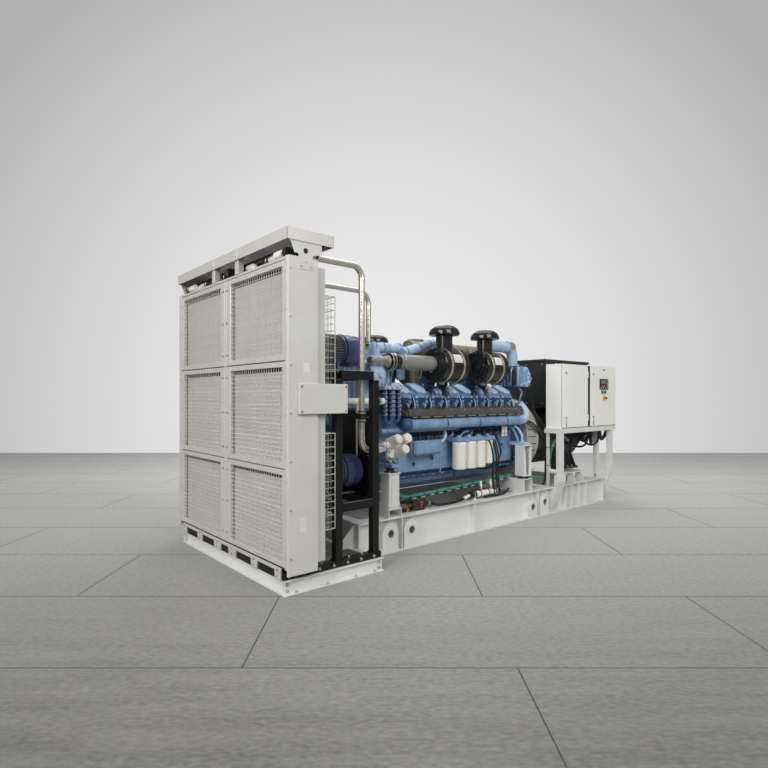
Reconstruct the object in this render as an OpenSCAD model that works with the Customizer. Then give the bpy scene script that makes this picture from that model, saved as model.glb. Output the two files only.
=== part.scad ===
// Diesel generator set on its own skid: V16 engine, alternator, upright twin-column
// radiator with four electric fans, and two switch cabinets on a side frame.
// +X runs from the radiator to the alternator, the cabinets stand on the -Y side, +Z is up.
// The origin is the middle of the main skid, on the floor.

/* [Main skid] */
// Length of the two main beams
skid_length = 4912; // [4700:1:5900]
// Width over the outer flange edges of the main beams
skid_width = 1470; // [1400:1:1770]
// Height of the main beams
skid_height = 360; // [340:1:440]
// Anchor bolt hole in the bottom flange
anchor_hole_d = 26; // [18:1:40]
// Distance between the anchor bolt holes along the beams
anchor_pitch_x = 4200; // [3000:1:4400]

/* [Radiator] */
// Length of the radiator skid
radiator_skid_length = 1055; // [1040:1:1300]
// Width of the radiator casing
radiator_width = 2374; // [2300:1:2850]
// Height of the radiator casing's top above the floor
radiator_top = 2760; // [2700:1:3400]
// Diameter of the fan openings
fan_opening_d = 800; // [660:1:820]
// Height of the lower fan centres
fan_low_z = 887; // [880:1:900]
// Height of the upper fan centres
fan_high_z = 2082; // [2060:1:2200]
// Sideways distance of the fan centres from the middle
fan_y = 585; // [560:1:600]

/* [Engine] */
// Distance between neighbouring cylinders of one bank
cylinder_pitch = 262; // [218:1:270]
// Height of the crankshaft above the skid's top
crank_rise = 690; // [680:1:760]
// Half width of the crankcase
crankcase_half = 450; // [430:1:460]
// Tilt of each cylinder bank from the vertical
bank_tilt = 30; // [25:1:32]
// Diameter of the air filter canisters
air_filter_d = 408; // [340:1:430]

/* [Alternator] */
// Diameter of the alternator's stator frame
alternator_d = 900; // [880:1:910]
// Length of the alternator's stator frame
alternator_length = 1050; // [1000:1:1200]
// Height of the terminal box
terminal_box_h = 685; // [560:1:820]

/* [Cabinets] */
// Height of both cabinets
cabinet_h = 909; // [770:1:1120]
// Depth of both cabinets, doors included
cabinet_depth = 265; // [225:1:280]
// Width of the power cabinet
power_cabinet_w = 685; // [580:1:690]
// Width of the control cabinet
control_cabinet_w = 773; // [660:1:775]
// Thickness of the cabinet doors
door_t = 18; // [14:1:24]
// Height of the cabinets' bottom above the skid's top
cabinet_rise = 819; // [700:1:900]
// How far the cabinets stand out past the skid
cabinet_overhang = 85; // [60:1:110]

/* [Hidden] */
$fn = 64;

// Places along the set that the groups hang on
skid_front = -skid_length / 2;
skid_rear = skid_length / 2;
radiator_x = skid_front - radiator_skid_length;

// Main skid sections
beam_flange = 170;
beam_web = 8;
beam_flange_t = 13;
beam_y = (skid_width - beam_flange) / 2;
web_out = beam_y + beam_web / 2;
web_in = beam_y - beam_web / 2;
cross_h = 220;
tray_t = 4;
anchor_y = beam_y - beam_flange / 4 - 2;
stiffener_t = 12;
stiffener_xs = [6, 585, 1767, 3095, 3783, 3934, 4133, 4335, 4845];
lug_xs = [422, 722, 2953, 3235];
lug_r = 108;
lug_heights = [200, 200, 150, 185];
lug_t = 75;

// Radiator skid, subframe and casing
skid_low_h = 120;
skid_low_flange = 64;
subframe_h = 58;
casing_z = skid_low_h + subframe_h;
casing_y = radiator_width / 2;
sheet_side = 20;
casing_front = -12;
panel_front = -2;
core_front = 40;
centre_post = 22;
core_back = 275;
shroud_back = 373;
column_y = casing_y - sheet_side;
row_z = [casing_z + 49, 1037, 1918, radiator_top - 20];
strip_y = 1065;
strip_back = 60;
guard_half_y = 498;
guard_half_z = fan_opening_d / 2 + 20;
guard_pitch_y = 136;
guard_pitch_z = 118;
guard_bar = 6;
guard_back = 527;
roof_z = radiator_top + 125;
roof_h = 100;
roof_sheet = 4;
roof_y = casing_y + 9;
roof_front = -32;
roof_back = 430;
header_x = 200;
header_r = 38;
header_z = roof_z - 40;
pipe_side_y = 950;
pipe_centre_y = -30;
pipe_r = 30;
tee_end = 250;

// Stand of the fan motors
post_w = 75;
stand_front = 533;
stand_back = 1027;
stand_y = 1085;
stand_in = stand_y - post_w;
rail_low = 80;
motor_r = 155;
shelf_low_z = fan_low_z - motor_r - 52;
shelf_high_z = fan_high_z - motor_r - 67;

// Engine frame: origin on the crankshaft's axis at the crankcase's front face
engine_x = skid_front + 445;
crank_z = skid_height + crank_rise;
cylinders = 8;
first_cylinder = 361;
block_length = 2 * first_cylinder + (cylinders - 1) * cylinder_pitch - 156;
block_foot = -350;
bank_y = 400;
bank_z = 540;
head_w = 300;
head_h = 200;
head_l = cylinder_pitch - 22;
door_out = 12;
filter_y = 630;
filter_z = 934;
filter_l = 404;
filter_x = [block_length / 2 - 482, block_length / 2 + 252];
intake_y = 600;
intake_z = 950;
manifold_y = 620;
manifold_z = 265;
manifold_r = 65;
branch_z = 62;
housing_length = 230;
housing_r = 470;
guard_length = 270;
guard_r = 560;
front_beam_x = 38;
rear_beam_x = block_length + 2;
front_beam_h = 90;
rear_beam_h = 176;
beam_half = 90;
foot_y = skid_width / 2 - 85;

// Alternator frame: origin on the shaft at the coupling guard's rear face
alternator_x = engine_x + block_length + housing_length + guard_length;
box_front = 317;
box_length = 1210;
box_z = alternator_d / 2 - 20;
tail_end = box_front + box_length;
foot_plate_z = 150 - crank_rise;

// Cabinets, measured from the skid's rear end
cabinet_front_y = -skid_width / 2 - cabinet_overhang;
cabinet_back_y = cabinet_front_y + cabinet_depth;
power_right = -691;
control_right = 148;
cabinet_z = skid_height + cabinet_rise;
rail_h = 70;
rail_z = cabinet_z - rail_h;
frame_left = -1427;
flare_z = skid_height + 170;
seal_gap = 5;
hinge_out = 12;
hinge_y = cabinet_front_y + 14;
knuckle_r = 7;
pin_r = 4;
pin_gap = 0.3;
knuckle_h = 30;
knuckle_gap = 0.5;
shell = 2;

// Routes of the loose hose and cables, in the set's own frame
hose_r = 20;
hose_route = [
    [-1780, -330, 640], [-1780, -375, 640], [-1765, -435, 610], [-1710, -480, 540],
    [-1620, -493, 497], [-1500, -493, 498], [-1200, -493, 505], [-900, -493, 517],
    [-550, -493, 531], [-200, -493, 544], [300, -493, 564], [430, -493, 563],
    [560, -495, 552], [700, -500, 525], [940, -512, 475], [1090, -522, 480],
    [1170, -532, 570], [1195, -540, 740], [1245, -555, 910], [1350, -563, 1010],
    [1490, -560, 1030], [1640, -535, 1000], [1760, -485, 965], [1800, -436, 960]
];
cable_r = 15;
loop_a_x = 2000;
loop_a_route = [
    [loop_a_x, -690, cabinet_z], [loop_a_x, -690, 1090], [loop_a_x, -686, 1000],
    [loop_a_x, -660, 915], [loop_a_x, -600, 864], [loop_a_x, -530, 853],
    [loop_a_x, -490, 853], [loop_a_x, -450, 853]
];
loop_b_x = 2310;
gland_y = -430;
gland_z = 1000;
loop_b_route = [
    [loop_b_x, -690, cabinet_z], [loop_b_x, -690, 1090], [loop_b_x, -690, 995],
    [loop_b_x, -673, 930], [loop_b_x, -625, 882], [loop_b_x, -560, 865],
    [loop_b_x, -495, 882], [loop_b_x, -447, 930], [loop_b_x, gland_y, 985],
    [loop_b_x, gland_y, gland_z]
];

// ---- shapes that several sub-parts share ----

module box(x0, x1, y0, y1, z0, z1) {
    translate([x0, y0, z0]) cube([x1 - x0, y1 - y0, z1 - z0]);
}

module both_sides() {
    children();
    mirror([0, 1, 0]) children();
}

// Rolled I-section along X from x = 0, its foot on z = 0
module i_beam(length, height, flange, flange_t, web) {
    rotate([90, 0, 90]) linear_extrude(length) {
        translate([-flange / 2, 0]) square([flange, flange_t]);
        translate([-flange / 2, height - flange_t]) square([flange, flange_t]);
        translate([-web / 2, 0]) square([web, height]);
    }
}

// Profile drawn in (y, z), pushed along X
module along_x(x0, x1, outline) {
    translate([x0, 0, 0]) rotate([90, 0, 90]) linear_extrude(x1 - x0) polygon(outline);
}

// Profile drawn in (x, z), pushed along Y
module along_y(y0, y1, outline) {
    translate([0, y1, 0]) rotate([90, 0, 0]) linear_extrude(y1 - y0) polygon(outline);
}

// Cylinder along X
module bar_x(x0, x1, y, z, r) {
    translate([x0, y, z]) rotate([0, 90, 0]) cylinder(r = r, h = x1 - x0);
}

// Cylinder along Y
module bar_y(y0, y1, x, z, r) {
    translate([x, y0, z]) rotate([-90, 0, 0]) cylinder(r = r, h = y1 - y0);
}

// Cylinder along Z
module bar_z(z0, z1, x, y, r) {
    translate([x, y, z0]) cylinder(r = r, h = z1 - z0);
}

function unit(v) = v / norm(v);

// Straight round bar between two points
module rod(a, b, r) {
    d = b - a;
    translate(a) rotate([0, acos(d.z / norm(d)), atan2(d.y, d.x)]) cylinder(r = r, h = norm(d));
}

// How far a bend of the given radius reaches along each leg of corner i
function reach(points, i, bend) =
    i == 0 || i == len(points) - 1 ? 0
    : bend * tan(acos(unit(points[i] - points[i - 1]) * unit(points[i + 1] - points[i])) / 2);

// Torus piece that turns from direction u to direction v at corner p
module pipe_bend(p, u, v, bend, r) {
    turn = acos(u * v);
    n = unit(v - u * (u * v));
    c = p - u * bend * tan(turn / 2) + n * bend;
    w = cross(-n, u);
    multmatrix([[-n.x, u.x, w.x, c.x], [-n.y, u.y, w.y, c.y], [-n.z, u.z, w.z, c.z], [0, 0, 0, 1]])
        rotate_extrude(angle = turn) translate([bend, 0]) circle(r);
}

// Round pipe through the points, with its corners bent to one radius
module pipe(points, r, bend) {
    last = len(points) - 1;
    for (i = [0 : last - 1]) {
        u = unit(points[i + 1] - points[i]);
        rod(points[i] + u * reach(points, i, bend), points[i + 1] - u * reach(points, i + 1, bend), r);
    }
    for (i = [1 : last - 1])
        pipe_bend(points[i], unit(points[i] - points[i - 1]), unit(points[i + 1] - points[i]), bend, r);
}

// Smooth curve through route points: place and slope at part t of span i
function spline(p, i, t) = let (
    a = p[max(i - 1, 0)], b = p[i], c = p[i + 1], d = p[min(i + 2, len(p) - 1)])
    [b + ((c - a) * t + (2 * a - 5 * b + 4 * c - d) * t * t + (3 * b - a - 3 * c + d) * t * t * t) / 2,
     (c - a) + 2 * (2 * a - 5 * b + 4 * c - d) * t + 3 * (3 * b - a - 3 * c + d) * t * t];

function stations(p, n) = concat(
    [for (i = [0 : len(p) - 2]) for (k = [0 : n - 1]) spline(p, i, k / n)],
    [spline(p, len(p) - 2, 1)]);

// Limp tube with round rings at n stations a span; across is never along the route
module limp_tube(route, r, n, across) {
    sides = 10;
    s = stations(route, n);
    count = len(s);
    points = [for (q = s) let (w = unit(q[1]), u = unit(cross(across, w)), v = cross(w, u))
        for (j = [0 : sides - 1]) q[0] + r * (cos(360 * j / sides) * u + sin(360 * j / sides) * v)];
    faces = concat(
        [[for (j = [sides - 1 : -1 : 0]) j]],
        [for (i = [0 : count - 2]) for (j = [0 : sides - 1])
            [i * sides + j, i * sides + (j + 1) % sides,
             (i + 1) * sides + (j + 1) % sides, (i + 1) * sides + j]],
        [[for (j = [0 : sides - 1]) (count - 1) * sides + j]]);
    polyhedron(points, [for (f = faces) [for (k = [len(f) - 1 : -1 : 0]) f[k]]]);
}

// ---- main skid ----

module skid_beams() {
    color("gainsboro") both_sides() difference() {
        union() {
            translate([skid_front, beam_y, 0])
                i_beam(skid_length, skid_height, beam_flange, beam_flange_t, beam_web);
            for (x = stiffener_xs)
                translate([skid_front + min(x, skid_length - 67), 0, 0])
                    box(-stiffener_t / 2, stiffener_t / 2, web_out - 1, web_out + 77,
                        beam_flange_t - 1, skid_height - beam_flange_t + 1);
        }
        for (x = [-1, 1])
            translate([x * anchor_pitch_x / 2, anchor_y, -1])
                cylinder(d = anchor_hole_d, h = beam_flange_t + 2);
    }
}

// Cross members between the webs, and the gussets at the beams' front ends
module skid_cross_members() {
    color("gainsboro") {
        for (x = [skid_front + 120, skid_front + 3400, skid_rear - 120])
            translate([x, -web_in, skid_height - beam_flange_t - cross_h])
                rotate([0, 0, 90]) i_beam(2 * web_in, cross_h, 120, 10, 8);
        translate([skid_front, 0, 0]) both_sides()
            along_y(beam_y - 6, beam_y + 6, [[-235, skid_low_h], [0, skid_low_h], [0, skid_height - 15]]);
    }
}

module drip_tray() {
    color("gainsboro") difference() {
        box(skid_front + 12, skid_front + 3300, -web_in, web_in, beam_flange_t, beam_flange_t + tray_t);
        for (x = [-1, 1])
            for (y = [-1, 1])
                bar_z(0, skid_height / 2, x * anchor_pitch_x / 2, y * anchor_y, 30);
    }
}

// Two pairs of lifting eyes a side, welded to the beam's web
module lifting_lugs() {
    color("silver") both_sides() for (i = [0 : 3])
        translate([skid_front + lug_xs[i], 0, 0]) difference() {
            union() {
                bar_y(web_out, web_out + lug_t, 0, lug_heights[i], lug_r);
                box(-lug_r, lug_r, web_out, web_out + lug_t, beam_flange_t, lug_heights[i]);
            }
            bar_y(web_out - 1, web_out + lug_t + 1, 0, lug_heights[i], 38);
        }
}

// Box section across the skid, open at both ends
module engine_beam(x, h, wall) {
    half = skid_width / 2;
    difference() {
        box(x - beam_half, x + beam_half, -half, half, skid_height, skid_height + h);
        box(x - beam_half + 8, x + beam_half - 8, -half - 1, half + 1,
            skid_height + wall, skid_height + h - wall);
    }
}

module engine_beams() {
    color("gainsboro") translate([engine_x, 0, 0]) {
        engine_beam(front_beam_x, front_beam_h, 8);
        engine_beam(rear_beam_x, rear_beam_h, 10);
    }
}

// ---- radiator ----

module at_radiator() {
    translate([radiator_x, 0, 0]) children();
}

module radiator_skid_sides() {
    color("gainsboro") at_radiator() both_sides() translate([0, stand_y - 2, 0])
        i_beam(radiator_skid_length, skid_low_h, skid_low_flange, 8, 6);
}

module radiator_skid_ends() {
    edge = skid_low_flange / 2;
    half = stand_y - 2 - edge;
    color("gainsboro") at_radiator() for (x = [edge, radiator_skid_length - edge])
        translate([x, -half, 0]) rotate([0, 0, 90]) i_beam(2 * half, skid_low_h, skid_low_flange, 8, 6);
}

module radiator_base_strip() {
    color("silver") at_radiator() difference() {
        union() {
            box(casing_front, 3, -strip_y, strip_y, skid_low_h, row_z[0]);
            box(casing_front, strip_back, -stand_in + 5, stand_in - 5, skid_low_h, row_z[0]);
        }
        for (p = [[-815, 314], [-395, 314], [0, 186], [395, 314], [815, 314]])
            translate([casing_front - 1, p[0] - p[1] / 2, skid_low_h - 1]) cube([50, p[1], 76]);
    }
}

module radiator_core() {
    color("lightgray") at_radiator() {
        box(core_front, core_back, -column_y, column_y, row_z[0], radiator_top);
        box(strip_back + 2, core_back, -column_y, column_y, casing_z, row_z[0] + 1);
    }
}

module radiator_sides() {
    color("lightgray") at_radiator() both_sides()
        box(casing_front, core_back, column_y, casing_y, casing_z, radiator_top);
}

// One framed grille with coarse bars each way
module grille_panel(y0, y1, z0, z1) {
    rim = 45;
    stile = 88;
    difference() {
        box(panel_front, core_front, y0, y1, z0, z1);
        box(panel_front - 1, core_front + 1, y0 + stile, y1 - stile, z0 + rim, z1 - rim);
    }
    for (i = [1 : 5])
        translate([8, y0 + stile - 1, z0 + rim + (z1 - z0 - 2 * rim) * i / 6 - 3])
            cube([6, y1 - y0 - 2 * stile + 2, 6]);
    for (i = [1 : 5])
        translate([14, y0 + stile + (y1 - y0 - 2 * stile) * i / 6 - 3, z0 + rim - 1])
            cube([6, 6, z1 - z0 - 2 * rim + 2]);
}

module grille_panels() {
    color("silver") at_radiator() {
        box(panel_front, core_front, -centre_post - 1, centre_post + 1, row_z[0], row_z[3] - 4);
        both_sides() for (k = [0 : 2])
            grille_panel(centre_post, column_y, row_z[k], row_z[k + 1] - 4);
    }
}

// Sheet tray over the radiator, open below, on middle posts and side hangers
module radiator_roof() {
    top = roof_z + roof_h;
    color("silver") at_radiator() {
        difference() {
            box(roof_front, roof_back, -roof_y, roof_y, roof_z, top);
            box(roof_front + roof_sheet, roof_back - roof_sheet, -roof_y + roof_sheet, roof_y - roof_sheet,
                roof_z - 1, top - roof_sheet);
        }
        both_sides() {
            box(casing_front, 48, 225, 295, radiator_top, top - 1);
            box(roof_front - 3, roof_front + 1, 225, 295, roof_z, top);
            difference() {
                along_y(casing_y, casing_y + 8, [[2, roof_z + 15], [309, roof_z + 15], [309, roof_z - 85],
                    [230, roof_z - 100], [220, roof_z - 100], [220, roof_z - 226], [86, roof_z - 226],
                    [86, roof_z - 100], [48, roof_z - 100]]);
                bar_y(casing_y - 1, casing_y + 9, 152, roof_z - 72, 22);
            }
        }
    }
}

module header_pipes() {
    color("gainsboro") at_radiator() {
        bar_y(-1000, 1000, header_x, header_z, header_r);
        both_sides() for (y = [400, 850])
            bar_z(radiator_top, header_z, header_x, y, 30);
        for (y = [-pipe_side_y, pipe_centre_y, pipe_side_y])
            bar_x(header_x, tee_end, y, header_z, pipe_r + 5);
    }
}

module at_each_fan() {
    for (side = [-1, 1])
        for (z = [fan_low_z, fan_high_z])
            translate([radiator_x, side * fan_y, z]) children();
}

module fan_shroud() {
    color("lightgray") difference() {
        at_radiator() box(core_back, shroud_back, -column_y + 20, column_y - 20, 237, radiator_top - 52);
        at_each_fan() bar_x(core_back - 1, shroud_back + 1, 0, 0, fan_opening_d / 2);
    }
}

// Cages over the fans, with coarse windows in their faces
module fan_guards() {
    window_y = guard_pitch_y - guard_bar;
    window_z = guard_pitch_z - guard_bar;
    color("ivory") at_each_fan() difference() {
        box(shroud_back, guard_back, -guard_half_y, guard_half_y, -guard_half_z, guard_half_z);
        box(shroud_back - 1, guard_back - guard_bar, -guard_half_y + guard_bar, guard_half_y - guard_bar,
            -guard_half_z + guard_bar, guard_half_z - guard_bar);
        for (i = [-3 : 3])
            for (k = [-3 : 3])
                translate([guard_back - 10, i * guard_pitch_y - window_y / 2, k * guard_pitch_z - window_z / 2])
                    cube([20, window_y, window_z]);
    }
}

module fan_wheels() {
    blade_l = fan_opening_d / 2 - 80;
    color("dimgray") at_each_fan() {
        bar_x(core_back + 20, shroud_back - 3, 0, 0, 90);
        for (i = [0 : 5])
            rotate([60 * i, 0, 0]) translate([core_back + 54, 0, 70])
                rotate([0, 0, 35]) translate([-4, -70, 0]) cube([8, 140, blade_l]);
    }
}

// Side frames of the motor stand on the black subframe rails
module motor_stand_sides() {
    color("dimgray") at_radiator() both_sides() {
        box(4, 1050, stand_y - 80, stand_y, skid_low_h, casing_z);
        for (x = [stand_front, stand_back - post_w])
            box(x, x + post_w, stand_in, stand_y, casing_z, shelf_high_z);
        for (z = [shelf_low_z, shelf_high_z])
            box(stand_front, stand_back, stand_in, stand_y, z - rail_low, z);
    }
}

// Rails across the stand that carry the motors
module motor_stand_rails() {
    color("dimgray") at_radiator()
        for (x = [stand_front, stand_back - post_w])
            for (z = [shelf_low_z, shelf_high_z])
                box(x, x + post_w, -stand_in, stand_in, z - rail_low, z);
}

// Black panels behind the lower motors, on arms from the low rail
module stand_panels() {
    color("dimgray") at_radiator() both_sides() {
        box(1130, 1136, 215, 850, shelf_low_z - 80, 1480);
        for (y = [240, 640])
            box(stand_back, 1130, y, y + 50, shelf_low_z - 70, shelf_low_z - 20);
    }
}

module fan_motors() {
    color("dimgray") at_each_fan() {
        bar_x(shroud_back - 3, 560, 0, 0, 30);
        bar_x(560, 920, 0, 0, motor_r);
        box(640, 860, -110, 110, -motor_r - 40, -motor_r + 25);
    }
    color("dimgray") at_radiator() for (side = [-1, 1]) {
        translate([0, side * fan_y, 0]) {
            box(stand_front, stand_back, -130, 130, shelf_low_z, shelf_low_z + 14);
            box(stand_front, stand_back, -130, 130, shelf_high_z, shelf_high_z + 28);
        }
    }
}

module motor_cowls() {
    color("darkslateblue") at_each_fan() difference() {
        bar_x(920, 1121, 0, 0, motor_r + 7);
        bar_x(1112, 1122, 0, 0, motor_r - 20);
    }
}

module junction_box() {
    color("gainsboro") at_radiator() {
        box(79, 564, -casing_y - 31, -casing_y, 1480, 1730);
        box(shroud_back + 2, 564, -casing_y - 1, -stand_y - 2, 1490, 1720);
    }
}

module coolant_pipe_side() {
    down = 921;
    low = crank_z + branch_z;
    color("silver") at_radiator() both_sides()
        pipe([[tee_end, pipe_side_y, header_z], [down, pipe_side_y, header_z],
              [down, pipe_side_y, low], [1250, pipe_side_y, low], [1250, 640, low],
              [radiator_skid_length + 385, 640, low]], pipe_r, 110);
}

module coolant_pipe_centre() {
    color("silver") at_radiator()
        pipe([[tee_end, pipe_centre_y, header_z], [radiator_skid_length + 689, pipe_centre_y, header_z],
              [radiator_skid_length + 689, pipe_centre_y, crank_z + 1130]], pipe_r, 150);
}

module coolant_pipe_low() {
    color("ivory") at_radiator() both_sides()
        bar_x(shroud_back, radiator_skid_length + 430, 600, crank_z + 525, 35);
}

// ---- engine ----

module engine_frame() {
    translate([engine_x, 0, crank_z]) children();
}

// Children are placed in the frame of one cylinder bank: x from the crankcase's front face,
// y across the bank, z up along the cylinders
module at_bank(side) {
    translate([0, side * bank_y, bank_z]) rotate([-side * bank_tilt, 0, 0]) children();
}

// Place in (y, z) of a point of the +Y bank's frame
function bank_point(v, w) =
    [bank_y + v * cos(bank_tilt) + w * sin(bank_tilt), bank_z - v * sin(bank_tilt) + w * cos(bank_tilt)];

module at_each_cylinder() {
    for (side = [-1, 1])
        for (i = [0 : cylinders - 1])
            at_bank(side) translate([first_cylinder + i * cylinder_pitch, 0, 0]) children();
}

// Crankcase with a flat deck under each bank and a row of hand-hole doors
module engine_block() {
    c = crankcase_half;
    half = [[0, block_foot], [c - 120, block_foot], [c, -280], [c, 300],
            bank_point(head_w / 2, -head_h / 2), bank_point(-head_w / 2, -head_h / 2), [120, 440], [0, 440]];
    other = [for (i = [len(half) - 2 : -1 : 1]) [-half[i].x, half[i].y]];
    color("steelblue") engine_frame() {
        along_x(0, block_length, concat(half, other));
        both_sides() for (i = [0 : cylinders - 1])
            translate([first_cylinder + i * cylinder_pitch, 0, 0])
                box(-head_l / 2 + 25, head_l / 2 - 25, c - 1, c + door_out, -230, -10);
    }
}

module oil_sump() {
    half = crankcase_half - 120;
    color("steelblue") engine_frame()
        along_x(60, block_length - 160, [[-half, block_foot], [half, block_foot], [half, block_foot - 80],
            [240, block_foot - 150], [-240, block_foot - 150], [-half, block_foot - 80]]);
}

module gear_case() {
    color("steelblue") engine_frame() {
        box(-180, 0, -430, 430, block_foot, 420);
        bar_x(-300, -180, 0, 0, 260);
        both_sides() bar_x(-260, -180, 250, 300, 90);
    }
}

// Two bent tubes a side below a bolted flange, in front of the cylinder banks
module front_tubes() {
    y = 600;
    color("steelblue") engine_frame() both_sides() {
        pipe([[12, y, 650], [12, y, 290], [102, y, 290], [102, y, 650]], 21, 34);
        pipe([[127, y, 650], [127, y, 305], [209, y, 305], [209, y, 650]], 21, 32);
        box(-15, 235, 420, 640, 645, 690);
        bar_x(-15, 6, y, 525, 28);
    }
}

module cylinder_heads() {
    color("steelblue") engine_frame() at_each_cylinder()
        box(-head_l / 2, head_l / 2, -head_w / 2, head_w / 2, -head_h / 2, head_h / 2);
}

// Rocker covers: round at the outer end, with a narrower lid on top
module valve_covers() {
    r = head_l / 2 - 20;
    color("lightsteelblue") engine_frame() for (side = [-1, 1])
        for (i = [0 : cylinders - 1])
            at_bank(side) translate([first_cylinder + i * cylinder_pitch, side * 50, head_h / 2]) {
                linear_extrude(70) {
                    circle(r);
                    translate([-r, side > 0 ? -180 : 0]) square([2 * r, 180]);
                }
                linear_extrude(105) {
                    circle(r - 25);
                    translate([-r + 25, side > 0 ? -150 : 0]) square([2 * r - 50, 150]);
                }
            }
}

// Black channels with the fuel lines and wiring, on brackets from the crankcase
module rail_trunks() {
    c = crankcase_half;
    color("dimgray") engine_frame() both_sides() {
        along_x(first_cylinder - 84, block_length - 7,
            [[500, 340], [665, 340], [665, 400], [640, 452], [535, 452], [500, 375]]);
        for (i = [0 : 2 : cylinders - 2])
            translate([first_cylinder + (i + 0.5) * cylinder_pitch, 0, 0]) {
                box(-15, 15, c, 545, 270, 300);
                box(-15, 15, 505, 545, 299, 341);
            }
    }
}

module coolant_manifolds() {
    end = block_length + 80;
    color("steelblue") engine_frame() both_sides() {
        pipe([[290, manifold_y, manifold_z], [end, manifold_y, manifold_z], [end, manifold_y, 500]],
             manifold_r, 110);
        for (i = [0 : cylinders - 1])
            bar_y(crankcase_half, manifold_y, first_cylinder + i * cylinder_pitch, 240, 30);
    }
}

// Two canisters a side with a rain cap on each, on plate brackets from the deck
module air_filters() {
    r = air_filter_d / 2;
    inner = filter_y - r;
    color("dimgray") engine_frame() both_sides() {
        for (x = filter_x) {
            bar_x(x, x + filter_l, filter_y, filter_z, r);
            bar_z(filter_z + r - 20, 1266, x + 170, filter_y, 97);
            bar_z(1266, 1400, x + 170, filter_y, 180);
        }
        for (i = [1, 2, 4, 5])
            translate([first_cylinder + (i + 0.5) * cylinder_pitch, 0, 0])
                along_x(-8, 8, [bank_point(-80, -head_h / 2), bank_point(40, -head_h / 2),
                    [inner + 40, 820], [inner + 40, filter_z], [inner - 40, filter_z]]);
    }
}

// Silver cone from the turbocharger and black duct to the first canister
module intake_ducts() {
    color("dimgray") engine_frame() both_sides() {
        translate([-50, intake_y, intake_z]) rotate([0, 90, 0]) cylinder(r1 = 45, r2 = 85, h = 250);
        bar_x(200, filter_x[0], intake_y, intake_z, 90);
    }
}

module turbochargers() {
    color("silver") engine_frame() both_sides() {
        bar_x(-200, -50, intake_y, intake_z, 60);
        bar_y(420, intake_y - 20, -120, 890, 70);
        bar_y(420, intake_y + 30, -70, 790, 88);
    }
}

module charge_air_cooler() {
    color("lightsteelblue") engine_frame() {
        box(-150, 0, -420, 420, 420, 970);
        box(-1, first_cylinder - head_l / 2 - 6, -420, 420, bank_point(-head_w / 2, -head_h / 2).y, 970);
    }
}

// Castings on top of the cooler, and the tubes that carry the air on over the banks
module charge_air_pipes() {
    color("lightsteelblue") engine_frame() {
        box(160, 330, -150, 150, 970, 1100);
        bar_z(1090, 1130, 244, pipe_centre_y, 42);
        both_sides() {
            bar_x(160, 590, 200, 1140, 60);
            box(160, 240, 140, 260, 970, 1140);
            rod([530, 300, 1085], [1050, 300, 1230], 60);
            box(990, 1060, 270, 330, 790, 1220);
            bar_y(200, 300, 570, 1110, 45);
        }
    }
}

module exhaust_pipe() {
    z = 1180;
    color("tan") engine_frame() {
        bar_x(900, block_length - 150, 0, z, 100);
        for (i = [1 : 3])
            bar_z(440, z, first_cylinder + (2 * i + 0.5) * cylinder_pitch, 0, 60);
    }
}

// Elbow and cover over the rear end of each bank
module rear_elbow() {
    x = block_length;
    color("lightsteelblue") engine_frame() both_sides() {
        pipe([[x - 500, 450, 1240], [x + 30, 450, 1240], [x + 30, 450, 980]], 75, 120);
        translate([0, 350, 0]) along_y(0, 270,
            [[x - 80, 700], [x + 180, 700], [x + 230, 760], [x + 230, 900], [x + 150, 1000],
             [x - 80, 1000]]);
        along_x(x - 75, x - 5,
            [bank_point(-60, -head_h / 2), bank_point(30, -head_h / 2), [470, 701], [380, 701]]);
    }
}

module spin_on_filters() {
    color("white") engine_frame() {
        for (x = [1190, 1370, 1550])
            bar_z(-304, 36, x, -600, 86);
        bar_z(-270, 36, 1722, -600, 62);
        box(1100, 1800, -670, -crankcase_half, 35, 80);
    }
}

// Cream coolant branch on both sides; three canisters point out and up on the cabinet side
module front_filters() {
    color("ivory") engine_frame() {
        both_sides() {
            bar_x(-60, 250, 640, branch_z, 40);
            box(150, 245, crankcase_half, 640, 20, 90);
        }
        box(20, 250, -640, -570, -85, branch_z);
        for (p = [[58, 76], [195, 79], [159, -37]])
            translate([p.x, -600, p.y]) rotate([70, 0, 0]) cylinder(r = 55, h = 190);
    }
}

module engine_controller() {
    color("steelblue") engine_frame() box(451, 911, -600, -crankcase_half - door_out, -90, 80);
}

module flywheel_housing() {
    color("steelblue") engine_frame()
        bar_x(block_length, block_length + housing_length, 0, 0, housing_r);
}

module coupling_guard() {
    x = block_length + housing_length;
    color("gray") engine_frame() bar_x(x, x + guard_length, 0, 0, guard_r);
}

// Front pedestal: flared foot, head plate and rubber mount, from the beam's top up
module front_post(x, z0, z1) {
    translate([x, foot_y, 0]) {
        along_y(-70, 70, [[-80, z0], [80, z0], [80, z0 + 30], [70, z0 + 90], [70, z1], [-70, z1],
            [-70, z0 + 90], [-80, z0 + 30]]);
        box(-88, 88, -80, 80, z1 - 12, z1);
        bar_z(z1, z1 + 50, 0, 0, 60);
    }
}

// Rear pedestal: channel open to the outside, on a rubber mount
module rear_post(x, z0, z1) {
    translate([x, foot_y, 0]) {
        bar_z(z0, z0 + 34, 0, 0, 75);
        difference() {
            box(-85, 85, -70, 75, z0 + 34, z1);
            box(-73, 73, -58, 76, z0 + 46, z1 - 12);
        }
    }
}

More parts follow.
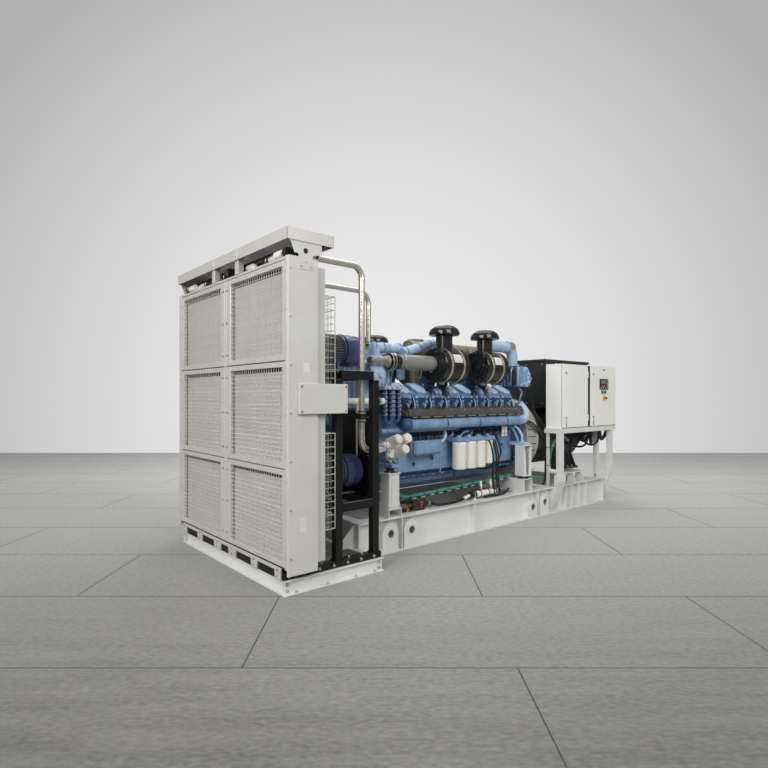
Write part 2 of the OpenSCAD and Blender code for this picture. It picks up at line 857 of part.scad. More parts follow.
module engine_feet() {
    c = crankcase_half;
    out = foot_y + 75;
    front_top = -225;
    rear_top = -70;
    color("gainsboro") engine_frame() both_sides() {
        front_post(front_beam_x, front_beam_h - crank_rise, front_top);
        box(front_beam_x - 38, front_beam_x + 80, c, out, front_top + 50, front_top + 90);
        rear_post(rear_beam_x, rear_beam_h - crank_rise, rear_top);
        box(rear_beam_x - 80, rear_beam_x + 80, housing_r + 5, out, rear_top, rear_top + 40);
        box(rear_beam_x - 80, block_length, c, housing_r + 6, rear_top, rear_top + 40);
    }
}

// Rail that carries the drain hose, coolant heater and oil pump on the near beam
module skid_auxiliaries() {
    low = skid_height + front_beam_h;
    high = skid_height + rear_beam_h;
    x0 = engine_x + front_beam_x + beam_half;
    x1 = engine_x + rear_beam_x - beam_half;
    color("gainsboro") {
        along_y(-513, -473, [[x0 - 17, low], [x0, low], [x1, high], [x1 + 30, high],
            [x1 + 30, high + 6], [x1, high + 6], [x0, low + 6], [x0 - 17, low + 6]]);
        bar_x(-641, -91, -610, skid_height + 62, 45);
        for (x = [-600, -160])
            box(x, x + 30, -660, -570, skid_height, skid_height + 60);
        bar_x(-1661, -1411, -640, skid_height + 70, 55);
        box(-1640, -1430, -700, -580, skid_height, skid_height + 50);
    }
}

// ---- alternator ----

module alternator_frame() {
    translate([alternator_x, 0, crank_z]) children();
}

// Stator frame on its feet, the sloping cable chamber behind it and the gland plate under that
module alternator() {
    r = alternator_d / 2;
    color("dimgray") {
        alternator_frame() {
            bar_x(0, alternator_length, 0, 0, r);
            both_sides() {
                box(580, alternator_length, r - 70, r, foot_plate_z + 30, -150);
                box(580, alternator_length, r - 70, 560, foot_plate_z, foot_plate_z + 31);
            }
            along_y(-450, 450, [[alternator_length, -286], [alternator_length + 45, -286],
                [tail_end, 50], [tail_end, box_z], [alternator_length, box_z]]);
        }
        box(loop_b_x - 32, loop_b_x + 32, gland_y - 20, gland_y + 32, gland_z, crank_z + 60);
    }
}

// Seat of each alternator foot: two gussets across the beam under a top plate
module alternator_feet() {
    top = foot_plate_z - 15;
    color("gainsboro") alternator_frame() both_sides() {
        box(640, 1040, beam_y - 200, foot_y + 10, top, foot_plate_z);
        for (x = [725, 955])
            along_x(x, x + 12, [[beam_y - 80, -crank_rise], [skid_width / 2 - 8, -crank_rise],
                [foot_y + 10, top + 1], [beam_y - 80, top + 1]]);
    }
}

// Terminal box with a thin overhanging lid
module terminal_box() {
    color("dimgray") alternator_frame() difference() {
        union() {
            box(box_front, tail_end, -450, 450, box_z, box_z + terminal_box_h);
            translate([0, 0, box_z + terminal_box_h])
                box(box_front - 20, tail_end + 20, -470, 470, -1, 12);
        }
        bar_x(0, alternator_length, 0, 0, alternator_d / 2);
    }
}

// ---- cabinets ----

// Outer posts bent in to the web's foot, inner posts on the top flange
module cabinet_posts() {
    out = cabinet_front_y;
    edge = -skid_width / 2;
    foot = [[out, flare_z], [out, 450], [edge + 45, 60], [-web_out, 60],
            [-web_out, skid_height - beam_flange_t], [edge, skid_height - beam_flange_t],
            [edge, skid_height], [out + 70, skid_height], [out + 70, flare_z]];
    color("gainsboro") translate([skid_rear, 0, 0]) {
        box(frame_left, frame_left + 84, out, out + 70, flare_z - 1, rail_z);
        along_x(frame_left - 50, frame_left + 134, foot);
        box(-12, 58, out, out + 70, flare_z - 1, rail_z);
        along_x(-40, 30, foot);
        box(frame_left + 20, frame_left + 56, out + 205, out + 240, skid_height, rail_z);
        box(-77, 0, out + 195, out + 255, skid_height, rail_z);
    }
}

module cabinet_rails() {
    y0 = cabinet_front_y;
    y1 = cabinet_back_y;
    color("gainsboro") translate([skid_rear, 0, 0]) {
        box(frame_left, control_right, y0, y0 + 70, rail_z, cabinet_z);
        box(frame_left, control_right, y1 - 70, y1, rail_z, cabinet_z);
        for (x = [frame_left, power_right, control_right - 70])
            box(x, x + 70, y0 + 69, y1 - 69, rail_z, cabinet_z);
    }
}

// Steel cabinet, open to the front, with its hinge brackets and pins
module cabinet(right, width) {
    color("whitesmoke") translate([skid_rear + right, 0, cabinet_z]) {
        difference() {
            box(-width, 0, cabinet_front_y + door_t + seal_gap, cabinet_back_y, 0, cabinet_h);
            box(-width + shell, -shell, cabinet_front_y, cabinet_back_y - shell, shell, cabinet_h - shell);
        }
        for (z = hinge_heights()) {
            for (k = [0, 1])
                translate([0, 0, z + k * (2 * knuckle_h + 2 * knuckle_gap)]) {
                    box(-1, hinge_out + knuckle_r, cabinet_front_y + door_t + seal_gap,
                        cabinet_front_y + 60, 0, knuckle_h);
                    box(hinge_out - 3, hinge_out + 3, hinge_y, cabinet_front_y + 60, 0, knuckle_h);
                    translate([hinge_out, hinge_y, 0]) cylinder(r = knuckle_r, h = knuckle_h);
                }
            translate([hinge_out, hinge_y, z]) cylinder(r = pin_r, h = 3 * knuckle_h + 2 * knuckle_gap);
        }
    }
}

function hinge_heights() = [90, cabinet_h - 90 - 3 * knuckle_h];

// Door with its hinge knuckles and two round lock barrels
module cabinet_door(right, width) {
    color("whitesmoke") translate([skid_rear + right, 0, cabinet_z]) difference() {
        union() {
            box(-width, 0, cabinet_front_y, cabinet_front_y + door_t, 0, cabinet_h);
            for (z = hinge_heights())
                translate([0, 0, z + knuckle_h + knuckle_gap]) {
                    box(-1, hinge_out, hinge_y - 6, hinge_y, 0, knuckle_h);
                    translate([hinge_out, hinge_y, 0]) cylinder(r = knuckle_r, h = knuckle_h);
                }
            for (z = [147, cabinet_h - 127])
                bar_y(cabinet_front_y - 8, cabinet_front_y + 1, -width + 90, z, 14);
        }
        for (z = hinge_heights())
            translate([hinge_out, hinge_y, z]) cylinder(r = pin_r + pin_gap, h = 3 * knuckle_h);
    }
}

// Display, button strip, emergency stop and sounder on the control cabinet's door
module control_panel() {
    color("dimgray") translate([skid_rear + control_right, cabinet_front_y, cabinet_z]) {
        box(-501, -255, -14, 0, 556, 717);
        box(-455, -316, -8, 0, 487, 548);
        box(-391, -331, -10, 0, 396, 456);
        bar_y(-48, -9, -361, 426, 20);
        bar_y(-8, 0, -371, cabinet_h - 54, 15);
    }
}

// ---- drawing ----

skid_beams();
skid_cross_members();
drip_tray();
lifting_lugs();
engine_beams();
radiator_skid_sides();
radiator_skid_ends();
radiator_base_strip();
radiator_core();
radiator_sides();
grille_panels();
radiator_roof();
header_pipes();
fan_shroud();
fan_guards();
fan_wheels();
motor_stand_sides();
motor_stand_rails();
stand_panels();
fan_motors();
motor_cowls();
junction_box();
coolant_pipe_side();
coolant_pipe_centre();
coolant_pipe_low();
engine_block();
oil_sump();
gear_case();
front_tubes();
cylinder_heads();
valve_covers();
rail_trunks();
coolant_manifolds();
air_filters();
intake_ducts();
turbochargers();
charge_air_cooler();
charge_air_pipes();
exhaust_pipe();
rear_elbow();
spin_on_filters();
front_filters();
engine_controller();
flywheel_housing();
coupling_guard();
engine_feet();
skid_auxiliaries();
alternator();
alternator_feet();
terminal_box();
cabinet_posts();
cabinet_rails();
cabinet(power_right, power_cabinet_w);  // power_cabinet
cabinet_door(power_right, power_cabinet_w);  // power_cabinet_door
cabinet(control_right, control_cabinet_w);  // control_cabinet
cabinet_door(control_right, control_cabinet_w);  // control_cabinet_door
control_panel();
color("teal") limp_tube(hose_route, hose_r, 3, [1, 1, 1]);  // drain_hose
color("black") limp_tube(loop_a_route, cable_r, 2, [1, 0, 0]);  // cable_loop_a
color("black") limp_tube(loop_b_route, cable_r, 2, [1, 0, 0]);  // cable_loop_b
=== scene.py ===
"""Diesel generator set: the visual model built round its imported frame.

Every length in the sub-assemblies is in millimetres, measured in a local frame
(radiator, engine, alternator, skid or cabinets) whose origin is read from the
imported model. X runs from the radiator to the alternator, -Y is the side of the
cabinets and Z is up.
"""

from __future__ import annotations

import logging
import math
from collections.abc import Iterable, Sequence
from dataclasses import dataclass, field
from enum import Enum
from itertools import product

import bpy
from mathutils import Matrix, Vector

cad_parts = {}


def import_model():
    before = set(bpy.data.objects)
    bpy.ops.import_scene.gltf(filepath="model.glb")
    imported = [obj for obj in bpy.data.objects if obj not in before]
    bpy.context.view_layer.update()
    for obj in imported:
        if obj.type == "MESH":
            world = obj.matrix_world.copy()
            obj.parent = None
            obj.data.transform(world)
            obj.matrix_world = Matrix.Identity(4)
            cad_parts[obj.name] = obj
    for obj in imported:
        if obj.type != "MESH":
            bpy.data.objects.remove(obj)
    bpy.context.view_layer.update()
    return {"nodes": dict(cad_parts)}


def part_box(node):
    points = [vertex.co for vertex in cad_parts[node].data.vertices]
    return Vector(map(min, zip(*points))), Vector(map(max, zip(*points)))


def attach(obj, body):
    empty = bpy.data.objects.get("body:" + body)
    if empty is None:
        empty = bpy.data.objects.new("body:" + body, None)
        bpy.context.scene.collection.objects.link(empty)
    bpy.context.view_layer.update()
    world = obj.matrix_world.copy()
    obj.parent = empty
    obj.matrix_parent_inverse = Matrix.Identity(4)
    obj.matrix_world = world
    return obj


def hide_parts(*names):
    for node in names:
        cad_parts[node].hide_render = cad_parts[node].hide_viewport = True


LOG = logging.getLogger("generator_set")
MM = 0.001
Point = Sequence[float]
REAR, FRONT = (1, 0, 0), (-1, 0, 0)
FAR, NEAR = (0, 1, 0), (0, -1, 0)
UP, DOWN = (0, 0, 1), (0, 0, -1)


def linear(hex_colour: str) -> tuple[float, float, float, float]:
    """Turn an sRGB hex colour into the linear colour that a shader takes.

    Args:
        hex_colour: Six hex digits, with or without a leading #.

    Returns:
        Linear red, green, blue and an alpha of 1.
    """
    digits = hex_colour.lstrip("#")
    parts = [int(digits[i : i + 2], 16) / 255 for i in (0, 2, 4)]
    curve = [c / 12.92 if c <= 0.04045 else ((c + 0.055) / 1.055) ** 2.4 for c in parts]
    return (curve[0], curve[1], curve[2], 1.0)


def per_metre(size_mm: float) -> float:
    """Texture scale, in repeats a metre, of a detail of this size in mm."""
    return 1 / (size_mm * MM)


# ---------------------------------------------------------------- finishes


class Recipe:
    """Node tree of one finish, or of the light round the set, while it is being drawn up."""

    def __init__(self, owner: bpy.types.Material | bpy.types.World) -> None:
        """Start an empty tree.

        Args:
            owner: New material or world that takes it.
        """
        owner.use_nodes = True
        self.owner = owner
        self.tree = owner.node_tree
        self.tree.nodes.clear()
        self.place = self.add("ShaderNodeTexCoord").outputs["Object"]

    def add(self, kind: str, inputs: dict | None = None, **settings: object) -> bpy.types.Node:
        """Add one node with its settings and links.

        Args:
            kind: Blender's type name of the node.
            inputs: Socket name or index to a value, or to an output to link from.
            **settings: Attributes to set on the node.

        Returns:
            The new node.
        """
        node = self.tree.nodes.new(kind)
        for key, value in settings.items():
            setattr(node, key, value)
        for key, value in (inputs or {}).items():
            if isinstance(value, bpy.types.NodeSocket):
                self.tree.links.new(value, node.inputs[key])
            else:
                node.inputs[key].default_value = value
        return node

    def noise(self, size_mm: float, detail: float = 3.0, stretch: Point = (1, 1, 1)) -> bpy.types.NodeSocket:
        """Cloudy value from 0 to 1.

        Args:
            size_mm: Size of one cloud.
            detail: How many finer clouds lie on it.
            stretch: Scale along each axis; below 1 draws the clouds out.

        Returns:
            The output that carries the value.
        """
        place = self.add("ShaderNodeMapping", {"Vector": self.place, "Scale": tuple(stretch)})
        return self.add(
            "ShaderNodeTexNoise",
            {"Vector": place.outputs[0], "Scale": per_metre(size_mm), "Detail": detail, "Roughness": 0.55},
        ).outputs["Fac"]

    def span(self, value: bpy.types.NodeSocket, low: float, high: float) -> bpy.types.NodeSocket:
        """Stretch the middle of a cloudy value to run from low to high."""
        ends = {"Value": value, "From Min": 0.3, "From Max": 0.7, "To Min": low, "To Max": high}
        return self.add("ShaderNodeMapRange", ends).outputs["Result"]

    def blend(self, share: bpy.types.NodeSocket, first: object, second: object) -> bpy.types.NodeSocket:
        """Mix two colours by a share that runs from 0 to 1."""
        return self.add("ShaderNodeMix", {0: share, 6: first, 7: second}, data_type="RGBA").outputs[2]

    def bump(self, height: bpy.types.NodeSocket, depth_mm: float,
             below: object = None) -> bpy.types.NodeSocket:
        """Turn a height from 0 to 1 into a surface normal.

        Args:
            height: The height.
            depth_mm: What a height of 1 stands for.
            below: Normal of a pattern that this one lies on.

        Returns:
            The output that carries the normal.
        """
        inputs = {"Height": height, "Distance": depth_mm * MM, "Strength": 1.0}
        if below is not None:
            inputs["Normal"] = below
        return self.add("ShaderNodeBump", inputs).outputs["Normal"]

    def finish(self, **sockets: object) -> bpy.types.Material:
        """Close the tree with the surface shader.

        Args:
            **sockets: Shader socket names, with _ for a space, and their values or links.

        Returns:
            The finished material.
        """
        named = {key.replace("_", " "): value for key, value in sockets.items()}
        shader = self.add("ShaderNodeBsdfPrincipled", named)
        self.add("ShaderNodeOutputMaterial", {"Surface": shader.outputs["BSDF"]})
        return self.owner


@dataclass(frozen=True)
class SprayedPaint:
    """Two-pack paint sprayed on steel: an even colour with slight clouding, faint orange
    peel in the shine and dust that greys the upper side."""

    colour: str
    shade: str
    roughness: float = 0.38
    peel_mm: float = 6.0
    peel_depth_mm: float = 0.05
    cloud_mm: float = 420.0
    dust: str = "B9B7B0"
    dust_share: float = 0.12
    metallic: float = 0.0
    shine: float = 0.5

    def mix(self, name: str) -> bpy.types.Material:
        """Draw up the material.

        Args:
            name: Name of the material.

        Returns:
            The material.
        """
        r = Recipe(bpy.data.materials.new(name))
        clouds = r.span(r.noise(self.cloud_mm, 4), 0.0, 1.0)
        coat = r.blend(clouds, linear(self.colour), linear(self.shade))
        up = r.add("ShaderNodeSeparateXYZ",
                   {0: r.add("ShaderNodeNewGeometry").outputs["Normal"]}).outputs["Z"]
        specks = r.span(r.noise(38, 6), 0.0, 1.0)
        lying = r.add("ShaderNodeMath", {0: up, 1: specks}, operation="MULTIPLY", use_clamp=True).outputs[0]
        share = r.add("ShaderNodeMath", {0: lying, 1: self.dust_share}, operation="MULTIPLY", use_clamp=True)
        colour = r.blend(share.outputs[0], coat, linear(self.dust))
        shine = r.span(r.noise(150, 3), self.roughness - 0.05, self.roughness + 0.07)
        return r.finish(
            Base_Color=colour, Roughness=shine,
            Metallic=self.metallic, Specular_IOR_Level=self.shine,
            Normal=r.bump(r.noise(self.peel_mm, 2), self.peel_depth_mm),
        )


@dataclass(frozen=True)
class CastPaint:
    """Engine enamel brushed over sand castings: the grain of the sand stays in the surface, and darker
    clouds and paler spots lie over the colour at random."""

    colour: str
    shade: str
    bright: str
    roughness: float = 0.36
    grain_mm: float = 9.0
    grain_depth_mm: float = 0.35

    def mix(self, name: str) -> bpy.types.Material:
        """Draw up the material.

        Args:
            name: Name of the material.

        Returns:
            The material.
        """
        r = Recipe(bpy.data.materials.new(name))
        grain = r.noise(self.grain_mm, 5)
        clouds = r.span(r.noise(160, 5), 0.0, 1.0)
        coat = r.blend(clouds, linear(self.colour), linear(self.shade))
        raised = r.span(r.noise(45, 6), 0.0, 0.35)
        coat = r.blend(raised, coat, linear(self.bright))
        return r.finish(
            Base_Color=coat, Roughness=r.span(r.noise(60, 4), self.roughness - 0.06, self.roughness + 0.12),
            Specular_IOR_Level=0.35, Normal=r.bump(grain, self.grain_depth_mm),
            Coat_Weight=0.1, Coat_Roughness=0.2,
        )


@dataclass(frozen=True)
class ZincSheet:
    """Hot-dip galvanised sheet: zinc crystals a few mm to a few cm wide, each turned its own
    way, so the sheet glints in patches under a dull grey sheen."""

    colour: str = "D4D0CA"
    shade: str = "BFBBB5"
    spangle_mm: float = 16.0
    roughness: float = 0.42

    def mix(self, name: str) -> bpy.types.Material:
        """Draw up the material.

        Args:
            name: Name of the material.

        Returns:
            The material.
        """
        r = Recipe(bpy.data.materials.new(name))
        cells = r.add(
            "ShaderNodeTexVoronoi",
            {"Vector": r.place, "Scale": per_metre(self.spangle_mm), "Randomness": 1.0}
        ).outputs["Color"]
        tone = r.add("ShaderNodeSeparateColor", {0: cells}).outputs[0]
        flat = r.add("ShaderNodeMath", {0: tone, 1: 0.5}, operation="MULTIPLY").outputs[0]
        colour = r.blend(flat, linear(self.colour), linear(self.shade))
        colour = r.blend(r.span(r.noise(300, 5), 0.0, 0.5), colour, linear(self.shade))
        shine = r.add(
            "ShaderNodeMapRange",
            {"Value": tone, "To Min": self.roughness - 0.08, "To Max": self.roughness + 0.12},
        ).outputs["Result"]
        return r.finish(
            Base_Color=colour, Roughness=shine, Metallic=0.2, Normal=r.bump(r.noise(4, 2), 0.03)
        )


@dataclass(frozen=True)
class DrawnMetal:
    """Bare metal with the fine lines that drawing, turning or brushing leaves along one axis."""

    colour: str
    shade: str
    roughness: float = 0.28
    lines: Point = (1, 1, 0.04)
    line_mm: float = 2.5
    metallic: float = 1.0

    def mix(self, name: str) -> bpy.types.Material:
        """Draw up the material.

        Args:
            name: Name of the material.

        Returns:
            The material.
        """
        r = Recipe(bpy.data.materials.new(name))
        lines = r.noise(self.line_mm, 2, self.lines)
        stain = r.span(r.noise(90, 5), 0.0, 1.0)
        colour = r.blend(stain, linear(self.colour), linear(self.shade))
        return r.finish(
            Base_Color=colour, Metallic=self.metallic,
            Roughness=r.span(lines, self.roughness - 0.07, self.roughness + 0.1),
            Normal=r.bump(lines, 0.02),
        )


@dataclass(frozen=True)
class BareCasting:
    """Bare cast aluminium or iron as it leaves the sand: dull, grainy and lightly stained."""

    colour: str
    shade: str
    roughness: float = 0.5
    metallic: float = 0.75

    def mix(self, name: str) -> bpy.types.Material:
        """Draw up the material.

        Args:
            name: Name of the material.

        Returns:
            The material.
        """
        r = Recipe(bpy.data.materials.new(name))
        colour = r.blend(r.span(r.noise(70, 6), 0.0, 1.0), linear(self.colour), linear(self.shade))
        return r.finish(
            Base_Color=colour, Metallic=self.metallic,
            Roughness=r.span(r.noise(25, 4), self.roughness - 0.1, self.roughness + 0.12),
            Normal=r.bump(r.noise(5, 4), 0.25),
        )


@dataclass(frozen=True)
class Moulded:
    """Moulded rubber or plastic: a soft even sheen with fine grain, and ribs round it where
    the part is a ribbed hose. The ribs are drawn at their real pitch along one axis."""

    colour: str
    shade: str
    roughness: float = 0.5
    rib_mm: float = 0.0
    rib_depth_mm: float = 1.5
    coat: float = 0.0

    def mix(self, name: str) -> bpy.types.Material:
        """Draw up the material.

        Args:
            name: Name of the material.

        Returns:
            The material.
        """
        r = Recipe(bpy.data.materials.new(name))
        colour = r.blend(r.span(r.noise(110, 4), 0.0, 1.0), linear(self.colour), linear(self.shade))
        normal = r.bump(r.noise(2.5, 3), 0.05)
        if self.rib_mm:
            ribs = r.add(
                "ShaderNodeTexWave",
                {"Vector": r.place, "Scale": per_metre(self.rib_mm) * math.pi / 10, "Distortion": 0.0},
                wave_type="BANDS", bands_direction="X",
            ).outputs["Fac"]
            normal = r.bump(ribs, self.rib_depth_mm, normal)
            # The grooves between the ribs take the darker colour: painted shade in the creases.
            colour = r.blend(ribs, linear(self.shade), colour)
        return r.finish(
            Base_Color=colour, Roughness=r.span(r.noise(40, 3), self.roughness - 0.05, self.roughness + 0.08),
            Normal=normal, Coat_Weight=self.coat,
            Coat_Roughness=0.12,
        )


@dataclass(frozen=True)
class FinPack:
    """Pack of pressed aluminium fins on edge: thin bright lines, with the shade of the air gaps painted
    in as dark bands. Real fins sit 2 to 3 mm apart, too fine to show, so they are drawn 12 mm apart."""

    colour: str = "ECEAE5"
    gap: str = "C6C3BE"
    pitch_mm: float = 12.0

    def mix(self, name: str) -> bpy.types.Material:
        """Draw up the material.

        Args:
            name: Name of the material.

        Returns:
            The material.
        """
        r = Recipe(bpy.data.materials.new(name))
        fins = r.add(
            "ShaderNodeTexWave",
            {"Vector": r.place, "Scale": per_metre(self.pitch_mm) * math.pi / 10, "Distortion": 0.6,
             "Detail": 1.0},
            wave_type="BANDS",
            bands_direction="Z",
        ).outputs["Fac"]
        # The gap colour between the fin bands is painted shade.
        colour = r.blend(fins, linear(self.gap), linear(self.colour))
        colour = r.blend(r.span(r.noise(260, 5), 0.0, 0.3), colour, linear(self.gap))
        return r.finish(
            Base_Color=colour, Metallic=0.3, Roughness=0.5, Normal=r.bump(fins, 2.0)
        )


@dataclass(frozen=True)
class WornConcrete:
    """Trowelled concrete, worn and grainy, in large slabs with thin dark joints, with painted light
    on it: dark underfoot and off to the sides, pale towards the wall."""

    near: str = "757471"
    near_grain: str = "383736"
    side: str = "2C2B2A"
    far: str = "EFEEEB"
    far_grain: str = "B9B8B5"
    cloud: str = "9C9B98"
    joint: str = "3E3D3B"
    joint_m: float = 0.005
    slab_m: tuple[float, float] = (3.3, 1.17)
    laid_at: Point = (0.85, 0.25, 0)

    def mix(self, name: str) -> bpy.types.Material:
        """Draw up the material.

        Args:
            name: Name of the material.

        Returns:
            The material.
        """
        r = Recipe(bpy.data.materials.new(name))
        place = r.add("ShaderNodeSeparateXYZ", {"Vector": r.place}).outputs
        # Painted light: the floor is drawn darker near the camera and off to the sides, and paler towards the wall.
        depth = {"Value": place["Y"], "From Min": 2.5, "From Max": 11.0}
        aside = {"Value": r.add("ShaderNodeMath", {0: place["X"]}, operation="ABSOLUTE").outputs[0],
                 "From Min": 0.3, "From Max": 3.0, "To Max": 0.42}
        depth, aside = (r.add("ShaderNodeMapRange", span).outputs["Result"] for span in (depth, aside))
        grain = r.span(r.noise(24, 6, (0.5, 1, 1)), 0.0, 0.6)
        near = r.blend(aside, r.blend(grain, linear(self.near), linear(self.near_grain)), linear(self.side))
        colour = r.blend(depth, near, r.blend(grain, linear(self.far), linear(self.far_grain)))
        colour = r.blend(r.span(r.noise(140, 6, (0.15, 1, 1)), 0.0, 0.22), colour, linear(self.cloud))
        laid = r.add("ShaderNodeMapping", {"Vector": r.place, "Location": self.laid_at}).outputs[0]
        black, white = (0, 0, 0, 1), (1, 1, 1, 1)
        joints = r.add("ShaderNodeTexBrick", {
            "Vector": laid, "Color1": black, "Color2": black, "Mortar": white, "Scale": 1.0,
            "Mortar Size": self.joint_m, "Brick Width": self.slab_m[0], "Row Height": self.slab_m[1],
        }).outputs["Color"]
        colour = r.blend(joints, colour, linear(self.joint))
        return r.finish(Base_Color=colour, Roughness=0.7, Normal=r.bump(r.noise(30, 6), 2.0))


class Finish(Enum):
    """Every finish on the set."""

    # Satin pale grey enamel on rolled sections: even, slightly dusty on top.
    SKID_PAINT = SprayedPaint("E3E2DF", "DAD9D5", 0.4)
    # Bare steel tray floor under the engine, drawn dark grey with darker clouds, and dust on its upper side.
    TRAY_STEEL = SprayedPaint("77787A", "4C4D4F", 0.35, cloud_mm=160.0, dust="8F8E8A", dust_share=0.3)
    # Pale warm grey powder coat on the radiator's casing: flat, low sheen.
    CASING_COAT = SprayedPaint("CBCAC4", "C1BFB9", 0.45)
    # Zinc-coated sheet of the grille frames and roof: faint grey spangle.
    ZINC = ZincSheet()
    # Cream plastic coat on welded wire: pale lines against the dark behind.
    WIRE_COAT = SprayedPaint("CECBC4", "C0BDB5", 0.4, dust_share=0.0)
    # Satin black enamel on square tube: edges catch a soft grey line.
    STAND_BLACK = SprayedPaint("161615", "111110", 0.36, dust="3C3B38", dust_share=0.1, shine=0.35)
    # Violet-blue enamel on pressed motor cowls: glossier than the frames.
    COWL_BLUE = SprayedPaint("484B79", "3D406A", 0.2, dust_share=0.03)
    # Ribbed motor castings drawn grey: the shade on the violet enamel between the ribs and the reflection on them
    # are painted in, and dust greys the upper side: soft grey rib tops.
    MOTOR_BLACK = SprayedPaint("68686E", "55555A", 0.3, dust="7A797F", dust_share=0.25)
    # Glass-filled nylon of the fan blades, drawn dark grey as painted shade inside the cages: dull, with soft
    # edges.
    FAN_PLASTIC = Moulded("3A3A3C", "2E2E30", 0.5)
    # Brushed stainless tube: bright with lines along the tube.
    STAINLESS = DrawnMetal("E8E2D6", "D6CFC2", 0.26, metallic=0.8)
    # Mid-blue engine enamel over iron castings: grainy, with lighter raised spots.
    ENGINE_BLUE = CastPaint("7D9CBD", "5C7CA0", "AAC2DA", 0.3)
    # Paler, lit copy of the engine enamel: painted light on covers, lids, the cooler and air pipes high on the
    # engine; smoother, with a wider shine.
    ENGINE_LIGHT = CastPaint("B2C9E1", "90ADCF", "D6E5F3", 0.26, 14.0, 0.2)
    # Deep blue, shaded copy of the engine enamel: painted shade on parts that stay in shade.
    ENGINE_DEEP = CastPaint("2F4F78", "203A5E", "5577A6")
    # Moulded black trunking, greyed by dust: a matt surface with a soft top edge.
    TRUNK_BLACK = Moulded("565550", "42413C", 0.45)
    # Gloss black enamel on spun steel canisters.
    FILTER_BLACK = SprayedPaint("1F1F1D", "191917", 0.11, peel_depth_mm=0.03, dust="55534C", dust_share=0.15)
    # Grey gloss enamel on the intake duct, lifted to mid-grey partly as painted reflection of the bright room: one
    # long highlight runs along it.
    DUCT_GREY = SprayedPaint("868581", "73726F", 0.15, peel_depth_mm=0.03, dust_share=0.05)
    # Bare drawn stainless of band straps: bright bands round the pipes.
    STRAP_STEEL = DrawnMetal("D8D2C6", "C6BFB1", 0.3, metallic=0.9)
    # Bare sand-cast aluminium of the turbocharger and unions: dull and grainy.
    CAST_SILVER = BareCasting("BDBBB5", "97958E", 0.4)
    # Embossed heat-shield sheet, tanned by heat.
    HEAT_SHIELD = BareCasting("B5A58A", "94866E", 0.48)
    # Gloss white enamel on spin-on canisters.
    FILTER_WHITE = SprayedPaint("EFECE3", "E6E2D8", 0.25, peel_depth_mm=0.02, dust_share=0.0)
    # Satin grey paint with a metallic glint on the louvred guard.
    GUARD_GREY = SprayedPaint("BDBCB6", "ABAAA4", 0.4, metallic=0.2)
    # Satin black enamel on the alternator, a little dusty on top.
    ALTERNATOR_BLACK = SprayedPaint("363636", "2C2C2C", 0.4, dust="6E6C66", dust_share=0.2, shine=0.4)
    # Textured pale grey powder coat on the cabinets.
    CABINET_COAT = SprayedPaint("FAF8F2", "F4F2EB", 0.44, peel_mm=3.0, peel_depth_mm=0.08)
    # Black glass-fronted display and dark plastics.
    PANEL_BLACK = Moulded("1B1C1E", "141516", 0.3, coat=0.4)
    # Ribbed teal-green drain hose.
    HOSE_TEAL = Moulded("5DB198", "3C8371", 0.4, rib_mm=24.0)
    # Plain black cable sheath and hose: a thin line of light along each run.
    CONDUIT = Moulded("1E1E1E", "141414", 0.5)
    # Corrugated black conduit over the thick cables: a ring of light on each rib.
    RIBBED_CONDUIT = Moulded("2A2A2A", "161616", 0.38, rib_mm=13.0, rib_depth_mm=3.0)
    # Black rubber of sleeves and mounts: a dull, even surface.
    RUBBER = Moulded("242321", "1A1917", 0.6)
    # Pressed aluminium fins of the radiator: thin bright lines between gaps in painted shade.
    FINS = FinPack()
    # Black closed-cell foam with nearly no shine, and the same near-black set in gaps, slots, holes and hollows as
    # painted shade.
    SEAL_FOAM = Moulded("161615", "0F0F0E", 0.8)
    # Backlit display glass, switched off: grey-green with a clear gloss.
    SCREEN = Moulded("7E8A84", "6F7B75", 0.18, coat=0.6)
    # Blank printed-film plate: plain off-white with a soft sheen.
    LABEL_BLANK = Moulded("DAD8D1", "D0CEC7", 0.4)
    # Bright zinc plating on bolts and washers.
    PLATED = DrawnMetal("D6D4CC", "BEBBB2", 0.3)
    # Turned brass fittings: warm glints.
    BRASS = DrawnMetal("C9A85C", "A98943", 0.3)
    # Red moulded nylon of knobs and the pump's ring.
    RED = Moulded("B4232A", "97181F", 0.35)
    # Yellow moulded plastic of the stop button's backing and the cable markers.
    YELLOW = Moulded("E8C21F", "D4AE14", 0.4)

    def material(self) -> bpy.types.Material:
        """The material of this finish, drawn up at its first use."""
        name = self.name.lower() + "_surface"
        return bpy.data.materials.get(name) or self.value.mix(name)


# ---------------------------------------------------------------- shapes


def circle(centre: Vector, u: Vector, v: Vector, radius: float, sides: int) -> list[Vector]:
    """Points at equal distances round a circle, given its middle and two directions across it."""
    turns = (2 * math.pi * j / sides for j in range(sides))
    return [centre + radius * (math.cos(a) * u + math.sin(a) * v) for a in turns]


def skin(rows: int, sides: int, closed: bool = False) -> list[tuple[int, ...]]:
    """Faces of a round skin over rows of points.

    Args:
        rows: How many rows there are.
        sides: Points in a row.
        closed: Whether the last row joins the first; otherwise both ends are capped.

    Returns:
        Point numbers of each face.
    """
    faces = []
    for i, j in product(range(rows if closed else rows - 1), range(sides)):
        here, there, on = i * sides, (i + 1) % rows * sides, (j + 1) % sides
        faces.append((here + j, here + on, there + on, there + j))
    if not closed:
        faces += [tuple(range(sides))[::-1], tuple(range((rows - 1) * sides, rows * sides))]
    return faces


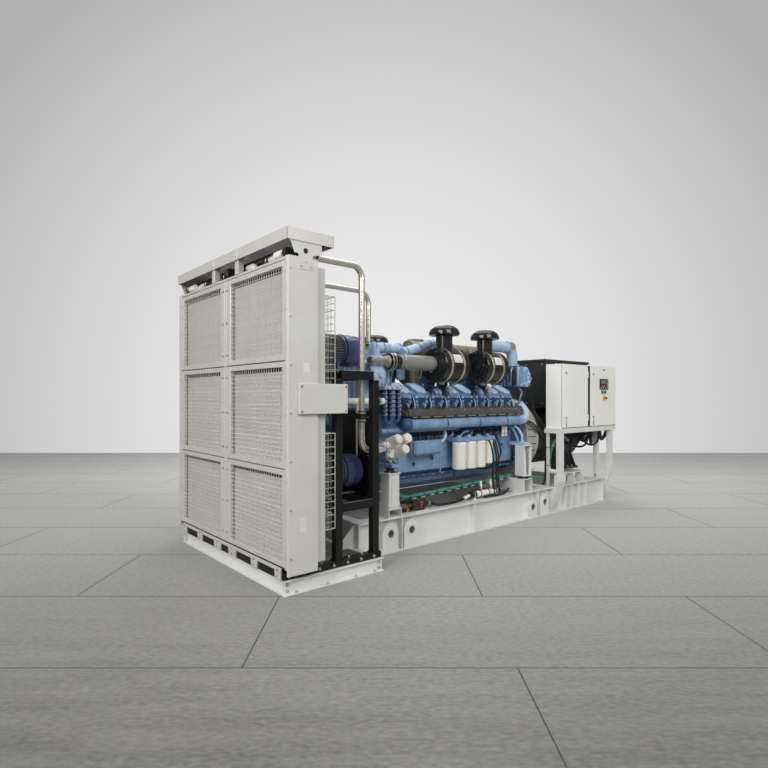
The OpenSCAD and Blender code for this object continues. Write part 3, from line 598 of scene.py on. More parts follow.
@dataclass
class Shape:
    """A mesh being built in a local frame, in millimetres.

    Attributes:
        origin: Place of the local frame, in metres.
        points: Corners so far.
        faces: Corner numbers of each face, with the finish it takes.
    """

    origin: Vector = field(default_factory=Vector)
    points: list[Vector] = field(default_factory=list)
    faces: list[tuple[tuple[int, ...], Finish]] = field(default_factory=list)

    def add(self, points: Iterable[Point], faces: Iterable[Sequence[int]], finish: Finish) -> None:
        """Add corners and the faces between them.

        Args:
            points: Corners in mm.
            faces: Corner numbers of each face, counted from the first new corner.
            finish: Finish of these faces.
        """
        base = len(self.points)
        self.points.extend(Vector(p) for p in points)
        self.faces.extend((tuple(base + i for i in f), finish) for f in faces)

    def block(self, low: Point, high: Point, finish: Finish, edge: float = 2.0,
              turn: Matrix | None = None) -> None:
        """Add a box with chamfered edges.

        Args:
            low: Lowest corner.
            high: Highest corner.
            finish: Its finish.
            edge: Width of the chamfer.
            turn: Matrix applied to its corners.
        """
        lo, hi = Vector(low), Vector(high)
        edge = min(edge, min(hi - lo) * 0.3)
        points, index = [], {}
        for key in product((0, 1), repeat=3):
            corner = Vector([hi[i] if k else lo[i] for i, k in enumerate(key)])
            inner = corner + Vector([-edge if k else edge for k in key])
            for axis in range(3):
                index[(*key, axis)] = len(points)
                points.append(Vector([corner[i] if i == axis else inner[i] for i in range(3)]))

        def number(axis: int, sides: Sequence[int], flush: int) -> int:
            """Number of the point at these sides of an axis and the two after it, flush along one."""
            key = [0, 0, 0]
            for step, side in enumerate(sides):
                key[(axis + step) % 3] = side
            return index[(*key, flush)]

        faces = []
        for axis, side in product(range(3), (0, 1)):
            ring = [number(axis, (side, b, c), axis) for b, c in ((0, 0), (1, 0), (1, 1), (0, 1))]
            faces.append(ring if side else ring[::-1])
        for axis, b, c in product(range(3), (0, 1), (0, 1)):
            ring = [number(axis, (side, b, c), (axis + step) % 3)
                    for side, step in ((0, 1), (1, 1), (1, 2), (0, 2))]
            faces.append(ring if b == c else ring[::-1])
        for key in product((0, 1), repeat=3):
            ring = [index[(*key, axis)] for axis in range(3)]
            faces.append(ring if sum(key) % 2 else ring[::-1])
        self.add([turn @ p for p in points] if turn else points, faces, finish)

    def prism(self, outline: Sequence[Point], start: float, end: float, axis: str, finish: Finish) -> None:
        """Add a flat outline pushed along an axis.

        Args:
            outline: Corners in the other two axes, in x, y, z order.
            start: Where it starts along the axis.
            end: Where it ends.
            axis: x, y or z.
            finish: Its finish.
        """
        k = "xyz".index(axis)
        points = [(*pair[:k], at, *pair[k:]) for at in (start, end) for pair in outline]
        n = len(outline)
        sides = [(i, (i + 1) % n, n + (i + 1) % n, n + i) for i in range(n)]
        self.add(points, [list(range(n))[::-1], list(range(n, 2 * n)), *sides], finish)

    def lathe(
        self, profile: Sequence[Point], base: Point, along: Point, finish: Finish, sides: int = 32,
        closed: bool = False
    ) -> None:
        """Add a profile turned round an axis.

        Args:
            profile: Radius and height of each point, in order.
            base: Where height 0 lies.
            along: Direction of the axis.
            finish: Its finish.
            sides: How many flats go round.
            closed: Whether the profile is a ring that joins its own start.
        """
        w = Vector(along).normalized()
        u = w.orthogonal().normalized()
        v = w.cross(u)
        points = [p for r, h in profile for p in circle(Vector(base) + w * h, u, v, r, sides)]
        self.add(points, skin(len(profile), sides, closed), finish)

    def rod(self, a: Point, b: Point, radius: float, finish: Finish, sides: int = 16,
            edge: float = 1.0) -> None:
        """Add a round bar with chamfered ends between two points.

        Args:
            a: Middle of one end.
            b: Middle of the other end.
            radius: Its radius.
            finish: Its finish.
            sides: How many flats go round.
            edge: Width of the chamfers.
        """
        start, end = Vector(a), Vector(b)
        length = (end - start).length
        edge = min(edge, radius * 0.4, length * 0.3)
        profile = [(radius - edge, 0), (radius, edge), (radius, length - edge), (radius - edge, length)]
        self.lathe(profile, start, end - start, finish, sides)

    def ring(self, centre: Point, along: Point, inner: float, outer: float, width: float, finish: Finish,
             sides: int = 32) -> None:
        """Add a flat ring, such as a flange or band.

        Args:
            centre: Middle of the face that it starts at.
            along: Direction of its axis.
            inner: Radius of the hole.
            outer: Radius over all.
            width: Width along the axis.
            finish: Its finish.
            sides: How many flats go round.
        """
        edge = min(1.5, width * 0.3, (outer - inner) * 0.3)
        profile = [(inner, 0), (outer - edge, 0), (outer, edge), (outer, width - edge), (outer - edge, width),
                   (inner, width)]
        self.lathe(profile, centre, along, finish, sides, closed=True)

    def tube(self, route: Sequence[Point], radius: float, finish: Finish, sides: int = 14) -> None:
        """Add a round tube, with a carried frame so that it never twists.

        Args:
            route: Points of its middle line.
            radius: Its radius.
            finish: Its finish.
            sides: How many flats go round.
        """
        line = [Vector(p) for p in route]
        tangents = [
            (line[min(i + 1, len(line) - 1)] - line[max(i - 1, 0)]).normalized() for i in range(len(line))
        ]
        u = tangents[0].orthogonal().normalized()
        points = []
        for p, w in zip(line, tangents):
            u = (u - w * u.dot(w)).normalized()
            v = w.cross(u)
            points += circle(p, u, v, radius, sides)
        self.add(points, skin(len(line), sides), finish)

    def hose(self, route: Sequence[Point], steps: int, radius: float, finish: Finish, sides: int) -> None:
        """Add a round tube that flows through every point of a route, with so many steps a span."""
        self.tube(flowing(route, steps), radius, finish, sides)

    def bolt(self, base: Point, along: Point, across: float, finish: Finish = Finish.PLATED) -> None:
        """Add a hexagon head on its washer.

        Args:
            base: Where the washer sits.
            along: Direction in which the head stands out.
            across: Width of the head.
            finish: Its finish.
        """
        r = across * 0.577
        self.lathe([(r * 1.35, 0), (r * 1.35, across * 0.14)], base, along, finish, 12)
        top = Vector(base) + Vector(along).normalized() * across * 0.14
        self.lathe([(r, 0), (r, across * 0.5), (r * 0.86, across * 0.62)], top, along, finish, 6)

    def bolt_circle(self, centre: Point, along: Point, radius: float, count: int, across: float,
                    finish: Finish = Finish.PLATED, ahead: float = 0.0) -> None:
        """Add bolts at equal distances round a circle.

        Args:
            centre: Middle of the circle.
            along: Direction in which the heads stand out, along x, y or z.
            radius: Radius of the circle.
            count: How many bolts go round.
            across: Width of a head.
            finish: Their finish.
            ahead: How far round the first one is moved, in steps.
        """
        first, second = (i for i in range(3) if not along[i])
        for k in range(count):
            a = 2 * math.pi * (k + ahead) / count
            at = list(centre)
            at[first] += radius * math.cos(a)
            at[second] += radius * math.sin(a)
            self.bolt(at, along, across, finish)

    def join(self, other: Shape) -> None:
        """Take over every corner and face of a shape.

        Args:
            other: Shape in the same frame.
        """
        base = len(self.points)
        self.points += other.points
        self.faces += [(tuple(base + i for i in f), finish) for f, finish in other.faces]

    def mirrored(self) -> None:
        """Copy everything so far to the other side of the middle plane."""
        base = len(self.points)
        self.points += [Vector((p.x, -p.y, p.z)) for p in self.points]
        self.faces += [(tuple(base + i for i in reversed(f)), finish) for f, finish in self.faces]

    def make(self, name: str, body: str = "root", stands_for: str = "",
             angle: float = 32) -> bpy.types.Object:
        """Turn the shape into a piece that rides on a body.

        Args:
            name: Name of the piece.
            body: Body that it rides on.
            stands_for: CAD node that it replaces, if any.
            angle: Edges sharper than this, in degrees, stay crisp.

        Returns:
            The new object.
        """
        mesh = bpy.data.meshes.new(name)
        place = [self.origin + p * MM for p in self.points]
        mesh.from_pydata(place, [], [f for f, _ in self.faces])
        kinds = list(dict.fromkeys(finish for _, finish in self.faces))
        for kind in kinds:
            mesh.materials.append(kind.material())
        mesh.polygons.foreach_set("material_index", [kinds.index(finish) for _, finish in self.faces])
        mesh.shade_smooth()
        mesh.set_sharp_from_angle(angle=math.radians(angle))
        piece = bpy.data.objects.new(name, mesh)
        bpy.context.scene.collection.objects.link(piece)
        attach(piece, body)
        if stands_for:
            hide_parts(stands_for)
        mesh.calc_loop_triangles()
        LOG.info("%s: %d triangles", name, len(mesh.loop_triangles))
        return piece


def bent(route: Sequence[Point], bend: float, steps: int = 8) -> list[Vector]:
    """Round the corners of a route.

    Args:
        route: Corner points.
        bend: Radius of each bend.
        steps: Points in each bend.

    Returns:
        The route with each corner turned into an arc.
    """
    line = [Vector(p) for p in route]
    out = [line[0]]
    for before, at, after in zip(line, line[1:], line[2:]):
        a, b = (at - before).normalized(), (after - at).normalized()
        turn = a.angle(b)
        if turn < 0.02:
            out.append(at)
            continue
        reach = min(bend * math.tan(turn / 2), (at - before).length * 0.49, (after - at).length * 0.49)
        radius = reach / math.tan(turn / 2)
        inward = (b - a).normalized()
        centre = at + inward * radius / math.cos(turn / 2)
        first = at - a * reach - centre
        axis = a.cross(b).normalized()
        out += [centre + Matrix.Rotation(turn * i / steps, 3, axis) @ first for i in range(steps + 1)]
    out.append(line[-1])
    return out


def flowing(route: Sequence[Point], steps: int) -> list[Vector]:
    """Smooth curve through every point of a route.

    Args:
        route: Points to pass through.
        steps: Points in each span.

    Returns:
        Points along the curve.
    """
    p = [Vector(q) for q in route]
    out = []
    for i in range(len(p) - 1):
        a, b, c, d = p[max(i - 1, 0)], p[i], p[i + 1], p[min(i + 2, len(p) - 1)]
        for k in range(steps):
            t = k / steps
            curve = (c - a) * t + (2 * a - 5 * b + 4 * c - d) * t * t + (3 * b - a - 3 * c + d) * t**3
            out.append(b + curve / 2)
    return out + [p[-1]]


def frame_at(node: str, x: float = 0.0, height: float = 0.0) -> Vector:
    """Origin of a local frame at the low X end of a CAD node, in metres.

    Args:
        node: CAD node to measure.
        x: How far the origin lies past that end, in mm.
        height: Height of the origin above the floor, in mm.

    Returns:
        The origin.
    """
    return Vector((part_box(node)[0].x + x * MM, 0, height * MM))


def radiator_frame() -> Vector:
    """Origin at the front end of the radiator's skid, on the floor, in metres."""
    return frame_at("radiator_skid_sides")


def engine_frame() -> Vector:
    """Origin on the crankshaft's axis at the crankcase's front face, in metres."""
    low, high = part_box("flywheel_housing")
    return frame_at("engine_block", height=(low.z + high.z) / 2 / MM)


def corners(node: str, origin: Vector | None = None) -> tuple[Vector, Vector]:
    """Lowest and highest corner of a CAD node, in mm.

    Args:
        node: CAD node to measure.
        origin: Place in metres that they are counted from, where it isn't the world's origin.

    Returns:
        The two corners.
    """
    low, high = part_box(node)
    start = Vector() if origin is None else origin
    return (low - start) / MM, (high - start) / MM


# ---------------------------------------------------------------- cords


HOSE_ROUTE: tuple[Point, ...] = (
    (-1.780, -0.330, 0.640), (-1.780, -0.375, 0.640), (-1.765, -0.435, 0.610), (-1.710, -0.480, 0.540),
    (-1.620, -0.493, 0.497), (-1.500, -0.493, 0.498), (-1.200, -0.493, 0.505), (-0.900, -0.493, 0.517),
    (-0.550, -0.493, 0.531), (-0.200, -0.493, 0.544), (0.300, -0.493, 0.564), (0.430, -0.493, 0.563),
    (0.560, -0.495, 0.552), (0.700, -0.500, 0.525), (0.940, -0.512, 0.475), (1.090, -0.522, 0.480),
    (1.170, -0.532, 0.570), (1.195, -0.540, 0.740), (1.245, -0.555, 0.910), (1.350, -0.563, 1.010),
    (1.490, -0.560, 1.030), (1.640, -0.535, 1.000), (1.760, -0.485, 0.965), (1.800, -0.436, 0.960),
)
LOOP_A_ROUTE: tuple[Point, ...] = tuple(
    (2.000, y, z)
    for y, z in ((-0.690, 1.179), (-0.690, 1.090), (-0.686, 1.000), (-0.660, 0.915), (-0.600, 0.864),
                 (-0.530, 0.853), (-0.490, 0.853), (-0.450, 0.853))
)
LOOP_B_ROUTE: tuple[Point, ...] = tuple(
    (2.310, y, z)
    for y, z in ((-0.690, 1.179), (-0.690, 1.090), (-0.690, 0.995), (-0.673, 0.930), (-0.625, 0.882),
                 (-0.560, 0.865), (-0.495, 0.882), (-0.447, 0.930), (-0.430, 0.985), (-0.430, 1.000))
)


@dataclass
class LooseCords:
    """Teal drain hose along the engine, and the two conduits that loop under the cabinets.

    Attributes:
        hose_r: Radius of the hose.
        conduit_r: Radius of the conduits.
        clamps: Points of the hose's route that carry a band clamp.
    """

    hose_r: float = 20.0
    conduit_r: float = 15.0
    clamps: tuple[int, ...] = (2, 15, 17, 18, 22)

    def build(self) -> None:
        self.cord("hose_line", "drain_hose", HOSE_ROUTE, 3, self.hose_r, Finish.HOSE_TEAL)
        self.cord("loop_a_line", "cable_loop_a", LOOP_A_ROUTE, 2, self.conduit_r, Finish.CONDUIT)
        self.cord("loop_b_line", "cable_loop_b", LOOP_B_ROUTE, 2, self.conduit_r, Finish.CONDUIT)

    def cord(self, name: str, node: str, route: Sequence[Point], steps: int, radius: float, finish: Finish) -> None:
        """Lay one tube along its route.

        Args:
            name: Name of the piece.
            node: CAD tube that it replaces.
            route: Points that it passes through, in metres.
            steps: Points in each span.
            radius: Its radius.
            finish: Its finish.
        """
        line = flowing(route, steps)
        s = Shape()
        s.tube([p / MM for p in line], radius, finish, 20)
        piece = s.make(name, stands_for=node)
        bands = self.bands(line, steps) if node == "drain_hose" else ()

    def bands(self, line: Sequence[Vector], steps: int) -> tuple[bpy.types.Object, ...]:
        """Band clamps round the hose.

        Args:
            line: Points along the hose, in metres.
            steps: Points in each span of its route.

        Returns:
            The piece that holds them.
        """
        s = Shape()
        for i in self.clamps:
            at = i * steps
            along = line[at + 1] - line[at - 1]
            s.ring(line[at] / MM, along, self.hose_r - 1, self.hose_r + 3, 12, Finish.STRAP_STEEL, 20)
        return (s.make("hose_bands"),)


# ---------------------------------------------------------------- radiator


HEADER_Z = 2845.0  # height of the headers' axis, under the roof


@dataclass
class RadiatorFront:
    """Six framed wire grilles over the fin pack, and the pocketed strip that they stand on.

    Attributes:
        rim: Height of a frame's rails.
        stile: Width of a frame's upright sides.
        cells: How many cells of mesh go across a grille.
        wire_rise: Distance between the level wires.
        slot: Height of the dark slots along a grille's top, where the painted shade behind the fins shows.
        seam: Height of the dark seam between the strip and the frames, drawn in painted shade.
        pocket_height: Height of the pockets' mouths.
        pockets: Place and width of each pocket.
    """

    rim: float = 45.0
    stile: float = 88.0
    cells: int = 23
    wire_rise: float = 40.0
    slot: float = 40.0
    seam: float = 8.0
    pocket_height: float = 75.0
    pockets: tuple[tuple[float, float], ...] = ((-815, 314), (-395, 314), (0, 186), (395, 314), (815, 314))

    def build(self) -> None:
        """Build the grilles, fins and strip."""
        origin = radiator_frame()
        low, high = corners("grille_panels", origin)
        front, half = low.x, high.y
        rows = (low.z + self.seam, 1037, 1918, high.z + 4)
        frames, mesh, fins = Shape(origin), Shape(origin), Shape(origin)
        frames.block((front, -21, rows[0]), (42, 21, rows[3] - 6), Finish.ZINC)
        for z0, z1 in zip(rows, rows[1:]):
            for y0, y1 in ((-half, -22), (22, half)):
                self.frame(frames, front, (y0, z0), (y1, z1 - 9))
                opening = (y0 + self.stile, z0 + self.rim, y1 - self.stile, z1 - 9 - self.rim)
                self.wires(mesh, front + 12, opening)
                self.fins(fins, opening)
        # Near-black block behind the fins: painted shade seen through the gaps between the grilles.
        fins.block((60, -half, rows[0]), (275, half, rows[3] + 10), Finish.SEAL_FOAM)
        frames.block((0, -half, rows[3] - 3), (60, half, rows[3] + 19), Finish.ZINC, 2)
        frames.make("grille_frames")
        mesh.make("grille_mesh", stands_for="grille_panels")
        fins.make("fin_pack", stands_for="radiator_core")
        self.strip()

    def frame(self, s: Shape, front: float, low: Point, high: Point) -> None:
        """One grille frame: folded sheet with two upright stiles, two rails and its screws.

        Args:
            s: Shape that takes it.
            front: Place of its front face.
            low: Its lowest y and z.
            high: Its highest y and z.
        """
        (y0, z0), (y1, z1) = low, high
        back = 40.0
        for a, b in ((y0 + 1, y0 + self.stile), (y1 - self.stile, y1 - 1)):
            s.block((front, a, z0), (back, b, z1), Finish.ZINC, 3)
        for a, b in ((z0, z0 + self.rim), (z1 - self.rim, z1)):
            s.block((front + 0.6, y0 + self.stile - 1, a), (back, y1 - self.stile + 1, b), Finish.ZINC, 3)
        for y in (y0 + 22, y1 - 22):
            for part in (0.12, 0.5, 0.88):
                s.bolt((front, y, z0 + (z1 - z0) * part), FRONT, 15)

    def wires(self, s: Shape, x: float, opening: Sequence[float]) -> None:
        """Welded mesh: level wires in front, upright wires behind them.

        Args:
            s: Shape that takes it.
            x: Place of the level wires.
            opening: Lowest y and z and highest y and z of the frame's opening.
        """
        y0, z0, y1, z1 = opening
        rows = round((z1 - z0) / self.wire_rise)
        for i in range(1, rows):
            z = z1 - self.slot if i == rows - 1 else z0 + (z1 - z0 - self.slot) * i / (rows - 1)
            s.rod((x, y0 - 4, z), (x, y1 + 4, z), 3.2, Finish.WIRE_COAT, 6)
        for i in range(self.cells + 1):
            y = y0 + (y1 - y0) * i / self.cells
            s.rod((x + 6, y, z0 - 4), (x + 6, y, z1 + 4), 3.0, Finish.WIRE_COAT, 6)

    def fins(self, s: Shape, opening: Sequence[float]) -> None:
        """Fin pack behind one grille, with a strip of painted shade for the dark gap at its far side.

        Args:
            s: Shape that takes it.
            opening: Lowest y and z and highest y and z of the frame's opening.
        """
        y0, z0, y1, z1 = opening
        # The fins stop short of the grille's top, so the painted shade behind them shows as the dark slots.
        s.block((39, y0 - 14, z0 - 10), (70, y1 - 12, z1 - self.slot), Finish.FINS, 1)
        # Near-black strip at the opening's far side: painted shade of the gap.
        s.block((28, y1 - 1.5, z0), (40, y1 + 2, z1), Finish.SEAL_FOAM, 0.5)

    def strip(self) -> None:
        """Galvanised strip with lifting pockets: flared legs between openings filled with painted shade."""
        s = Shape(radiator_frame())
        low, high = corners("radiator_base_strip")
        half, inner, mouth = high.y, 1003.0, low.z + self.pocket_height
        s.block((-11, -half, mouth), (3, half, high.z - 1), Finish.ZINC, 2)
        s.block((2, -inner, mouth), (58, inner, high.z - 1), Finish.ZINC, 2)
        # Near-black seam under the frames: painted shade.
        s.block((-4, -half, high.z - 2), (36, half, high.z + self.seam), Finish.SEAL_FOAM, 1)
        edges = [-half, *(y + side * w / 2 for y, w in self.pockets for side in (-1, 1)), half]
        for a, b in zip(edges[::2], edges[1::2]):
            between = [(a - 9, mouth + 2), (a, low.z + 16), (a, low.z), (b, low.z), (b, low.z + 16),
                       (b + 9, mouth + 2)]
            plain = [(a, mouth + 2), (a, low.z), (b, low.z), (b, mouth + 2)]
            s.prism(between if -half < a and b < half else plain, -12, 2, "x", Finish.ZINC)
            for z in (low.z + 34, high.z - 26):
                s.bolt((-12, (a + b) / 2, z), FRONT, 14)
        # Near-black fill in the pockets' mouths: painted shade.
        s.block((4, -inner, low.z), (58, inner, mouth), Finish.SEAL_FOAM)
        s.make("pocket_strip", stands_for="radiator_base_strip")


@dataclass
class RadiatorCasing:
    """Sides of the casing, lifting brackets, roof tray and the header pipes under it.

    Attributes:
        straps: Places across where the fascia's joints are strapped to a post.
    """

    straps: tuple[float, ...] = (-260, 260)

    def build(self) -> None:
        """Build the casing's parts."""
        self.sides()
        self.roof()
        self.headers()
        self.junction_box()

    def sides(self) -> None:
        """Folded side panels with screws, a seam and two blank label plates."""
        s = Shape(radiator_frame())
        low, high = corners("radiator_sides", s.origin)
        x0, x1, y = low.x, high.x, high.y
        s.block((x0, y - 20, low.z), (x1, y, high.z), Finish.CASING_COAT, 3)
        s.block((x0, y - 48, low.z + 50), (x0 + 20, y - 19, high.z - 1), Finish.ZINC, 2)
        s.rod((x0 + 9, y - 9, low.z + 1), (x0 + 9, y - 9, high.z - 2), 9.5, Finish.ZINC, 20)
        for z in range(320, 2700, 390):
            s.bolt((x0 + 26, y - 0.6, z), FAR, 11)
        s.mirrored()
        for x, z, w, h in ((102, 522, 62, 116), (132, 1822, 62, 76)):
            s.block((x, -y - 1.2, z), (x + w, -y + 1, z + h), Finish.LABEL_BLANK, 0.4)
        s.make("casing_sides", stands_for="radiator_sides")

    def roof(self) -> None:
        """Sheet tray with mitred corners, strapped joints, posts and the lifting brackets."""
        s = Shape(radiator_frame())
        low, high = corners("radiator_roof", s.origin)
        x0, x1, half, top = low.x + 11, high.x, high.y, high.z
        lip, wall = 2885.0, 4.0
        s.block((x0, -half, top - wall), (x1, half, top), Finish.ZINC, 1.2)
        for a, b in (((x0, -half), (x0 + wall, half)), ((x1 - wall, -half), (x1, half))):
            s.block((*a, lip), (*b, top - 2), Finish.ZINC, 1.2)
        for y in (-half, half - wall):
            s.block((x0, y, lip), (x1, y + wall, top - 2), Finish.ZINC, 1.2)
        for y in self.straps:
            s.block((x0 - 3, y - 38, lip - 1), (x0 + 1, y + 38, top), Finish.ZINC, 0.8)
            s.block((-11, y - 34, 2757), (47, y + 34, top - 5), Finish.ZINC, 2)
            s.bolt((x0 - 3, y - 22, lip + 25), FRONT, 10)
        for side in (-1, 1):
            self.bracket(s, side, lip)
        # Near-black strip under the roof's front edge: painted shade.
        s.block((52, -half + 20, 2748), (230, half - 20, 2757), Finish.SEAL_FOAM, 1)
        for y in (-half + 62, half - 62):
            s.rod((250, y, 2700), (x1 - 30, y, top - 12), 9, Finish.STAND_BLACK, 12)
            s.block((330, y - 22, lip - 60), (336, y + 22, top - 6), Finish.ZINC, 1)
        s.make("roof_sheets", stands_for="radiator_roof")

    def bracket(self, s: Shape, side: int, lip: float) -> None:
        """Lifting bracket: flared plate with an eye, folded below on to the casing.

        Args:
            s: Shape that takes it.
            side: 1 for the far side, -1 for the near side.
            lip: Height of the roof's lower edge.
        """
        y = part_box("radiator_sides")[1].y / MM
        a, b = sorted((side * y, side * (y + 3)))
        outline = [(2, lip + 15), (309, lip + 15), (309, lip - 85), (230, lip - 100), (220, lip - 108),
                   (220, lip - 226), (86, lip - 226), (86, lip - 108), (76, lip - 100), (48, lip - 100)]
        s.prism(outline, a, b, "y", Finish.CASING_COAT)
        out = (152, side * (y + 3.2), lip - 72)
        # Near-black disc where the eye's hole is: painted shade.
        s.lathe([(22, 0), (22, 0.6)], out, (0, side, 0), Finish.SEAL_FOAM, 24)
        s.ring((out[0], side * (y + 3), out[2]), (0, side, 0), 22, 27, 0.9, Finish.CASING_COAT, 24)
        for x, z in ((110, lip - 200), (196, lip - 200), (152, lip - 160)):
            s.bolt((x, side * (y - 1), z), (0, side, 0), 13)

    def headers(self) -> None:
        """Cream header under the roof, with rubber elbows, clamps and the stubs to the pipes."""
        low, high = corners("header_pipes")
        s = Shape(radiator_frame())
        x, z = 200.0, HEADER_Z
        s.rod((x, low.y, z), (x, high.y, z), 38, Finish.CASING_COAT, 28, 4)
        for y in (400, 850):
            line = bent([(110, y - 150, z - 22), (110, y, z - 22), (110, y, 2762)], 60)
            s.tube(line, 34, Finish.FILTER_WHITE, 18)
            s.ring((110, y - 118, z - 22), FAR, 33, 38, 14, Finish.STRAP_STEEL, 24)
            s.rod((110, y - 150, z - 22), (110, y - 230, z - 22), 38, Finish.RUBBER, 20, 4)
            s.ring((110, y - 200, z - 22), FAR, 37, 41, 14, Finish.STRAP_STEEL, 24)
            s.tube(bent([(110, y - 228, z - 22), (110, y - 262, z - 22), (x, y - 262, z - 10)], 30), 34,
                   Finish.RUBBER, 18)
        s.rod((60, 1080, z - 30), (60, 1010, z - 30), 40, Finish.RUBBER, 20, 4)
        s.ring((60, 1020, z - 30), FAR, 39, 43, 14, Finish.STRAP_STEEL, 24)
        s.rod((60, 1015, z - 30), (60, 880, z - 30), 36, Finish.FILTER_WHITE, 20, 4)
        s.mirrored()
        s.lathe([(52, 0), (58, 8), (58, 30), (40, 44)], (70, 60, z - 26), NEAR, Finish.RUBBER)
        for y in (-950, -30, 950):
            s.rod((x, y, z), (250, y, z), 35, Finish.RUBBER, 20, 3)
        s.block((95, low.y, z + 6), (105, high.y, z + 30), Finish.STAND_BLACK)
        s.make("header_row", stands_for="header_pipes")

    def junction_box(self) -> None:
        """Flat terminal box on the casing's side: lid with a lip, four screws and glands below."""
        s = Shape(radiator_frame())
        low, high = corners("junction_box", s.origin)
        x0, x1 = low.x, high.x
        s.block((x0 + 4, low.y + 14, low.z + 4), (x1 - 4, -1187, high.z - 4), Finish.CASING_COAT, 2)
        s.block((x0, low.y + 4, low.z), (x1, low.y + 14, high.z), Finish.CASING_COAT, 3)
        s.block((375, low.y + 16, low.z + 10), (x1 - 2, -1087, high.z - 10), Finish.CASING_COAT, 2)
        for x in (x0 + 22, x1 - 22):
            for z in (low.z + 22, high.z - 22):
                s.lathe([(11, 0), (11, 2), (8, 4)], (x, low.y + 4, z), NEAR, Finish.PLATED, 20)
        for x in (400, 440, 480, 520):
            s.lathe([(13, 0), (13, 14), (10, 16), (9, 30)], (x, -1150, low.z + 11), DOWN,
                    Finish.RUBBER, 16)
            s.rod((x, -1150, low.z - 18), (x, -1150, low.z - 34), 6, Finish.CONDUIT)
        s.make("terminal_lid", stands_for="junction_box")


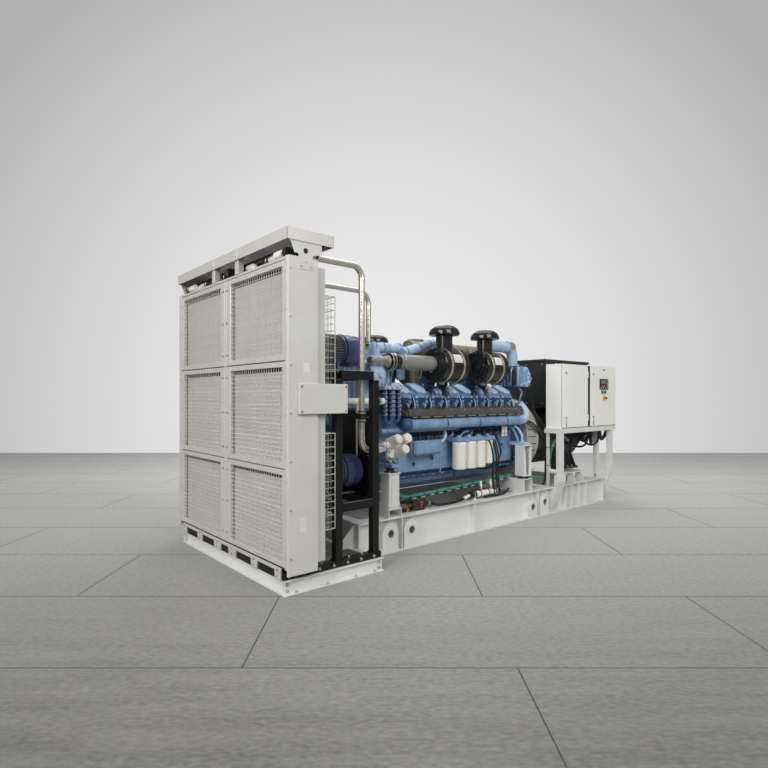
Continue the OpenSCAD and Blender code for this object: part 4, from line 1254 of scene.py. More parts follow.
@dataclass
class FanBank:
    """Four fans: ring and shroud, wheel, wire cage, ribbed motor and violet cowl.

    Attributes:
        cell: Distance between the cage's wires.
        wide: Half width of a cage.
        rise: Distance between the lower and the upper fans.
        ribs: How many cooling ribs go round a motor's barrel.
        motor_r: Radius over the ribs.
    """

    cell: float = 60.0
    wide: float = 498.0
    rise: float = 1195.0
    ribs: int = 40
    motor_r: float = 155.0

    @property
    def tall(self) -> float:
        """Half height of a cage."""
        low, high = corners("fan_guards")
        return (high.z - low.z - self.rise) / 2

    def build(self) -> None:
        """Build the parts of every fan at its centre."""
        low, high = corners("fan_guards")
        centres = [(side * (high.y - self.wide), z) for side in (-1, 1)
                   for z in (low.z + self.tall, high.z - self.tall)]
        cages, wheels, motors, cowls = (Shape(radiator_frame()) for _ in range(4))
        for y, z in centres:
            self.cage(cages, y, z)
            self.wheel(wheels, y, z)
            self.motor(motors, y, z)
            self.cowl(cowls, y, z)
        self.shelves(motors, centres)
        cages.make("wire_cages", stands_for="fan_guards")
        wheels.make("fan_blades", stands_for="fan_wheels")
        motors.make("ribbed_motors", stands_for="fan_motors")
        cowls.make("violet_cowls", stands_for="motor_cowls")

    def cage(self, s: Shape, y: float, z: float) -> None:
        """Box cage of welded wire: heavy edge wires and light wires on the face and sides.

        Args:
            s: Shape that takes it.
            y: Place of the fan's centre across.
            z: Height of the fan's centre.
        """
        h, t, x0, x1 = self.wide - 4, self.tall - 4, 377.0, 523.0
        outline = ((-h, -t), (h, -t), (h, t), (-h, t))
        for (a, b), (c, d) in zip(outline, (*outline[1:], outline[0])):
            for x in (x0, (x0 + x1) / 2, x1):
                s.rod((x, y + a, z + b), (x, y + c, z + d), 4 if x != (x0 + x1) / 2 else 2.4,
                      Finish.WIRE_COAT, 6)
            s.rod((x0, y + a, z + b), (x1, y + a, z + b), 4, Finish.WIRE_COAT, 6)
        for across, up in ((1, 0), (0, 1)):
            reach, other = (h, t) if across else (t, h)
            count = round(2 * reach / self.cell)
            for i in range(1, count):
                at = -reach + 2 * reach * i / count
                face = x1 - 4 * up
                for (a, b, c), (d, e, f) in (((x0, at, -other), (x1, at, -other)),
                                             ((x0, at, other), (x1, at, other)),
                                             ((face, at, -other), (face, at, other))):
                    ends = [(a, b, c), (d, e, f)] if across else [(a, c, b), (d, f, e)]
                    (a, b, c), (d, e, f) = ends
                    s.rod((a, y + b, z + c), (d, y + e, z + f), 3.2 if i % 4 == 0 else 2.2,
                          Finish.WIRE_COAT, 5)

    def wheel(self, s: Shape, y: float, z: float) -> None:
        """Hub and six twisted blades.

        Args:
            s: Shape that takes it.
            y: Place of the fan's centre across.
            z: Height of the fan's centre.
        """
        s.lathe([(90, 0), (90, 60), (70, 75)], (295, y, z), REAR, Finish.FAN_PLASTIC)
        for k in range(6):
            turn = Matrix.Rotation(k * math.pi / 3, 3, "X")
            rows = []
            for r, chord, pitch in ((82, 70, 42), (180, 86, 36), (280, 92, 30), (388, 84, 24)):
                lean = math.radians(pitch)
                for part in (-1, -0.4, 0.3, 1):
                    rows.append(Vector((322 + chord * part * math.sin(lean) + 10 * (1 - part * part),
                                        chord * part * math.cos(lean), r)))
            points, faces = [], []
            for thick in (-2.5, 2.5):
                points += [Vector((0, y, z)) + turn @ (p + Vector((thick, 0, 0))) for p in rows]
            for a in range(3):
                for b in range(3):
                    i = a * 4 + b
                    faces += [(i, i + 1, i + 5, i + 4), (16 + i + 4, 16 + i + 5, 16 + i + 1, 16 + i)]
            edge = [0, 1, 2, 3, 7, 11, 15, 14, 13, 12, 8, 4]
            faces += [(i, 16 + i, 16 + j, j) for i, j in zip(edge, edge[1:] + edge[:1])]
            s.add(points, faces, Finish.FAN_PLASTIC)

    def motor(self, s: Shape, y: float, z: float) -> None:
        """Ribbed barrel between two end shields, with a terminal box, feet and a lifting eye.

        Args:
            s: Shape that takes it.
            y: Place of the fan's centre across.
            z: Height of the fan's centre.
        """
        core = self.motor_r - 24
        s.rod((372, y, z), (560, y, z), 30, Finish.MOTOR_BLACK, 20)
        s.lathe([(60, 0), (core, 18), (self.motor_r, 22), (self.motor_r, 52), (core, 56)], (556, y, z),
                REAR, Finish.COWL_BLUE, 40)
        s.rod((600, y, z), (905, y, z), core, Finish.MOTOR_BLACK, 40)
        s.lathe([(core, 0), (self.motor_r, 4), (self.motor_r, 24), (core, 28)], (886, y, z), REAR,
                Finish.COWL_BLUE, 40)
        for k in range(self.ribs):
            turn = (Matrix.Translation((0, y, z))
                    @ Matrix.Rotation(2 * math.pi * (k + 0.5) / self.ribs, 4, "X"))
            s.block((612, -3, core - 4), (886, 3, self.motor_r - 1), Finish.MOTOR_BLACK, 1.5, turn)
        side = -1 if y > 0 else 1
        s.block((690, y + side * 90, z + 70), (830, y + side * 168, z + 150), Finish.COWL_BLUE, 5)
        s.block((684, y + side * 84, z + 148), (836, y + side * 172, z + 158), Finish.COWL_BLUE, 3)
        for x in (650, 820):
            for a in (-110, 70):
                s.block((x, y + a, z - 195), (x + 40, y + a + 40, z - 100), Finish.COWL_BLUE, 4)
            s.block((x - 6, y - 122, z - 195), (x + 46, y + 122, z - 183), Finish.COWL_BLUE, 3)
            for a in (-100, 100):
                s.bolt((x + 20, y + a, z - 183), UP, 19)
        s.lathe([(13, -5), (18, -5), (18, 5), (13, 5)], (740, y, z + 172), FAR, Finish.PLATED, 20,
                closed=True)
        s.rod((740, y, z + 130), (740, y, z + 158), 8, Finish.PLATED)

    def cowl(self, s: Shape, y: float, z: float) -> None:
        """Pressed fan cowl: a rolled lip, a raised seam and a ringed inlet grille.

        Args:
            s: Shape that takes it.
            y: Place of the fan's centre across.
            z: Height of the fan's centre.
        """
        r = self.motor_r + 6
        s.lathe([(r - 8, 0), (r, 3), (r, 66), (r + 1, 70), (r + 1, 80), (r, 84), (r, 168), (r - 4, 184),
                 (r - 16, 196), (r - 34, 199), (r - 36, 194), (30, 190)],
                (920, y, z), REAR, Finish.COWL_BLUE, 48)
        for k in range(7):
            ring = 34 + 13 * k
            s.ring((1108, y, z), REAR, ring, ring + 5, 4, Finish.MOTOR_BLACK, 32)
        for k in range(4):
            a = math.pi * (k / 2 + 0.25)
            out = Vector((0, math.cos(a), math.sin(a)))
            s.bolt(Vector((935, y, z)) + out * r, out, 10)

    def shelves(self, s: Shape, centres: Sequence[Point]) -> None:
        """Plates under the motors: packers on the rails, with bright cut edges.

        Args:
            s: Shape that takes them.
            centres: Place across and height of every fan's centre.
        """
        stand = MotorStand()
        for y, z in centres:
            top = 694 if z < 1400 else 1888
            base = top - (14 if z < 1400 else 28)
            for a in (-122, 62):
                s.block((stand.front, y + a, base), (stand.back, y + a + 60, top - 2), Finish.PLATED, 2)


@dataclass
class MotorStand:
    """Black square-tube stand of the fan motors, with clamps, wires and the rear panels.

    Attributes:
        tube: Width of the square tube.
        front: Place of the front posts.
        back: Place of the back faces of the rear posts.
        outer: Half width over the posts.
        shelves: Heights of the rails' tops.
    """

    tube: float = 75.0
    front: float = 533.0
    back: float = 1027.0
    outer: float = 1085.0
    shelves: tuple[float, ...] = (680.0, 1860.0)

    def build(self) -> None:
        """Build posts, rails, panels and clamps."""
        self.posts()
        self.rails()
        self.panels()
        self.clamps()

    def posts(self) -> None:
        """Side frames: posts on a bolted foot rail, and the rails between them."""
        top = corners("motor_stand_sides")[1].z
        s = Shape(radiator_frame())
        inner = self.outer - self.tube
        s.block((5, self.outer - 80, 120), (1050, self.outer, 178), Finish.STAND_BLACK, 4)
        for x in (self.front, self.back - self.tube):
            s.block((x, inner, 178), (x + self.tube, self.outer, top - 80), Finish.STAND_BLACK, 7)
        for z in self.shelves:
            s.block((self.front + self.tube - 2, inner, z - 80),
                    (self.back - self.tube + 2, self.outer, z), Finish.STAND_BLACK, 7)
            # Thin plated strip along the side rail's top edge: painted highlight.
            s.block((self.front + 80, self.outer - 4, z - 3), (self.back - 80, self.outer, z),
                    Finish.PLATED, 1)
        for x in range(60, 1040, 150):
            s.bolt((x, self.outer, 149), FAR, 18)
            s.bolt((x + 40, self.outer - 40, 178), UP, 18)
        for x in (self.front + 36, self.back - 36):
            s.block((x - 44, inner - 6, 178), (x + 44, self.outer, 188), Finish.STAND_BLACK, 2)
        s.mirrored()
        s.make("stand_frames", stands_for="motor_stand_sides")

    def rails(self) -> None:
        """Rails across the stand, with a painted highlight along their tops."""
        s = Shape(radiator_frame())
        inner = self.outer - self.tube
        for x in (self.front, self.back - self.tube):
            for z in self.shelves:
                s.block((x, -inner, z - 80), (x + self.tube, inner, z), Finish.STAND_BLACK, 7)
                # Thin plated strip on the rail's top: painted highlight.
                s.block((x + 2, -inner, z - 2), (x + self.tube - 2, inner, z), Finish.PLATED, 0.6)
        s.make("stand_rails", stands_for="motor_stand_rails")

    def panels(self) -> None:
        """Black sheet panels behind the lower motors, with folded edges and screws."""
        s = Shape(radiator_frame())
        low, high = corners("stand_panels", s.origin)
        x, y0, y1 = high.x, 215, high.y
        s.block((x - 4, y0, low.z), (x, y1, high.z), Finish.STAND_BLACK, 1)
        for y in (y0, y1 - 18):
            s.block((x - 16, y, low.z), (x - 3, y + 18, high.z), Finish.STAND_BLACK, 2)
        for y in (y0 + 60, y1 - 60):
            for z in (low.z + 60, (low.z + high.z) / 2, high.z - 60):
                s.bolt((x - 4, y, z), FRONT, 12)
        for y in (240, 640):
            s.block((self.back, y, 610), (x - 3, y + 50, 660), Finish.STAND_BLACK, 4)
        s.mirrored()
        s.make("rear_panels", stands_for="stand_panels")

    def clamps(self) -> None:
        """U-bolts where the coolant pipes pass the upper rails."""
        s = Shape(radiator_frame())
        for z in (self.shelves[1] - 12, self.shelves[1] - 66):
            s.block((886, 984, z - 8), (956, 1010, z + 8), Finish.STAND_BLACK, 2)
            loop = bent([(885, 1000, z), (885, 914, z), (957, 914, z), (957, 1000, z)], 34)
            s.tube(loop, 5, Finish.PLATED, 8)
            for x in (885, 957):
                s.bolt((x, 984, z), NEAR, 14)
        s.mirrored()
        s.make("pipe_clamps")


@dataclass
class CoolantPipes:
    """Stainless pipes from the radiator to the engine, with rubber sleeves and band clamps.

    Attributes:
        pipe_r: Radius of the stainless pipe.
        drop: Place along and across where a side pipe runs down.
        sleeve: Heights between which the rubber sleeve joins each upright pipe.
        low_y: Distance of the low pipes from the middle.
    """

    pipe_r: float = 30.0
    drop: tuple[float, float] = (921.0, 950.0)
    sleeve: tuple[float, float] = (1384.0, 1488.0)
    low_y: float = 600.0

    def build(self) -> None:
        """Build the side pipes, the centre pipe and the lower header branches."""
        self.side()
        self.centre()
        self.low_branch()

    def band(self, s: Shape, at: Point, along: Point) -> None:
        """Band clamp round a sleeve."""
        s.ring(at, along, self.pipe_r + 8, self.pipe_r + 13, 14, Finish.STRAP_STEEL, 28)

    def side(self) -> None:
        """Pipe from the header down each side and in to the engine, with two sleeves."""
        s = Shape(radiator_frame())
        foot = corners("coolant_pipe_side")[0].z + self.pipe_r
        x, y = self.drop
        low, high = self.sleeve
        route = [(250, y, HEADER_Z), (x, y, HEADER_Z), (x, y, foot), (1250, y, foot), (1250, 640, foot),
                 (1440, 640, foot)]
        s.tube(bent(route, 110, 14), self.pipe_r, Finish.STAINLESS, 28)
        s.rod((228, y, HEADER_Z), (330, y, HEADER_Z), self.pipe_r + 8, Finish.RUBBER, 24, 3)
        s.rod((x, y, low), (x, y, high), self.pipe_r + 9, Finish.RUBBER, 24, 3)
        for at in (262, 308):
            self.band(s, (at, y, HEADER_Z), REAR)
        for z in (low + 10, high - 24):
            self.band(s, (x, y, z), UP)
        for z, along in ((low - 6, DOWN), (high + 6, UP)):
            s.ring((x, y, z), along, self.pipe_r - 1, self.pipe_r + 4, 5, Finish.STAINLESS, 28)
        s.mirrored()
        s.make("side_pipes", stands_for="coolant_pipe_side")

    def centre(self) -> None:
        """Pipe from the middle of the header to the casting on the charge air cooler."""
        s = Shape(radiator_frame())
        x, y, foot = 1744, -30, corners("coolant_pipe_centre")[0].z
        s.tube(bent([(250, y, HEADER_Z), (x, y, HEADER_Z), (x, y, foot)], 150, 14), self.pipe_r,
               Finish.STAINLESS, 28)
        s.rod((x, y, foot + 4), (x, y, foot + 84), self.pipe_r + 9, Finish.RUBBER, 24, 3)
        for rise in (14, 58):
            self.band(s, (x, y, foot + rise), UP)
        s.make("centre_pipe", stands_for="coolant_pipe_centre")

    def low_branch(self) -> None:
        """White pipes at the middle height, each with a sleeve and a white riser."""
        s = Shape(radiator_frame())
        low, high = corners("coolant_pipe_low", s.origin)
        y, z = self.low_y, (low.z + high.z) / 2
        s.tube([(low.x, y, z), (high.x, y, z)], 35, Finish.FILTER_WHITE, 24)
        s.rod((1330, y, z), (1430, y, z), 44, Finish.RUBBER, 24, 3)
        for x in (1340, 1404):
            s.ring((x, y, z), REAR, 43, 48, 14, Finish.STRAP_STEEL, 28)
        s.rod((1150, y, z - 20), (1150, y, 1010), 24, Finish.FILTER_WHITE, 20)
        s.rod((1150, y, 1400), (1150, y, 1460), 30, Finish.RUBBER, 20, 3)
        s.mirrored()
        s.make("low_pipes", stands_for="coolant_pipe_low")


# ---------------------------------------------------------------- engine


@dataclass(frozen=True)
class Bank:
    """Where the cylinders of one bank stand.

    Attributes:
        first: Place of the first cylinder along the engine.
        pitch: Distance between cylinders.
        count: Cylinders in the bank.
        across: Sideways distance of the bank's origin.
        up: Height of the bank's origin above the crankshaft.
        tilt: Lean of the bank, in degrees.
    """

    first: float = 361.0
    pitch: float = 262.0
    count: int = 8
    across: float = 400.0
    up: float = 540.0
    tilt: float = 30.0

    def place(self, i: float) -> float:
        """Place of cylinder i along the engine."""
        return self.first + i * self.pitch

    def cylinder(self, i: int) -> Matrix:
        """Frame of cylinder i of the near bank: x along, -y outward and z up the bank."""
        lean = Matrix.Rotation(math.radians(self.tilt), 4, "X")
        return Matrix.Translation((self.place(i), -self.across, self.up)) @ lean


@dataclass
class Crankcase:
    """Cast crankcase wall with bosses and flanges, the sump and the gear case.

    Attributes:
        half: Half width of the crankcase.
        length: Length of the crankcase.
        bosses: Place and height of the open bosses in the wall.
    """

    half: float = 450.0
    length: float = 2400.0
    bosses: tuple[tuple[float, float], ...] = ((150, -120), (560, -200), (860, -150), (1960, -190),
                                               (2190, -60))

    def build(self) -> None:
        """Build the block, the sump, the gear case and the flywheel housing."""
        self.block()
        self.sump()
        self.front()
        self.housing()

    def block(self) -> None:
        """Crankcase with decks for the banks and cast bosses."""
        c, bank = self.half, Bank()
        s = Shape(engine_frame())
        lean = math.radians(bank.tilt)

        def deck(v: float, w: float) -> tuple[float, float]:
            """Point of the bank's frame in the engine's y and z."""
            return (bank.across + v * math.cos(lean) + w * math.sin(lean),
                    bank.up - v * math.sin(lean) + w * math.cos(lean))

        half = [(0, -350), (c - 120, -350), (c, -280), (c, 300), deck(150, -100), deck(-150, -100),
                (120, 440), (0, 440)]
        outline = half + [(-y, z) for y, z in half[-2:0:-1]]
        s.prism(outline, 0, self.length, "x", Finish.ENGINE_BLUE)
        side = Shape(s.origin)
        for x, z in self.bosses:
            side.lathe([(34, 0), (34, 8), (26, 12), (24, 12)], (x, -c + 1, z), NEAR, Finish.ENGINE_BLUE, 24)
            # Black disc in each boss: painted shade of the open hole.
            side.lathe([(22, 0), (22, 13)], (x, -c + 1, z), NEAR, Finish.RUBBER, 20)
        for x in (330, 1010, 1920):
            side.block((x - 10, -c - 7, -330), (x + 10, -c + 1, 30), Finish.ENGINE_BLUE, 5)
        side.block((12, -c - 10, -349), (self.length - 12, -c + 2, -322), Finish.ENGINE_DEEP, 5)
        # Near-black strip under the wall's bottom flange: painted shade.
        side.block((12, -c - 5, -352), (self.length - 12, -c + 60, -348), Finish.SEAL_FOAM, 1)
        side.block((12, -c - 10, 46), (self.length - 12, -c + 2, 74), Finish.ENGINE_BLUE, 6)
        for k in range(15):
            side.bolt((90 + 158 * k, -c - 10, -336), NEAR, 15, Finish.ENGINE_BLUE)
        side.mirrored()
        s.join(side)
        s.make("crankcase", stands_for="engine_block")

    def sump(self) -> None:
        """Pressed sump with its flange and drain plugs."""
        half, end = self.half - 120, self.length - 160
        s = Shape(engine_frame())
        s.prism([(-half, -372), (half, -372), (half, -430), (240, -500), (-240, -500), (-half, -430)], 60,
                end, "x", Finish.ENGINE_BLUE)
        s.block((50, -half - 24, -372), (end + 10, half + 24, -351), Finish.ENGINE_BLUE, 4)
        for k in range(24):
            for side in (-1, 1):
                s.bolt((90 + 92 * k, side * (half + 12), -372), DOWN, 16, Finish.ENGINE_BLUE)
        for x in (420, 1400):
            s.lathe([(30, 0), (30, 10), (20, 12), (20, 26)], (x, -half, -405), NEAR, Finish.ENGINE_BLUE, 6)
        s.make("sump_pan", stands_for="oil_sump")

    def front(self) -> None:
        """Gear case with ribbed cover, damper and two pump covers."""
        s = Shape(engine_frame())
        s.block((-178, -428, -350), (0, 428, 420), Finish.ENGINE_BLUE, 22)
        s.block((-186, -405, -330), (-172, 405, 400), Finish.ENGINE_BLUE, 12)
        s.lathe([(258, 0), (262, 10), (262, 50), (250, 56), (250, 66), (262, 72), (262, 108), (200, 116),
                 (80, 96), (80, 120), (30, 124)], (-180, 0, 0), FRONT, Finish.ENGINE_DEEP, 48)
        s.bolt_circle((-296, 0, 0), FRONT, 150, 16, 22)
        for y in (-250, 250):
            s.lathe([(92, 0), (92, 20), (74, 26), (74, 60), (50, 74), (20, 78)], (-182, y, 300), FRONT,
                    Finish.ENGINE_BLUE)
            s.bolt_circle((-202, y, 300), FRONT, 83, 6, 14)
        for k in range(14):
            z = -310 + 54 * k
            for y in (-415, 415):
                s.bolt((-179, y, z), FRONT, 16, Finish.ENGINE_BLUE)
        s.make("timing_case", stands_for="gear_case")

    def housing(self) -> None:
        """Flywheel housing with cast ribs and a bolted rim."""
        s = Shape(engine_frame())
        x = self.length
        # Flywheel housing in the shaded copy of the blue: painted shade.
        s.lathe([(440, 0), (468, 20), (430, 60), (430, 180), (468, 206), (468, 229), (120, 229)], (x, 0, 0),
                REAR, Finish.ENGINE_DEEP, 64)
        for k in range(16):
            turn = Matrix.Translation((x, 0, 0)) @ Matrix.Rotation(math.pi * k / 8, 4, "X")
            s.block((22, -10, 400), (205, 10, 464), Finish.ENGINE_DEEP, 4, turn)
            s.bolt(turn @ Vector((205, 70, 448)), FRONT, 24, Finish.ENGINE_BLUE)
        s.make("bell_housing", stands_for="flywheel_housing")


@dataclass
class CylinderHeads:
    """Heads and rocker covers of both banks with the studs, rails and pipes between them.

    Attributes:
        width: Width of one rocker cover.
        head: Height of a head above and below its middle.
    """

    width: float = 172.0
    head: float = 100.0

    def build(self) -> None:
        """Build every cylinder's parts on the near bank and mirror them."""
        bank = Bank()
        heads, covers = Shape(engine_frame()), Shape(engine_frame())
        for i in range(bank.count):
            self.cylinder_head(heads, bank.cylinder(i))
            self.cover(covers, bank.cylinder(i))
            self.pipes(heads, bank.cylinder(i), i)
        heads.mirrored()
        covers.mirrored()
        heads.make("head_row", stands_for="cylinder_heads")
        covers.make("rocker_covers", stands_for="valve_covers")

    def cylinder_head(self, s: Shape, at: Matrix) -> None:
        """Head casting with port covers, studs and drain plugs.

        Args:
            s: Shape that takes it.
            at: Frame of the cylinder.
        """
        h = self.head
        # Head casting in the shaded copy of the blue, with a near-black block between neighbouring heads: painted
        # shade.
        s.block((-104, -118, -h), (104, 148, h - 14), Finish.ENGINE_DEEP, 10, at)
        s.block((106, -96, -h + 10), (156, 148, h - 60), Finish.SEAL_FOAM, 4, at)
        s.block((-98, -128, -h + 10), (98, -100, -h + 56), Finish.ENGINE_DEEP, 6, at)
        for x in (-78, 78):
            s.block((x - 18, -140, -60), (x + 18, -110, 60), Finish.ENGINE_BLUE, 8, at)
            for y in (-96, 0, 96):
                self.nut(s, at, (x, y, h - 14), 26)
        for x in (-40, 40):
            s.block((x - 16, -136, -52), (x + 16, -112, 8), Finish.ENGINE_BLUE, 7, at)
            out = at.to_3x3() @ Vector(NEAR)
            s.lathe([(15, 0), (15, 6), (10, 8), (10, 22)], at @ Vector((x, -134, -20)), out,
                    Finish.PLATED, 12)

    def nut(self, s: Shape, at: Matrix, place: Point, across: float) -> None:
        """Stud and nut that stand up from a head.

        Args:
            s: Shape that takes them.
            at: Frame of the cylinder.
            place: Foot of the stud in that frame.
            across: Width of the nut.
        """
        up = at.to_3x3() @ Vector(UP)
        foot = at @ Vector(place)
        s.bolt(foot, up, across, Finish.ENGINE_LIGHT)
        s.rod(foot, foot + up * across * 1.1, across * 0.28, Finish.PLATED, 8)

    def cover(self, s: Shape, at: Matrix) -> None:
        """Rocker cover: round outer end, sloped lid drawn lighter as painted light, flange, rib and cap screws.

        Args:
            s: Shape that takes it.
            at: Frame of the cylinder.
        """
        r = self.width / 2
        base = self.head - 16

        def lobe(radius: float, inner: float, drop: float = 0.0) -> list[Vector]:
            """Outline with a round outer end, clockwise from inside.

            Args:
                radius: Half width.
                inner: Place of the straight inner end.
                drop: How far the round end is drawn in.

            Returns:
                Its points.
            """
            arc = [(radius * math.sin(a), -46 - radius * math.cos(a) + drop)
                   for a in (math.pi * (k / 12 - 0.5) for k in range(13))]
            return [Vector((-radius, inner)), *(Vector(p) for p in arc), Vector((radius, inner))]

        levels = [(r + 4, 136, base, 0), (r + 4, 136, base + 13, 0), (r - 7, 128, base + 15, 0),
                  (r - 9, 126, base + 58, 0), (r - 20, 112, base + 74, 8), (r - 34, 98, base + 80, 12)]
        rows = [[Vector((p.x, p.y, z)) for p in lobe(radius, inner, drop)]
                for radius, inner, z, drop in levels]
        n = len(rows[0])
        tilt = Matrix.Rotation(math.radians(-5), 4, "X")
        points = [at @ (tilt @ p) for row in rows for p in row]
        sides = [(a * n + j, a * n + (j + 1) % n, (a + 1) * n + (j + 1) % n, (a + 1) * n + j)
                 for a in range(len(rows) - 1) for j in range(n)]
        last = len(rows) - 1
        low = [f for f in sides if f[0] < 3 * n]
        high = [f for f in sides if f[0] >= 3 * n] + [tuple(range(last * n, last * n + n))]
        # Lower sides in the engine blue and the lid in its lit copy: painted light on the top.
        s.add(points, [*low, tuple(range(n))[::-1]], Finish.ENGINE_BLUE)
        s.add(points, high, Finish.ENGINE_LIGHT)
        up = at.to_3x3() @ Vector(UP)
        for x, y in ((-62, 90), (62, 90), (-70, -40), (70, -40), (0, -118)):
            s.bolt(at @ Vector((x, y, base + 14)), up, 17, Finish.PLATED)
        s.block((-9, -84, base + 70), (9, 100, base + 86), Finish.ENGINE_LIGHT, 5, at @ tilt)
        s.lathe([(24, 0), (24, 8), (17, 10), (17, 20)], at @ Vector((0, -52, base + 76)), up,
                Finish.ENGINE_LIGHT, 16)

    def pipes(self, s: Shape, at: Matrix, i: int) -> None:
        """Fuel and coolant lines in the gap beside a cover, and the elbow below its head.

        Args:
            s: Shape that takes them.
            at: Frame of the cylinder.
            i: Number of the cylinder.
        """
        gap = 131
        for k, (x, y0, y1, r) in enumerate(((gap - 14, 120, -150, 9), (gap + 12, 90, -160, 6))):
            route = [(x, y0, 60), (x, y0 - 40, 96 + 12 * k), (x + 10 * (k * 2 - 1), -60, 84), (x, y1, 10),
                     (x, y1, -70)]
            s.tube([at @ p for p in flowing(route, 4)], r, Finish.ENGINE_LIGHT if k else Finish.RUBBER, 8)
        s.block((gap - 20, -70, 30), (gap + 20, 100, 66), Finish.ENGINE_DEEP, 8, at)
        for y in (-30, 30, 90):
            self.nut(s, at, (gap, y, 72), 20)
        elbow = [(30, -128, 20), (30, -168, 20), (34, -176, -40), (34, -176, -86)]
        s.tube([at @ p for p in flowing(elbow, 4)], 13, Finish.ENGINE_BLUE, 10)
        s.tube([at @ p for p in flowing([(-46, -130, -24), (-46, -160, -30), (-30, -172, -80)], 4)], 8,
               Finish.STRAP_STEEL if i % 2 else Finish.BRASS, 8)


@dataclass
class FuelTrunk:
    """Black trunk of the fuel lines and wiring under the heads, on brackets.

    Attributes:
        start: Front end of the trunk.
        end: Rear end of the trunk.
    """

    start: float = 277.0
    end: float = 2393.0

    def build(self) -> None:
        """Build the trunk of the near side and mirror it."""
        s, bank = Shape(engine_frame()), Bank()
        outline = [(-500, 352), (-655, 352), (-663, 362), (-663, 396), (-640, 438), (-534, 448), (-500, 380)]
        s.prism(outline, self.start + 34, self.end, "x", Finish.TRUNK_BLACK)
        s.prism([(-510, 362), (-640, 362), (-640, 392), (-560, 425)], self.start, self.start + 40, "x",
                Finish.TRUNK_BLACK)
        count = 17
        for k in range(count):
            x = self.start + 80 + (self.end - self.start - 120) * k / (count - 1)
            s.bolt((x, -652, 419), (0, -0.88, 0.47), 13)
            s.lathe([(5, 0), (5, 5)], (x + 50, -590, 444), UP, Finish.PLATED, 8)
            if k % 2 == 0:
                s.block((x - 3, -666, 352), (x + 3, -500, 452), Finish.TRUNK_BLACK, 1)
        strip = (self.start + 90, self.end - 60)
        s.block((strip[0], -660, 341), (strip[1], -646, 353), Finish.STRAP_STEEL, 2)
        for k in range(10):
            x = strip[0] + (strip[1] - strip[0]) * (k + 0.5) / 10
            s.block((x - 26, -664, 338), (x + 26, -640, 356), Finish.RUBBER, 3)
        for i in range(0, bank.count - 1, 2):
            x = bank.place(i + 0.5)
            s.block((x - 15, -545, 270), (x + 15, -449, 300), Finish.ENGINE_BLUE, 4)
            s.block((x - 15, -545, 299), (x + 15, -505, 352), Finish.ENGINE_BLUE, 4)
        s.hose([(self.start + 60, -600, 448), (self.start + 20, -600, 490), (self.start - 8, -560, 560),
                (self.start - 20, -520, 640)], 6, 9, Finish.CONDUIT, 8)
        s.mirrored()
        s.make("trunk_run", stands_for="rail_trunks")


